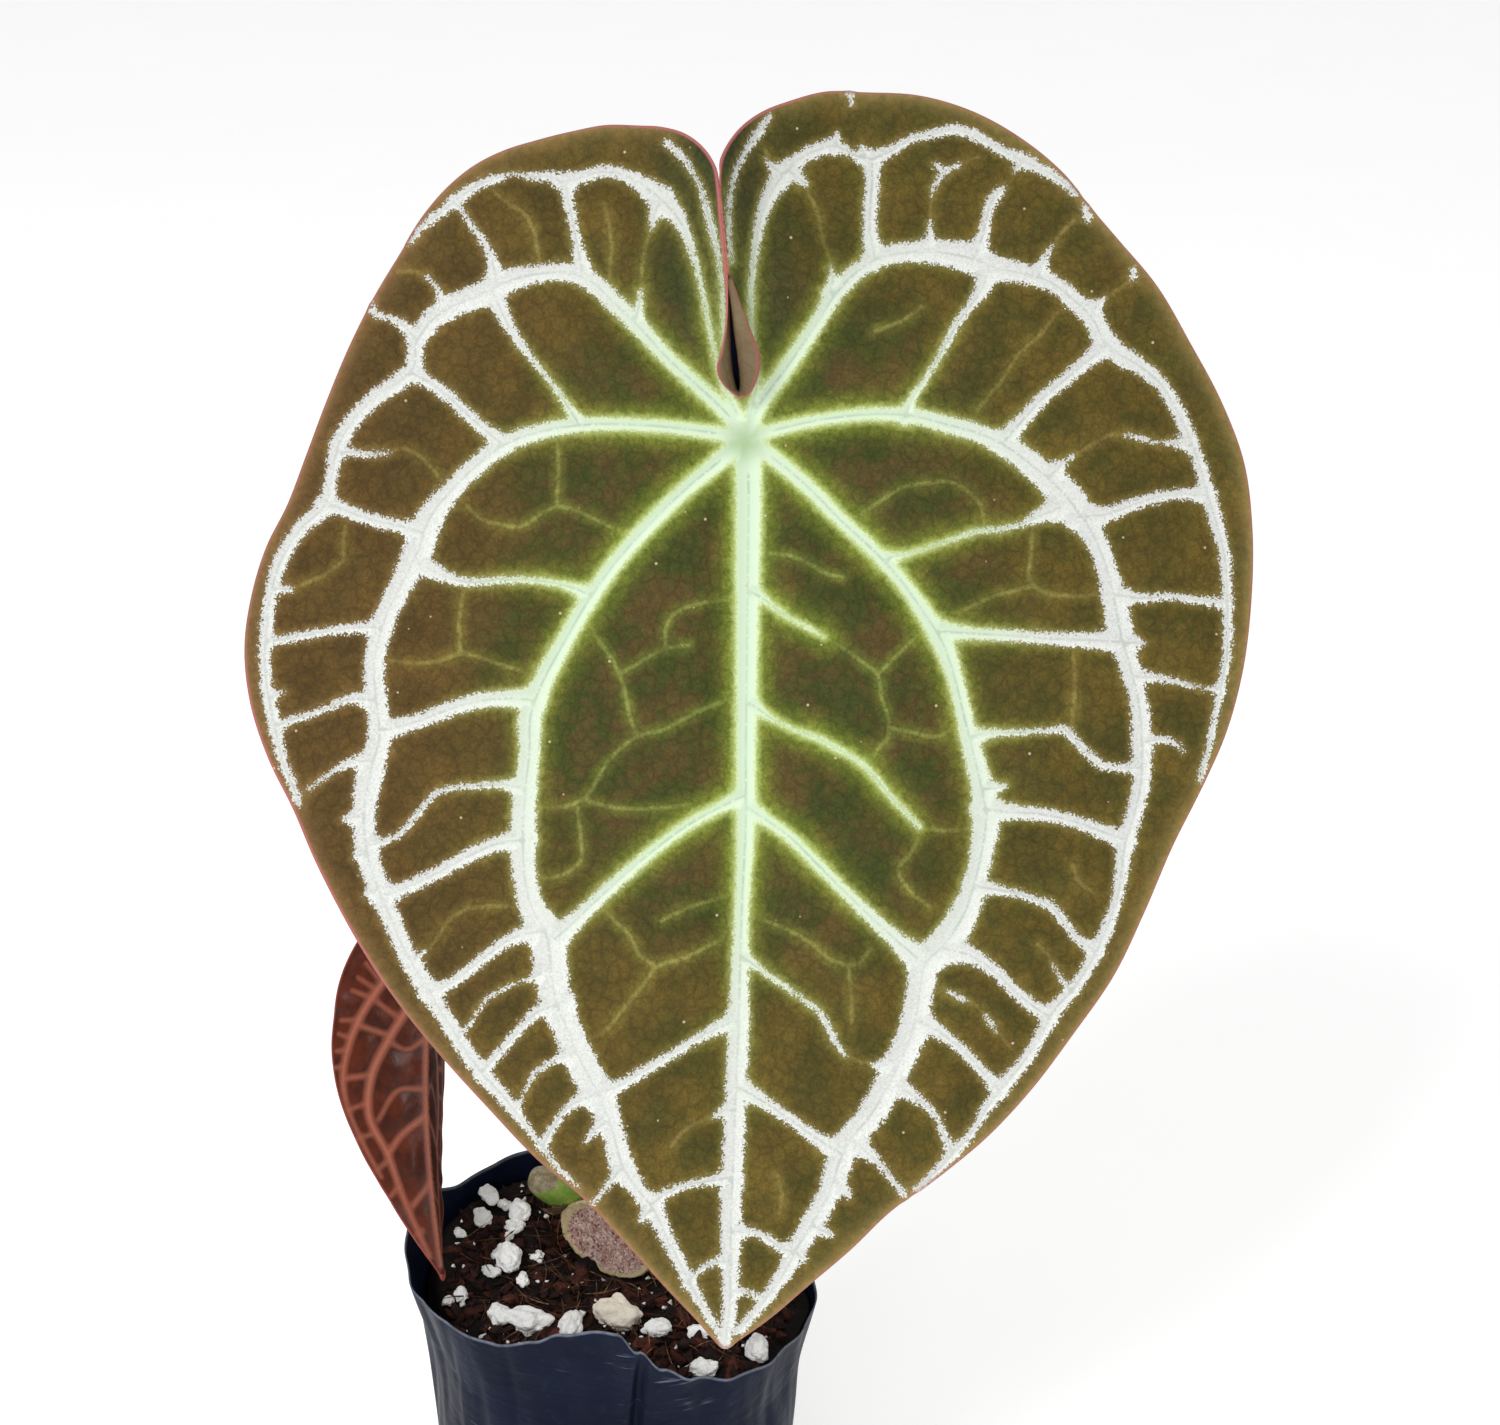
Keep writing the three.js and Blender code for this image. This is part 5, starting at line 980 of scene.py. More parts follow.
def ribbon_shell(rows, thickness):
    """A closed thin ribbon from rows of points that lie along it. The rows' side that faces out is the one
    that a walk along the first row has on its left when the next row is ahead."""
    along = np.gradient(rows, axis=0)
    across = np.gradient(rows, axis=1)
    normal = np.cross(along, across)
    normal /= np.linalg.norm(normal, axis=2)[:, :, None]
    n, m = rows.shape[:2]
    points = np.concatenate([rows.reshape(-1, 3), (rows - normal * thickness).reshape(-1, 3)])
    index = np.arange(n * m).reshape(n, m)
    quads = np.stack([index[:-1, :-1], index[1:, :-1], index[1:, 1:], index[:-1, 1:]], axis=2).reshape(-1, 4)
    loop = np.concatenate([index[:, 0], index[-1, 1:], index[-2::-1, -1], index[0, -2:0:-1]])
    following = np.roll(loop, -1)
    wall = np.stack([loop, loop + n * m, following + n * m, following], axis=1)
    faces = [*quads.tolist(), *(quads[:, ::-1] + n * m).tolist(), *wall.tolist()]
    return points, faces, len(quads), len(wall)


# The large leaf

LARGE_QUILT = 1.5
LARGE_QUILT_REACH = 6
LARGE_GROOVE = 0.45
FAINT_CREASE = 0.28
BLADE_THICKNESS = 0.5
FIELD_REACH = 9
LIT_WAY = (0.45, -0.9)

# Attributes that are the same all over the cleft's lip.
LIP_MARKS = {"silver": 4, "rib": 9, "side": 0, "faint": 4, "heart": 0.2, "blush": 1, "joint": 0}


def closed_pieces(margin, length):
    """A closed line cut into short lines that join end to end."""
    closed = np.vstack([margin, margin[:1]])
    return [closed[i:i + length + 1] for i in range(0, len(margin), length)]


def vein_lines(routes, step):
    """Smooth lines through listed veins."""
    return [smooth_line(route, step) for route in routes]


def quilting(points, veins, depth, reach, limit, web):
    """How far the skin swells between veins, up to a depth, over so many millimetres from each band."""
    within = np.maximum(distance_from_band(points, veins, limit, web), 0)
    return depth * (1 - np.exp(-((within / reach) ** 2)))


def beside_veins(points, veins):
    """Each point's distance from the middle of its nearest vein, that vein's half width, and how far the
    point lies on its lit side, from -1 to 1."""
    rib = np.full(len(points), float(FIELD_REACH))
    half = np.ones(len(points))
    side = np.zeros(len(points))
    for near, distance, offset, width in near_lines(points, veins, 3.5):
        closer = distance < rib[near]
        at = near[closer]
        rib[at], half[at] = distance[closer], width[closer]
        side[at] = (offset[closer] @ LIT_WAY) / width[closer]
    return rib, half, np.clip(side, -1, 1)


def green_heart(a, b):
    """How green the blade is, from 0 far out to 1 at its heart and down its midrib."""
    heart = 1 - smoothstep(np.hypot((a - 2) / 74, (b + 40) / 104), 0.35, 1.12)
    return np.maximum(heart, 0.75 * np.exp(-((a / 9) ** 2)) * smoothstep(b, -190, -70) * (b < 4))


def margin_blush(a, b):
    """How pink the margin is: most beside the cleft and round the left side."""
    blush = lerp(0.55, 1.0, smoothstep(np.abs(a - cleft_middle(b)), 40, 5) * (b > 0))
    return np.maximum(blush, 0.95 * smoothstep(a, -20, -70) * smoothstep(np.abs(b + 85), 70, 20))


def large_relief(margin, main, cross, faint):
    """What the large blade is like at flat points: its height over the broad form, and its attributes."""
    edges = closed_pieces(margin, 24)

    def relief(points):
        veins = main + cross
        a, b = points[:, 0], points[:, 1]
        silver = distance_from_band(points, veins, FIELD_REACH, 1.2)
        rib, half, side = beside_veins(points, veins)
        faint_distance = distance_to(points, faint, 4)
        groove = LARGE_GROOVE * np.clip(1 - rib / (half + 0.2), 0, 1) * smoothstep(half, 0.3, 1.5)
        crease = FAINT_CREASE * np.exp(-((faint_distance / 0.9) ** 2)) * smoothstep(silver, 0, 1.5)
        from_joint = np.hypot(a, b + 1)
        marks = {"silver": silver, "rib": rib + 3 * smoothstep(from_joint, 7, 3), "side": side,
                 "cleft": 0.85 * np.exp(-((np.abs(a - cleft_middle(b)) / 11) ** 2)) * smoothstep(b, 4, 24),
                 "faint": faint_distance, "margin": distance_to(points, edges, 7),
                 "heart": green_heart(a, b), "blush": margin_blush(a, b),
                 "joint": smoothstep(from_joint, 6.5, 0)}
        quilt = quilting(points, veins, LARGE_QUILT, LARGE_QUILT_REACH, FIELD_REACH, 4)
        return quilt - groove - crease, marks

    return relief


def large_thickness(points, marks):
    """The blade's depth: a thin sheet, with ribs under its veins and a boss where the petiole joins."""
    rib = 1.2 * smoothstep(marks["silver"], 1.2, -1.6)
    boss = 2 * smoothstep(np.hypot(points[:, 0], points[:, 1] + 1), 5, 3.6)
    return BLADE_THICKNESS + np.maximum(rib, boss)


def cleft_lip(relief):
    """The lip that stands up round the foot of the cleft and shows the underside within. Behind the blade
    it draws together into a fold, whose deep part is painted dark navy as painted shade."""
    knots = smooth_line(CLEFT_LIP, 0.8)
    foot, rim, rise = knots[:, :2], knots[:, 2:4], knots[:, 4]
    height = relief(foot)[0]
    middle = np.stack([cleft_middle(foot[:, 1]) * 1.12 - 0.35, foot[:, 1] + 1.2], axis=1)
    behind = np.array([1, 0.8, 0.5, 0.25])
    above = np.linspace(0, 1, 7)
    rows = [place_large(foot + (middle - foot) * share**2, height - 5 * share) for share in behind]
    rows += [place_large(foot + (rim - foot) * share**1.3, height + rise * share**0.75 - 0.1)
             for share in above]
    shares = np.concatenate([-behind, above])
    points, faces, face_count, wall_count = ribbon_shell(np.stack(rows, axis=1), 0.35)
    return points, faces, face_count, wall_count, np.tile(np.repeat(shares[None], len(foot), 0).ravel(), 2)


def lip_mark(label, share):
    """An attribute on the lip's points, from how far up the lip each is, below 0 behind the blade."""
    if label == "margin":
        return (1 - share) * 3.2
    # Behind the blade the cleft mark climbs towards 1.8, where the underside paints the deep fold dark as
    # painted shade.
    if label == "cleft":
        return 0.8 + smoothstep(share, -0.1, -0.4)
    return np.full(len(share), float(LIP_MARKS[label]))


def make_large_leaf():
    margin = smooth_line(LARGE_OUTLINE, 0.9, closed=True)
    main = vein_lines(LARGE_MAIN_VEINS.values(), 1.2)
    cross = vein_lines(LARGE_CROSS_VEINS, 1.2)
    faint = vein_lines(LARGE_FAINT_VEINS, 1.2)
    relief = large_relief(margin, main, cross, faint)
    upper = blade_points(margin, main, cross, faint, 1.0)
    under = blade_points(margin, main, [], [], 1.9)
    shell = blade_shell(margin, upper, under, place_large, relief, large_thickness)
    points, faces, material_of, marks = shell

    lip_points, lip_faces, face_count, wall_count, share = cleft_lip(relief)
    faces += renumbered(lip_faces, len(points))
    material_of = np.concatenate([material_of, np.repeat([0, 1, 0], [face_count, face_count, wall_count])])
    for label in marks:
        marks[label] = np.concatenate([marks[label], lip_mark(label, share)])
    points = np.concatenate([points, lip_points])

    skins = [velvet_material(), underside_material()]
    leaf = mesh_piece("large_leaf_skin", points, faces, skins, marks, material_of)
    finish_piece(leaf, "velvet_blade", "large_leaf")


# Shapes grown along paths and strewn by node trees

class Grower:
    """A geometry node tree with named inputs, and the plain mesh it makes of a source object."""

    def __init__(self, name, inputs):
        self.tree = bpy.data.node_groups.new(name, "GeometryNodeTree")
        self.nodes = Nodes(self.tree)
        interface = self.tree.interface
        interface.new_socket("Geometry", in_out="INPUT", socket_type="NodeSocketGeometry")
        interface.new_socket("Geometry", in_out="OUTPUT", socket_type="NodeSocketGeometry")
        self.keys = {}
        for label, kind in {**inputs, "Material": "Material"}.items():
            socket = interface.new_socket(label, in_out="INPUT", socket_type="NodeSocket" + kind)
            self.keys[label] = socket.identifier
        self.given = self.tree.nodes.new("NodeGroupInput").outputs

    def end_with(self, geometry):
        """The tree's last nodes: real geometry, smooth, with the material."""
        real = self.nodes.output("GeometryNodeRealizeInstances", {"Geometry": geometry})
        smooth = self.nodes.output("GeometryNodeSetShadeSmooth", {"Geometry": real})
        inputs = {"Geometry": smooth, "Material": self.given["Material"]}
        coated = self.nodes.output("GeometryNodeSetMaterial", inputs)
        self.nodes.link(coated, self.tree.nodes.new("NodeGroupOutput").inputs[0])

    def grow(self, name, source, **values):
        """A new object with the plain mesh that the tree makes of a source, which is then dropped."""
        modifier = source.modifiers.new(name, "NODES")
        modifier.node_group = self.tree
        for label, value in values.items():
            modifier[self.keys[label]] = value
        ready = source.evaluated_get(bpy.context.evaluated_depsgraph_get())
        mesh = bpy.data.meshes.new_from_object(ready)
        mesh.name = name
        source.modifiers.clear()
        bpy.data.objects.remove(source)
        piece = bpy.data.objects.new(name, mesh)
        bpy.context.scene.collection.objects.link(piece)
        return piece


def stem_grower():
    """A round stem along a line of edges, as thick as the line's own radius says."""
    grower = Grower("stem_along_path", {"Sides": "Int"})
    nodes, given = grower.nodes, grower.given
    curve = nodes.output("GeometryNodeMeshToCurve", {"Mesh": given["Geometry"]})
    radius = nodes.output("GeometryNodeInputNamedAttribute", {"Name": "thick"}, data_type="FLOAT")
    circle = {"Resolution": given["Sides"], "Radius": 1.0}
    ring = nodes.output("GeometryNodeCurvePrimitiveCircle", circle)
    sized = nodes.output("GeometryNodeSetCurveRadius", {"Curve": curve, "Radius": radius})
    sweep = {"Curve": sized, "Profile Curve": ring, "Fill Caps": True}
    tube = nodes.add("GeometryNodeCurveToMesh", sweep)
    if "Scale" in tube.inputs:
        nodes.link(radius, tube.inputs["Scale"])
    grower.end_with(tube.outputs[0])
    return grower


def random_number(nodes, low, high, seed):
    """A number by chance for each strewn shape."""
    chance = {2: low, 3: high, "Seed": seed}
    return nodes.add("FunctionNodeRandomValue", chance, data_type="FLOAT").outputs[1]


def strewing_grower():
    """The shapes of a collection strewn over a surface where it is bare, turned, tilted and sized by
    chance. Each takes a tone from 0 to 1."""
    inputs = {"Shapes": "Collection", "Density": "Float", "Smallest": "Float", "Largest": "Float",
              "Tilt": "Float", "Sink": "Float", "Seed": "Int"}
    grower = Grower("strew_shapes", inputs)
    nodes, given = grower.nodes, grower.given
    bare = nodes.output("GeometryNodeInputNamedAttribute", {"Name": "bare"}, data_type="FLOAT")
    density = nodes.times(given["Density"], bare)
    spread = {"Mesh": given["Geometry"], "Density": density, "Seed": given["Seed"]}
    points = nodes.add("GeometryNodeDistributePointsOnFaces", spread, distribute_method="RANDOM").outputs
    back = nodes.times(given["Tilt"], -1.0)
    least = nodes.output("ShaderNodeCombineXYZ", {0: back, 1: back, 2: 0.0})
    most = nodes.output("ShaderNodeCombineXYZ", {0: given["Tilt"], 1: given["Tilt"], 2: 6.283})
    chance = {0: least, 1: most, "Seed": given["Seed"]}
    angles = nodes.output("FunctionNodeRandomValue", chance, data_type="FLOAT_VECTOR")
    turn = nodes.output("FunctionNodeEulerToRotation", {0: angles})
    both = {"Rotation": points["Rotation"], "Rotate By": turn}
    turned = nodes.output("FunctionNodeRotateRotation", both, rotation_space="LOCAL")
    size = random_number(nodes, given["Smallest"], given["Largest"], 3)
    drop = nodes.output("ShaderNodeCombineXYZ", {2: nodes.times(given["Sink"], -1.0)})
    sunk = nodes.output("GeometryNodeSetPosition", {"Geometry": points["Points"], "Offset": drop})
    shapes = nodes.output("GeometryNodeCollectionInfo", {0: given["Shapes"], 1: True, 2: True})
    bits = {"Points": sunk, "Instance": shapes, "Pick Instance": True, "Rotation": turned, "Scale": size}
    placed = nodes.output("GeometryNodeInstanceOnPoints", bits)
    tone = {"Geometry": placed, "Name": "tone", "Value": random_number(nodes, 0.0, 1.0, 5)}
    toned = nodes.output("GeometryNodeStoreNamedAttribute", tone, data_type="FLOAT", domain="INSTANCE")
    grower.end_with(toned)
    return grower


def path_object(points, radii):
    """A line of edges for the stem tree, from smooth points in millimetres."""
    mesh = bpy.data.meshes.new("path")
    mesh.from_pydata((points * MM).tolist(), [(i, i + 1) for i in range(len(points) - 1)], [])
    mesh.attributes.new("thick", "FLOAT", "POINT").data.foreach_set("value", (radii * MM).astype(np.float32))
    source = bpy.data.objects.new("path", mesh)
    bpy.context.scene.collection.objects.link(source)
    return source


def make_stem(name, knots, sides, material):
    """A stem through knots of a place and a radius."""
    line = smooth_line(knots, 0.8, places=3)
    source = path_object(line[:, :3], line[:, 3])
    return STEMS.grow(name, source, Sides=sides, Material=material)


STEMS = stem_grower()
STREWER = strewing_grower()


# The petioles

CROWN = RIM_CENTRE + (12, 34, -7)
LARGE_PETIOLE_RADIUS = 2.1
YOUNG_PETIOLE_RADIUS = 1.3


def petiole_knots(path, shares, radius):
    return [(*place, share * radius) for place, share in zip(path, shares)]


def stem_material(name, low, high, level, span):
    """A smooth stalk that changes colour with height, with fine streaks along it and pale specks."""
    material, nodes, shader = new_material(name, Roughness=0.38, Specular_IOR_Level=0.5)
    height = nodes.add("ShaderNodeSeparateXYZ", {0: nodes.places()}).outputs["Z"]
    share = nodes.step(height, (level - span) * MM, (level + span) * MM)
    skin = nodes.mix(share, low, high)
    streaks = nodes.stretched_noise((900, 900, 90), 3.0)
    skin = tint(nodes, skin, nodes.step(streaks, 0.25, 0.75, 0.84, 1.1))
    specks = nodes.step(nodes.noise(0.9, detail=2.0), 0.62, 0.7, 0.0, 0.35)
    skin = nodes.mix(specks, skin, colour(206, 206, 158))
    nodes.dress(shader, skin, nodes.bump(streaks, 0.1, 0.4))
    return material


def make_large_petiole():
    end = LARGE_JUNCTION - ALONG - 3.3 * TOWARDS
    way = [RIM_CENTRE + p for p in ((14.5, 37, 30), (19, 41, 85), (26, 46, 140), (31.5, 47.5, 176))]
    path = [CROWN + (2, 1, -1), *way, end - 8 * TOWARDS - ALONG, end]
    knots = petiole_knots(path, [1.35, 1.1, 1, 1, 1.02, 1.3, 1.3], LARGE_PETIOLE_RADIUS)
    skin = stem_material("green_stalk", colour(126, 130, 76), colour(138, 150, 88), 200, 60)
    piece = make_stem("large_petiole_stalk", knots, 24, skin)
    finish_piece(piece, "green_stem", "large_petiole")


def make_young_petiole():
    end = YOUNG_JUNCTION - ALONG - 2.3 * TOWARDS + 0.2 * ACROSS
    way = [RIM_CENTRE + p for p in ((2, 36, 25), (-6, 38, 60), (-18, 38, 86), (-30, 33, 93))]
    path = [CROWN + (-5, 0.5, -1), *way, end - 4 * TOWARDS + 1.5 * ALONG, end]
    knots = petiole_knots(path, [1.4, 1.1, 1, 1, 1, 1.15, 1.15], YOUNG_PETIOLE_RADIUS)
    skin = stem_material("red_stalk", colour(120, 108, 66), colour(128, 62, 48), 150, 25)
    piece = make_stem("young_petiole_stalk", knots, 20, skin)
    finish_piece(piece, "red_stem", "young_petiole")


# The young leaf

YOUNG_HALF_OUTLINE = [
    (-1, 1.5), (-3, 4.6), (-6.5, 6.8), (-10.5, 5.6), (-15, 0.6), (-19, -6), (-21.6, -13.5), (-22.4, -21),
    (-22.7, -29.3), (-21.8, -36), (-20.2, -42), (-17.4, -49), (-14.6, -55), (-11.6, -60.5), (-8.6, -66),
    (-5.6, -71.6), (-3, -76), (-0.9, -79.6),
]
YOUNG_TIP = (0, -81.4)
YOUNG_MIDRIB = [(0, 0, 0.8), (0, -20, 0.6), (0, -40, 0.5), (0, -78, 0.35)]
YOUNG_HALF_VEINS = [
    [(-1.5, -3, 0.9), (-5, -19, 0.8), (-8.6, -25.6, 0.8), (-12.9, -35, 0.8), (-13.6, -44, 0.7),
     (-9.6, -52.8, 0.6), (-7, -62, 0.45), (-2.4, -76, 0.3)],
    [(-2, -1.6, 0.8), (-11.4, -13.6, 0.8), (-16.6, -22.6, 0.75), (-19, -30, 0.6), (-19.8, -36.6, 0.5),
     (-19, -41.5, 0.35), (-15.6, -50, 0.25), (-11.6, -58, 0.15)],
    [(-0.4, -43.8, 0.43), (-6.4, -48.6, 0.43), (-9.6, -52.8, 0.43)],
    [(-1, -37.6, 0.22), (-6, -37.8, 0.22), (-11.4, -45, 0.14)],
    [(-0.4, -59.4, 0.25), (-4.8, -64.4, 0.25)],
    [(-13, -34.6, 0.36), (-19.6, -35.8, 0.29)],
    [(-9, -25.4, 0.32), (-16, -23.4, 0.32)],
    [(-0.4, -13, 0.22), (-4.4, -17.4, 0.22)], [(-0.4, -26, 0.18), (-4.6, -28.6, 0.14), (-8.6, -27, 0.14)],
    [(-6.4, -21.6, 0.22), (-11, -18.6, 0.22), (-13.4, -17, 0.22)], [(-13.6, -41, 0.18), (-18.6, -43, 0.14)],
    [(-12.4, -48, 0.18), (-16.4, -49.4, 0.11)], [(-9.4, -54, 0.22), (-12.6, -56.6, 0.14)],
    [(-16, -22, 0.22), (-20.6, -22.4, 0.14)], [(-18.6, -29, 0.22), (-21.4, -29.6, 0.14)],
    [(-13.4, -17, 0.22), (-18.4, -15.4, 0.14)], [(-8.4, -9.6, 0.22), (-13.6, -6, 0.14)],
    [(-7.6, -60, 0.18), (-9.8, -62.4, 0.11)], [(-12.6, -15, 0.18), (-17.2, -12.4, 0.11)],
    [(-11.4, -13.4, 0.18), (-15.6, -9, 0.11)], [(-18.2, -26.4, 0.14), (-21, -25.6, 0.11)],
    [(-3, -70, 0.14), (-4.6, -71, 0.11)], [(-19.8, -33, 0.14), (-21.6, -33.4, 0.11)],
]
YOUNG_QUILT = 1.4
YOUNG_QUILT_REACH = 3


def mirrored(route):
    """A route on the left half as it runs on the right."""
    return [(-a, b, *rest) for a, b, *rest in route]


def young_material(name, skin_colour, patch_colour, vein_colour, vein_share):
    """The satin red skin of the young blade, with duller veins."""
    material, nodes, shader = new_material(name, Specular_IOR_Level=0.16)
    skin = mottled(nodes, skin_colour, patch_colour, 7.0, 0.9)
    net = nodes.use(SKIN_NET, {"Size": 2.0, "Depth": 0.12})
    # Painted shade: the net's lines are darkened in the creases between the swells.
    skin = tint(nodes, skin, net["Shade"])
    beside = nodes.step(nodes.attribute("silver"), -0.2, 0.9, 0.45, 0.0)
    skin = nodes.mix(beside, skin, vein_colour)
    vein = nodes.step(nodes.attribute("silver"), -0.7, 0.0, vein_share, 0.0)
    skin = nodes.mix(vein, skin, vein_colour)
    edge = nodes.step(nodes.attribute("margin"), 0.05, 0.5, 0.7, 0.0)
    skin = nodes.mix(edge, skin, colour(150, 70, 62))
    rough = nodes.step(nodes.attribute("folded"), 0.0, 1.0, 0.34, 0.85)
    nodes.dress(shader, skin, nodes.bump(net["Height"], 0.08, 0.25), rough)
    return material


def make_young_leaf():
    outline = [*YOUNG_HALF_OUTLINE, YOUNG_TIP, *mirrored(YOUNG_HALF_OUTLINE)[::-1]]
    margin = smooth_line(outline, 0.6, closed=True)
    routes = [YOUNG_MIDRIB, *YOUNG_HALF_VEINS, *map(mirrored, YOUNG_HALF_VEINS)]
    lines = vein_lines(routes, 0.9)
    edges = closed_pieces(margin, 24)

    def relief(points):
        silver = distance_from_band(points, lines, 6, 0.8)
        marks = {"silver": silver, "margin": distance_to(points, edges, 3),
                 "folded": smoothstep(points[:, 0], 0.2, 1.4)}
        return quilting(points, lines, YOUNG_QUILT, YOUNG_QUILT_REACH, 6, 3), marks

    def thickness(points, marks):
        boss = smoothstep(np.hypot(points[:, 0], points[:, 1] + 1), 3.2, 2.2)
        rib = 0.7 * smoothstep(marks["silver"], 0.8, -0.7)
        return 0.4 + np.maximum(rib, boss)

    upper = blade_points(margin, lines, [], [], 0.7)
    under = blade_points(margin, lines, [], [], 1.1)
    points, faces, material_of, marks = blade_shell(margin, upper, under, place_young, relief, thickness)
    red = colour(82, 30, 10), colour(52, 19, 7), colour(164, 96, 76)
    dull_red = colour(104, 52, 42), colour(82, 38, 32), colour(150, 86, 70)
    skins = [young_material("young_blade", *red, 0.62), young_material("young_underside", *dull_red, 0.8)]
    leaf = mesh_piece("young_leaf_skin", points, faces, skins, marks, material_of)
    finish_piece(leaf, "young_blade", "young_leaf")


# Skins of rings, and noise

def around(sides, whole=2 * math.pi):
    """So many equal steps round a whole turn."""
    return np.linspace(0, whole, sides, endpoint=False)


def ring_faces(rows, sides):
    """Faces of a skin of rings, each counter-clockwise as the next one sees it, with a cap at each end."""
    start = np.arange(rows - 1)[:, None] * sides
    here = np.arange(sides)
    ahead = (here + 1) % sides
    quads = np.stack([start + here, start + ahead, start + sides + ahead, start + sides + here], axis=2)
    last = (rows - 1) * sides
    return [*quads.reshape(-1, 4).tolist(), list(range(sides))[::-1], [last + i for i in range(sides)]]


def ring_points(centre, width, height, turn, side, up):
    """Points of flat rings round a centre, each as wide and as high as given along two directions."""
    return centre + (width * np.cos(turn))[..., None] * side + (height * np.sin(turn))[..., None] * up


def noise_at(points, size, seed=0.0, octaves=3):
    """Noise from about -1 to 1 at points in millimetres, with lumps of a size."""
    flat = np.reshape(points, (-1, 3)) / size + seed
    values = [noise.fractal(p, 0.7, 2.1, octaves) for p in flat.tolist()]
    return np.reshape(values, np.shape(points)[:-1])


def square_frame(axis):
    """Two directions square to an axis, the second of them the more upright."""
    away = axis / np.linalg.norm(axis)
    side = np.cross((0, 0, 1), away)
    side /= np.linalg.norm(side)
    return side, np.cross(away, side), away


# The rhizome and its bud

CUT_END = RIM_CENTRE + (-1.5, 16, -4)
RHIZOME_SIDES = 96
RHIZOME_ROWS = 70

# Sections from the cut end to the crown: share of the length, half width and half height.
RHIZOME_SECTIONS = [
    (0, 14.2, 8.8), (0.03, 14.3, 9), (0.12, 13.8, 9), (0.3, 12.6, 8.6), (0.5, 11.8, 8.6), (0.75, 11, 9),
    (0.95, 9, 8), (1.12, 5, 4.6),
]

# Rings of the cut face: shares of its width, and how far each lies in from the end.
CUT_REACH = np.array([0.05, 0.2, 0.35, 0.48, 0.6, 0.7, 0.78, 0.85, 0.91, 0.955, 0.985])
CUT_HOLLOW = np.array([1.3, 1.25, 1.2, 1.1, 0.95, 0.75, 0.5, 0.2, -0.15, -0.45, -0.5])

# Scars of old leaves, and their half width, as shares of the length.
LEAF_SCARS = [0.22, 0.36, 0.47, 0.6, 0.71, 0.84]
SCAR_WIDTH = 0.012
SCAR_DEPTH = 0.55

# The bud, with its radius and level from foot to tip.
BUD_SEAT = RIM_CENTRE + (-12, 28, 1.6)
BUD_LEAN = np.array([-0.78, -0.2, 0.6])
BUD_SIDES = 64
BUD_PROFILE = [(2.9, -6), (4, -2), (4.4, 1), (4.5, 4), (4, 6.8), (2.9, 8.9), (1.5, 10), (0.4, 10.3)]


def rhizome_material():
    """Brown corky bark, and the pinkish specked cut face with its pale callus rim."""
    material, nodes, shader = new_material("rhizome_bark", Roughness=0.8, Specular_IOR_Level=0.25)
    cut, scar = nodes.attribute("cut"), nodes.attribute("scar")
    bark = mottled(nodes, colour(150, 128, 84), colour(104, 82, 56), 4.0, 1.0)
    bark = nodes.mix(scar, bark, colour(86, 66, 46))
    flesh = mottled(nodes, colour(200, 170, 158), colour(166, 128, 116), 3.0, 1.0)
    specks = nodes.step(nodes.noise(0.8, detail=3.0, roughness=0.7), 0.51, 0.6, 0.0, 0.9)
    flesh = nodes.mix(specks, flesh, colour(96, 54, 50))
    pale = nodes.step(nodes.noise(0.62, detail=3.0, roughness=0.7), 0.54, 0.62, 0.0, 0.8)
    flesh = nodes.mix(pale, flesh, colour(228, 206, 200))
    callus = nodes.step(nodes.math("ABSOLUTE", nodes.minus(cut, 0.5)), 0.12, 0.4, 1.0, 0.0)
    skin = nodes.mix(nodes.step(cut, 0.4, 0.75), bark, flesh)
    skin = nodes.mix(callus, skin, colour(196, 178, 136))
    grain = nodes.noise(1.2, detail=5.0, roughness=0.7)
    skin = tint(nodes, skin, nodes.step(grain, 0.25, 0.75, 0.74, 1.14))
    nodes.dress(shader, skin, nodes.bump(grain, 0.5, 0.7))
    return material


def rhizome_rings(length):
    """Rings from the middle of the cut face to the crown: shares of the length, half widths and heights."""
    shares, widths, heights = (np.array(column) for column in zip(*RHIZOME_SECTIONS))
    share = np.linspace(0, shares[-1], RHIZOME_ROWS)
    width, height = np.interp(share, shares, widths), np.interp(share, shares, heights)
    share = np.concatenate([CUT_HOLLOW / length, share])
    width = np.concatenate([CUT_REACH * width[0], width])
    height = np.concatenate([CUT_REACH * height[0], height])
    return share[:, None], width[:, None], height[:, None]


def cut_marks(share, turn, on_side):
    """How much a point belongs to the cut face: 1 on it, a half at its rim and 0 on the bark."""
    rim_width = 0.1 + 0.09 * smoothstep(np.cos(turn - math.radians(40)), 0.2, 1)
    reach = np.concatenate([CUT_REACH, np.ones(RHIZOME_ROWS)])[:, None]
    face = 0.5 + 0.5 * smoothstep(reach, 1 - rim_width * 0.4, 1 - rim_width * 1.6)
    return np.where(on_side, smoothstep(share, 0.06, -0.02) * 0.5, face)


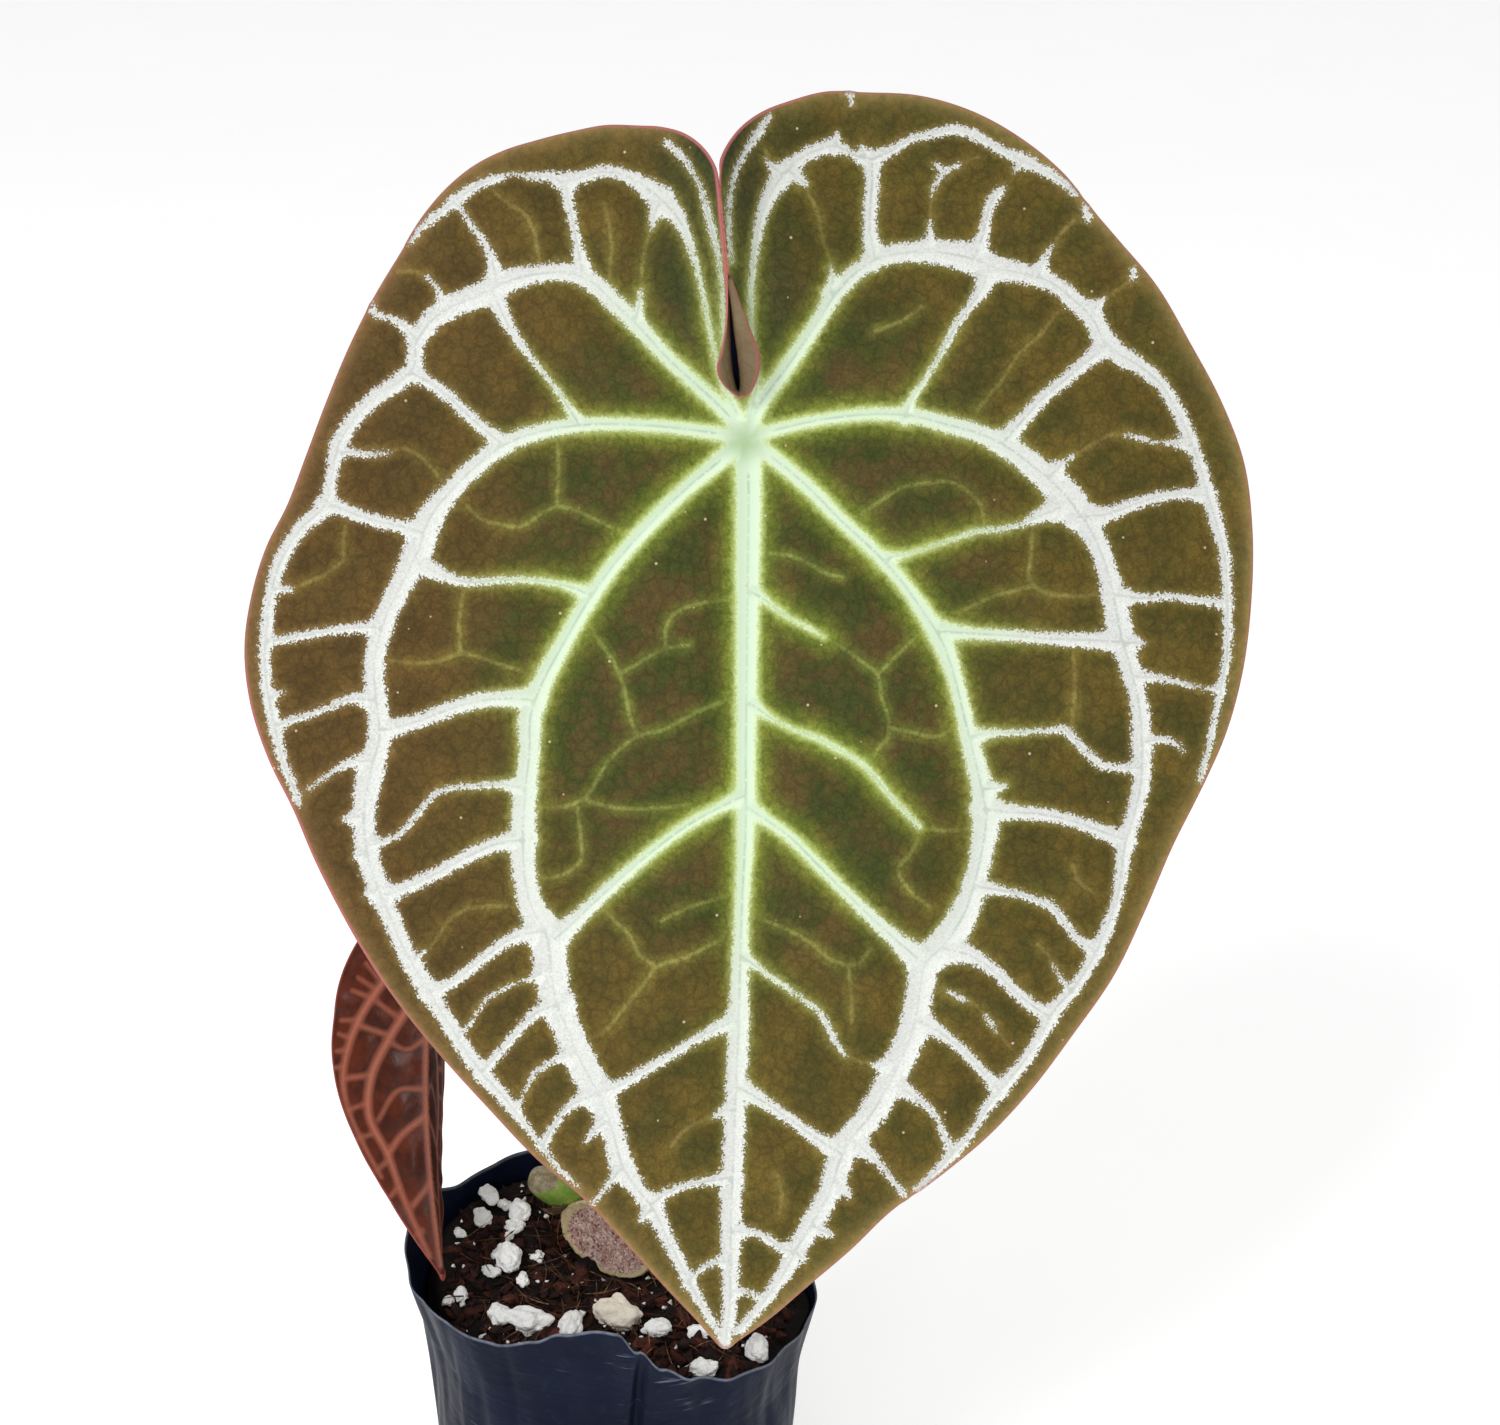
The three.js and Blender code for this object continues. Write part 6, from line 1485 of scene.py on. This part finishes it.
def make_rhizome():
    axis = CROWN - CUT_END
    side, up, away = square_frame(axis)
    turn = around(RHIZOME_SIDES)
    share, width, height = rhizome_rings(np.linalg.norm(axis))
    centre = (CUT_END + share * axis)[:, None]

    plain = ring_points(centre, width, height, turn, side, up)
    on_side = (np.arange(len(share)) >= len(CUT_REACH))[:, None]
    scar = 0
    for at in LEAF_SCARS:
        slanted = share - at + 0.03 * np.sin(turn + at * 20)
        scar = scar + np.exp(-((slanted / SCAR_WIDTH) ** 2))
    lumps = 0.9 * noise_at(plain, 6, 3.0) + 0.35 * noise_at(plain, 1.7, 8.0)
    pits = 0.35 * noise_at(plain, 1.6, 5.0) * ~on_side
    grow = np.where(on_side, lumps - SCAR_DEPTH * scar - 0.3, 0)
    points = ring_points(centre, width + grow, height + grow, turn, side, up) + pits[..., None] * away
    marks = {"cut": cut_marks(share, turn, on_side).ravel(),
             "scar": (np.clip(scar, 0, 1) * on_side * 0.8).ravel()}
    points, faces = points.reshape(-1, 3), ring_faces(len(share), RHIZOME_SIDES)
    piece = mesh_piece("rhizome_bark", points, faces, [rhizome_material()], marks)
    finish_piece(piece, "rhizome_bark", "rhizome")


def bud_material():
    """Green sheaths with a papery grey cap, and a brown bract where the cap's number passes 1."""
    material, nodes, shader = new_material("bud_skin", Roughness=0.45, Specular_IOR_Level=0.4)
    green = mottled(nodes, colour(112, 146, 52), colour(140, 164, 74), 3.0, 1.0)
    papery = mottled(nodes, colour(158, 148, 118), colour(124, 110, 84), 1.6, 1.0)
    cap = nodes.attribute("cap")
    skin = nodes.mix(nodes.step(cap, 0.0, 1.0), green, papery)
    skin = nodes.mix(nodes.step(cap, 1.1, 1.6), skin, colour(92, 68, 50))
    grain = nodes.noise(0.7, detail=4.0)
    skin = tint(nodes, skin, nodes.step(grain, 0.2, 0.8, 0.85, 1.1))
    nodes.dress(shader, skin, nodes.bump(grain, 0.2, 0.5))
    return material


def bud_body(side, up, away):
    """The bud's rings from its foot to its tip, in loose ridges, and how much each point is cap."""
    profile = smooth_line(BUD_PROFILE, 0.22)
    turn = around(BUD_SIDES)
    reach, level = profile[:, :1], profile[:, 1:]
    sheath = 0.3 * np.abs(np.sin(turn * 1.5 + level * 0.35)) - 0.3 * smoothstep(level, 9.2, 10.3)
    reach = reach * (1 + 0.03 * np.sin(3 * turn)) - 0.25 + sheath * smoothstep(reach, 0.5, 2.5)
    rings = ring_points(BUD_SEAT, reach, reach, turn, side, up) + (level + 0 * turn)[..., None] * away
    cap = smoothstep(level + 1.6 * np.sin(turn + 0.6) + 0.7 * np.sin(3 * turn), 6, 7.6)
    return rings, cap * np.ones(BUD_SIDES)


def bud_bract(side, up, away):
    """A ragged dry bract that stands half round the bud's foot."""
    turn = np.linspace(math.radians(185), math.radians(350), 60)[:, None]
    rise = np.linspace(0, 1, 10)
    loose = 4.8 + 1.5 * rise**2 + 0.3 * np.sin(5 * turn)
    ragged = -2.6 + (4.4 + 0.8 * np.sin(9 * turn) + 0.5 * np.sin(23 * turn)) * rise
    rows = ring_points(BUD_SEAT, loose, loose, turn, side, up) + ragged[..., None] * away
    return ribbon_shell(rows, 0.25)[:2]


def make_bud():
    directions = square_frame(BUD_LEAN)
    rings, cap = bud_body(*directions)
    points, faces = rings.reshape(-1, 3), ring_faces(len(rings), BUD_SIDES)
    bract_points, bract_faces = bud_bract(*directions)
    faces += renumbered(bract_faces, len(points))
    marks = {"cap": np.concatenate([cap.ravel(), np.full(len(bract_points), 2.0)])}
    piece = mesh_piece("bud_skin", np.concatenate([points, bract_points]), faces, [bud_material()], marks)
    finish_piece(piece, "bud_skin", "growth_bud")


# The nursery bag

# Outer radii of the bag, the thickness of its floor and film, and how far in from its outer face the mix
# begins.
RIM_RADIUS = 47.5
NECK_RADIUS = 44.5
BODY_RADIUS = 42.5
BASE_RADIUS = 40
BAG_FLOOR = 1.0
FILM = 0.35
MIX_INSET = 1.2

# Radii at shares of the bag's height.
BAG_LEVELS = [0, 0.015, 0.1, 0.55, 0.85, 0.96, 1]
BAG_RADII = [BASE_RADIUS - 4, BASE_RADIUS, BODY_RADIUS, BODY_RADIUS + 0.4, NECK_RADIUS, RIM_RADIUS - 0.8,
             RIM_RADIUS]

# Rim of the bag: degrees round from +X, rise over the mean rim, and how far it leans in.
RIM_WAVES = [
    (0, -8, -1.2), (25, -4, 0), (60, 2, 0.6), (95, 4, 0), (125, 5, 0.8), (143, 4, 0.6), (160, 8, 0),
    (178, 8, -0.6), (198, 6.5, 0.4), (222, 7, 1.4), (240, 8, 2.2), (252, 11, 2.2), (260, 14, 2),
    (270, 16, 1.4), (276, 16.6, 0), (281, 11, 0.4), (288, 5, 1), (297, 0, 1.4), (310, -4, 1), (328, -7, 0.4),
    (345, -8.6, -0.8), (360, -8, -1.2),
]

# Creases in the film: degrees round at the rim, how far they drift by the base, half width in degrees,
# depth, and the shares of the bag's height where they end and start.
BAG_CREASES = [
    (283, -9, 1.9, 3.6, 0.4, 1.06), (273, 6, 2.6, 0.9, 0.5, 1.05), (262, 3, 3, 0.5, 0.3, 0.97),
    (249, -8, 2, 0.5, 0.1, 0.9), (243, 5, 1.6, 0.6, 0.55, 1.05), (231, 4, 2.4, 0.5, 0.2, 0.98),
    (221, -6, 2, 0.45, 0.5, 1.05), (292, 12, 2.6, 0.6, 0.15, 0.95), (301, -5, 2.4, 0.5, 0.45, 1.05),
    (312, 7, 3, 0.6, 0.1, 0.93), (327, -4, 2.2, 0.5, 0.4, 1.05), (344, 6, 3, 0.5, 0.05, 0.9),
    (8, -8, 3, 0.6, 0.2, 1.0), (29, 5, 3, 0.5, 0.4, 1.05), (52, -6, 2.6, 0.6, 0.1, 0.95),
    (80, 4, 3, 0.5, 0.3, 1.05), (104, -5, 3, 0.6, 0.15, 0.9), (131, 8, 2.6, 0.5, 0.45, 1.05),
    (152, -4, 3, 0.6, 0.1, 0.96), (171, 6, 2.2, 0.5, 0.35, 1.05), (196, -7, 3, 0.5, 0.2, 0.92),
    (208, 3, 2, 0.6, 0.6, 1.05),
]


def degrees_round(points):
    """How far round from +X points are."""
    return np.degrees(np.arctan2(points[:, 1], points[:, 0]))


def rim_wave(degrees, column):
    """Value at angles of the closed row of listed waves."""
    waves = np.array(RIM_WAVES)
    turn = np.mod(degrees, 360)
    i = np.clip(np.searchsorted(waves[:, 0], turn, side="right") - 1, 0, len(waves) - 2)
    share = (turn - waves[i, 0]) / (waves[i + 1, 0] - waves[i, 0])
    return lerp(waves[i, column], waves[i + 1, column], share * share * (3 - 2 * share))


def rim_height(degrees):
    """Height of the rim at angles."""
    return RIM_CENTRE[2] + rim_wave(degrees, 1)


def share_of_height(height, degrees):
    """A height as a share of the bag's own, from its floor to its rim at angles."""
    return (height - BAG_FLOOR) / (rim_height(degrees) - BAG_FLOOR)


def bag_radius(degrees, share):
    """Outer radius of the bag at angles and shares of its height."""
    upper = smoothstep(share, 0.72, 1)
    turn = np.radians(degrees)
    creases = 0.5 * np.sin(5 * turn + 7 * share) + 0.35 * np.sin(9 * turn - 11 * share)
    lean = 1.5 * np.cos(turn) * smoothstep(share, 0, 0.8) * (1 - upper)
    rumple = creases * smoothstep(share, 0.03, 0.25)
    return np.interp(share, BAG_LEVELS, BAG_RADII) + rumple + lean - rim_wave(degrees, 2) * upper


def bag_dent(degrees, share):
    """How far the film is drawn in at its creases."""
    dent = np.zeros(np.broadcast(degrees, share).shape)
    for at, drift, wide, depth, low, high in BAG_CREASES:
        middle = at + drift * (1 - share)
        away = (degrees - middle + 180) % 360 - 180
        length = smoothstep(share, low, low + 0.18) * smoothstep(share, high, high - 0.15)
        dent += depth * np.exp(-((away / wide) ** 2)) * length
    return dent


def bag_rings(degrees, share, inset):
    """Places on the bag's film, this far in from its outer face."""
    height = BAG_FLOOR + (rim_height(degrees) - BAG_FLOOR) * share
    turn = np.radians(degrees)
    crinkle = 0.16 * np.sin(23 * turn + 9 * share) * smoothstep(share, 0.05, 0.3)
    radius = bag_radius(degrees, share) - inset - bag_dent(degrees, share) * 0.8 - 0.16 + crinkle
    return np.stack([radius * np.cos(turn), radius * np.sin(turn), height + 0 * radius], axis=-1)


def bag_material():
    """Thin dark film with a low shine, faint streaks down it, a little dust, scuffs, and a pale line along
    the rim that is partly wear and partly painted highlight.
    """
    material, nodes, shader = new_material("bag_film", Specular_IOR_Level=0.05)
    streaks = nodes.stretched_noise((260, 260, 22), 4.0)
    cloud = nodes.noise(18, detail=3.0)
    film = nodes.mix(nodes.step(cloud, 0.3, 0.7), colour(13, 18, 34), colour(18, 25, 44))
    dust = nodes.step(nodes.noise(3.5, detail=5.0, roughness=0.7), 0.55, 0.75, 0.0, 0.12)
    film = nodes.mix(dust, film, colour(70, 74, 86))
    scuffs = nodes.stretched_noise((90, 90, 900), 5.0)
    patches = nodes.step(nodes.noise(16, detail=2.0), 0.52, 0.62)
    scuffed = nodes.times(patches, nodes.step(scuffs, 0.6, 0.72, 0.0, 0.55))
    film = nodes.mix(scuffed, film, colour(104, 112, 132))
    # Partly wear, partly painted highlight: a pale speckled line along the rim's edge.
    at_rim = nodes.step(nodes.attribute("rim"), 0.15, 0.9, 1.0, 0.0)
    rim_wear_and_highlight = nodes.times(at_rim, nodes.noise(2.2, detail=4.0))
    film = nodes.mix(rim_wear_and_highlight, film, colour(132, 138, 152))
    rough = nodes.step(streaks, 0.3, 0.7, 0.34, 0.5)
    wrinkle = nodes.bump(nodes.noise(9, detail=3.0, distortion=0.4), 1.0, 0.5)
    crinkle = nodes.stretched_noise((60, 60, 420), 4.0)
    bumped = nodes.bump(crinkle, 0.5, 0.45, nodes.bump(streaks, 0.3, 0.3, wrinkle))
    nodes.dress(shader, film, bumped, rough)
    return material


def make_bag():
    sides = 360
    degrees = around(sides, 360)[None]
    share = np.concatenate([np.linspace(0, 0.1, 12), np.linspace(0.1, 1, 90)[1:]])[:, None]
    outer = bag_rings(degrees, share, 0)
    outer[0, :, 2] = 0
    inner = bag_rings(degrees, share, FILM)[::-1]
    inner[-1, :, 2] = BAG_FLOOR
    lip = (outer[-1] + inner[0]) / 2 + (0, 0, 0.12)
    shrink = np.array([0.02, 0.3, 0.6, 0.85])[:, None, None]
    base = outer[0] * shrink
    floor = inner[-1] * np.concatenate([np.repeat(shrink[::-1], 2, 2), np.ones_like(shrink)], axis=2)
    rings = np.concatenate([base, outer, lip[None], inner, floor])
    points = rings.reshape(-1, 3)
    marks = {"rim": np.abs(rim_height(degrees_round(points)) - points[:, 2])}
    piece = mesh_piece("bag_film", points, ring_faces(len(rings), sides), [bag_material()], marks)
    finish_piece(piece, "bag_film", "nursery_bag")


# The potting mix

# Level of the mix, how far it rises in the middle, and how far at the back left.
MIX_LEVEL = 96
MIX_MOUND = 3
MIX_HEAP = 9

# The dip before the cut face runs along the face's foot.
DIP_START = (-11, 20)
DIP_WAY = (0.8, -0.6)
DIP_LENGTH = 22
DIP_DEPTH = 5.6

# Lumps of perlite in the top of the mix: across, away and size, from the middle of the rim.
PERLITE = [
    (-30.6, 26.9, 4.7), (-31.3, 19.5, 5), (-36.5, 15.1, 2.8), (-22.6, 21.8, 5.6), (-23.5, 18.4, 4.2),
    (-26.5, 25.1, 2.8), (-24.7, 15.4, 2.8), (-24.1, 7.7, 6.8), (-17.8, 11.8, 2.8), (-20.1, 0.5, 3.2),
    (-34.4, -3.4, 3.4), (-37.2, -5.4, 3), (-24.5, -11.8, 5.6), (-17.5, -14, 7.8), (-7.7, -15.9, 6.2),
    (2.5, -11.3, 9.6), (11.9, -16.2, 5), (22.4, -15.2, 5), (35, -19.1, 6), (22.7, -27.9, 5.6),
    (-28, 4.4, 3.4), (8, -31, 3.6), (-6, 38, 4.6), (24, 12, 4.8), (33, 20, 4.2), (24, 29.6, 5),
    (37, 2, 4),
]
CREAM_LUMP = 15

# Small bits: how many to a square metre, their smallest and largest scale, how far they tilt in radians,
# how deep they sink, their seed, and how far out they reach as a share of the way to the wall.
STREWN = {
    "coco_chips": (140000, (0.45, 1.5), 0.6, -0.3, 11, 0.9),
    "coco_crumbs": (270000, (0.5, 1.3), 0.8, 0, 12, 0.94),
    "coco_fibres": (60000, (0.5, 1.5), 0.4, -1.1, 13, 0.82),
    "perlite_grains": (27000, (0.4, 1.1), 0.8, -0.5, 14, 0.92),
}


def mix_heap(x, y):
    """Rise of the mix towards the back left, where it is heaped up under the rim."""
    return MIX_HEAP * smoothstep(y - 0.6 * x, 15, 50)


def mix_height(x, y):
    """Height of the mix over the bag's middle. It dips before the rhizome's cut face."""
    rough = 0.7 * np.sin(0.31 * x + 0.9) * np.cos(0.27 * y) + 0.5 * np.sin(0.53 * x - 0.47 * y)
    along = np.clip((x - DIP_START[0]) * DIP_WAY[0] + (y - DIP_START[1]) * DIP_WAY[1], 0, DIP_LENGTH)
    away = np.hypot(x - DIP_START[0] - along * DIP_WAY[0], y - DIP_START[1] - along * DIP_WAY[1])
    dip = DIP_DEPTH * smoothstep(away, 9.5, 1)
    return MIX_LEVEL + MIX_MOUND * (1 - (x * x + y * y) / 1700) + rough - 0.035 * x - dip + mix_heap(x, y)


def mix_edge(degrees):
    """Height where the mix's top meets the bag's wall."""
    turn = np.radians(degrees)
    return MIX_LEVEL - 2 + mix_heap(NECK_RADIUS * np.cos(turn), NECK_RADIUS * np.sin(turn))


def mix_edge_share(degrees):
    """The same as a share of the bag's height."""
    return share_of_height(mix_edge(degrees), degrees)


def mix_top(sides, shares):
    """Rings over the top of the mix, from its edge inwards, at shares of the way out."""
    degrees = around(sides, 360)
    wall = bag_rings(degrees, mix_edge_share(degrees), MIX_INSET)
    rings = wall[None] * np.array(shares)[:, None, None]
    x, y = rings[..., 0], rings[..., 1]
    crumbs = 1.1 * noise_at(rings * (1, 1, 0), 7, 2.0) + 0.5 * noise_at(rings * (1, 1, 0), 2.2, 4.0)
    inward = smoothstep(np.array(shares), 1, 0.93)[:, None]
    rings[..., 2] = lerp(mix_edge(degrees), mix_height(x, y) - 0.4 + crumbs, inward)
    return rings


def soil_material(name, dark, light):
    """Damp red-brown husk, each bit with its own tone and with fibres along it."""
    material, nodes, shader = new_material(name, Roughness=0.85, Specular_IOR_Level=0.25)
    tone = nodes.attribute("tone")
    skin = mottled(nodes, dark, light, 3.0, 0.8)
    skin = tint(nodes, skin, nodes.step(tone, 0.3, 1.0, 0.55, 1.7))
    lengths = nodes.attribute("along"), nodes.attribute("beside"), nodes.attribute("deep")
    local = nodes.output("ShaderNodeCombineXYZ", dict(enumerate(lengths)))
    fibres = nodes.stretched_noise((0.5, 4, 4), 4.0, local)
    skin = tint(nodes, skin, nodes.step(fibres, 0.3, 0.7, 0.6, 1.25))
    nodes.dress(shader, skin, nodes.bump(fibres, 0.3, 0.8))
    return material


def perlite_material():
    """White popped grains with small pits, stained a little by the mix."""
    material, nodes, shader = new_material("perlite", Roughness=0.9, Specular_IOR_Level=0.2)
    tone = nodes.attribute("tone")
    skin = nodes.mix(nodes.step(tone, 0.85, 1.0), colour(255, 255, 254), colour(248, 238, 222))
    stain = nodes.step(nodes.noise(2.6, detail=4.0), 0.58, 0.78, 0.0, 0.5)
    skin = nodes.mix(stain, skin, colour(176, 128, 92))
    pits = nodes.noise(0.6, detail=3.0, roughness=0.6)
    skin = tint(nodes, skin, nodes.step(pits, 0.25, 0.5, 0.88, 1.0))
    nodes.dress(shader, skin, nodes.bump(pits, 0.5, 0.8))
    return material


def taken_from(shape):
    """Points and faces of an edited shape, which is then dropped."""
    points = np.array([v.co[:] for v in shape.verts])
    faces = [[v.index for v in face.verts] for face in shape.faces]
    shape.free()
    return points, faces


def ball(level):
    """Points and triangles of a ball of radius 1."""
    shape = bmesh.new()
    bmesh.ops.create_icosphere(shape, subdivisions=level, radius=1)
    return taken_from(shape)


def chunk(random, size, corners):
    """A sharp-cornered bit: the hull of points strewn in a box."""
    shape = bmesh.new()
    for point in (random.random((corners, 3)) - 0.5) * size:
        shape.verts.new(point)
    bmesh.ops.convex_hull(shape, input=shape.verts[:])
    loose = [v for v in shape.verts if not v.link_faces]
    bmesh.ops.delete(shape, geom=loose, context="VERTS")
    bmesh.ops.subdivide_edges(shape, edges=shape.edges[:], cuts=1, use_grid_fill=True)
    bmesh.ops.triangulate(shape, faces=shape.faces[:])
    shape.verts.index_update()
    points, faces = taken_from(shape)
    points += (random.random(points.shape) - 0.5) * np.min(size) * 0.22
    return points, faces


def bent_fibre(random, length):
    """A thin bent strand of husk."""
    at = np.linspace(-0.5, 0.5, 9)
    bend = (random.random(4) - 0.5) * length * (0.7, 0.25, 0.5, 0.2)
    beside = bend[0] * (at**2 * 4 - 0.3) + bend[1] * at
    deep = bend[2] * at**2 + bend[3] * at * 2
    middle = np.stack([at * length, beside, deep], axis=1)
    turn = around(5)
    thick = 0.13 * (1 - (at * 1.9) ** 2 * 0.8)[:, None]
    section = np.stack([0 * thick + 0 * turn, thick * np.cos(turn), thick * np.sin(turn)], axis=2)
    rings = section + middle[:, None]
    return rings.reshape(-1, 3), ring_faces(len(at), len(turn))


def shape_collection(name, shapes):
    """A hidden collection of small shapes, whose points carry their places along, beside and deep."""
    collection = bpy.data.collections.new(name)
    for i, (points, faces) in enumerate(shapes):
        marks = {"along": points[:, 0] + 13 * i, "beside": points[:, 1], "deep": points[:, 2]}
        piece = mesh_piece(f"{name}_{i}", points, faces, [], marks, smooth=False)
        bpy.context.scene.collection.objects.unlink(piece)
        collection.objects.link(piece)
    return collection


def drop_collection(collection):
    """Removes a collection and its shapes once they have been strewn."""
    for piece in list(collection.objects):
        bpy.data.objects.remove(piece)
    bpy.data.collections.remove(collection)


def kept_in_bag(points):
    """Points with those at the wall or beyond it drawn in beside it."""
    degrees = degrees_round(points)
    wall = bag_rings(degrees, share_of_height(points[:, 2], degrees), FILM + 0.15)
    room, reach = (np.hypot(places[:, 0], places[:, 1]) for places in (wall, points))
    return points * np.minimum(1, room / reach)[:, None] * (1, 1, 0) + points * (0, 0, 1)


def strewing_ground(reach):
    """The top of the mix as an open sheet, out to a share of the way to the wall, bare where bits may lie."""
    sides = 120
    rings = mix_top(sides, np.linspace(reach, 0.02, 30))
    points = rings.reshape(-1, 3)
    quads = ring_faces(len(rings), sides)[:-2]
    offset = points - CUT_END
    axis = CROWN - CUT_END
    share = np.clip(offset[:, :2] @ axis[:2] / (axis[:2] @ axis[:2]), 0, 1.1)
    from_rhizome = np.linalg.norm(offset[:, :2] - share[:, None] * axis[:2], axis=1)
    bare = smoothstep(from_rhizome, 8, 12)
    for x, y, size in PERLITE:
        bare = bare * smoothstep(np.hypot(points[:, 0] - x, points[:, 1] - y), size * 0.3, size * 0.55)
    return points, quads, bare


def make_strewn(name, shapes, material):
    """Bits of one kind strewn over the mix as their row of STREWN says."""
    density, sizes, tilt, sink, seed, reach = STREWN[name]
    points, quads, bare = strewing_ground(reach)
    source = mesh_piece("ground", points, quads, [], {"bare": bare})
    collection = shape_collection(name, shapes)
    piece = STREWER.grow(name, source, Shapes=collection, Density=density, Smallest=sizes[0],
                         Largest=sizes[1], Tilt=tilt, Sink=sink * MM, Seed=seed, Material=material)
    drop_collection(collection)
    places = np.empty(len(piece.data.vertices) * 3)
    piece.data.vertices.foreach_get("co", places)
    kept = kept_in_bag(places.reshape(-1, 3) / MM) * MM
    piece.data.vertices.foreach_set("co", kept.ravel())
    finish_piece(piece, "mix")


def turned_about_z(angle):
    """A turn about the upright, for rows of points."""
    cosine, sine = math.cos(angle), math.sin(angle)
    return np.array([[cosine, -sine, 0], [sine, cosine, 0], [0, 0, 1]])


def make_perlite_lumps():
    """Large lumps at listed places, each its own shape and turn."""
    random = np.random.default_rng(SEED + 1)
    base, triangles = ball(5)
    points, faces, tones = [], [], []
    for i, (x, y, size) in enumerate(PERLITE):
        spin = turned_about_z(random.random() * math.pi)
        stretch = (1.15 + 0.3 * random.random(), 0.85 + 0.2 * random.random(), 0.8 + 0.15 * random.random())
        bulge = 1 + 0.36 * noise_at(base + i * 5, 1.0, 1.0, 2) + 0.07 * noise_at(base + i * 5, 0.33, 1.0)
        lump = base * bulge[:, None] * stretch @ spin * size * 0.47
        lump += (x, y, mix_height(x, y) + size * 0.2)
        faces += renumbered(triangles, len(points) * len(base))
        points.append(kept_in_bag(lump))
        tones.append(np.full(len(base), 1.0 if i == CREAM_LUMP else 0.6 * random.random()))
    points, tones = np.concatenate(points), {"tone": np.concatenate(tones)}
    piece = mesh_piece("perlite_lumps", points, faces, [perlite_material()], tones)
    finish_piece(piece, "mix")


def make_mix_bed():
    """The bed of fine soil that fills the bag, with a crumbly top."""
    sides = 300
    degrees = around(sides, 360)
    share = np.linspace(0.02, 1, 14)[:, None] * mix_edge_share(degrees)
    wall = bag_rings(degrees[None], share, MIX_INSET)
    top = mix_top(sides, np.concatenate([np.linspace(0.995, 0.05, 96), [0.012]]))
    rings = np.concatenate([wall[:1] * (0.05, 0.05, 1), wall, top])
    tones = {"tone": np.full(rings.size // 3, 0.25)}
    soil = soil_material("mix_bed", colour(18, 10, 8), colour(34, 18, 14))
    bed = mesh_piece("mix_bed", rings.reshape(-1, 3), ring_faces(len(rings), sides), [soil], tones)
    finish_piece(bed, "mix", "potting_mix")


def make_mix():
    make_mix_bed()
    random = np.random.default_rng(SEED)
    husk = soil_material("coco_husk", colour(27, 15, 12), colour(82, 37, 25))
    make_strewn("coco_chips", [chunk(random, (6.4, 2.8, 1.7), 11) for _ in range(9)], husk)
    make_strewn("coco_crumbs", [chunk(random, (1.5, 1.1, 0.9), 7) for _ in range(6)], husk)
    straw = soil_material("coco_straw", colour(58, 33, 24), colour(132, 98, 68))
    make_strewn("coco_fibres", [bent_fibre(random, 10) for _ in range(9)], straw)
    grains = [chunk(random, (1.9, 1.6, 1.5), 12) for _ in range(5)]
    make_strewn("perlite_grains", grains, perlite_material())
    make_perlite_lumps()


# The camera and the stage

# Soft lights, in metres: place, what each is aimed at, width and power.
LIGHTS = {
    "key": ((-0.9, -1.3, 1.7), (0.02, 0, 0.2), 0.7, 21),
    "fill": ((1.3, -0.9, 0.9), (0.02, 0, 0.2), 1.0, 4),
    "low": ((-0.06, -0.6, 0.34), (0, 0, 0.1), 0.2, 0.75),
}
WORLD_STRENGTH = 0.55
FLOOR_REACH = 6000


def make_camera():
    camera = bpy.data.cameras.new("camera")
    camera.lens = CAMERA_LENS
    camera.sensor_width = 36
    camera.clip_end = 50
    holder = bpy.data.objects.new("camera", camera)
    turn = Matrix([ACROSS, ALONG, TOWARDS]).transposed()
    holder.matrix_world = Matrix.Translation(Vector(CAMERA_PLACE * MM)) @ turn.to_4x4()
    bpy.context.scene.collection.objects.link(holder)
    bpy.context.scene.camera = holder


def area_light(name, place, aim, size, power):
    light = bpy.data.lights.new(name, "AREA")
    light.size = size
    light.energy = power
    holder = bpy.data.objects.new(name, light)
    holder.location = place
    holder.rotation_mode = "QUATERNION"
    holder.rotation_quaternion = (Vector(aim) - Vector(place)).to_track_quat("-Z", "Y")
    bpy.context.scene.collection.objects.link(holder)


def make_floor():
    """Pale paper that gives off a little light, so that it shows near white."""
    material, nodes, shader = new_material(
        "pale_floor", Roughness=0.85, Specular_IOR_Level=0.1, Emission_Color=WHITE, Emission_Strength=0.38)
    paper = nodes.step(nodes.noise(90, detail=2.0), 0.2, 0.8, 0.985, 1.0)
    nodes.dress(shader, tint(nodes, colour(250, 250, 250), paper))
    r = FLOOR_REACH
    floor = mesh_piece("floor", [(-r, -r, 0), (r, -r, 0), (r, r, 0), (-r, r, 0)], [(0, 1, 2, 3)], [material])


def make_stage():
    """The floor, and soft light from all round."""
    make_floor()
    world = bpy.data.worlds.new("soft_room")
    world.use_nodes = True
    background = world.node_tree.nodes["Background"]
    background.inputs["Color"].default_value = WHITE
    background.inputs["Strength"].default_value = WORLD_STRENGTH
    bpy.context.scene.world = world
    for name, light in LIGHTS.items():
        area_light(name, *light)


make_camera()
make_stage()
make_large_leaf()
make_large_petiole()
make_young_leaf()
make_young_petiole()
make_rhizome()
make_bud()
make_bag()
make_mix()

bpy.context.scene.view_settings.view_transform = "Standard"
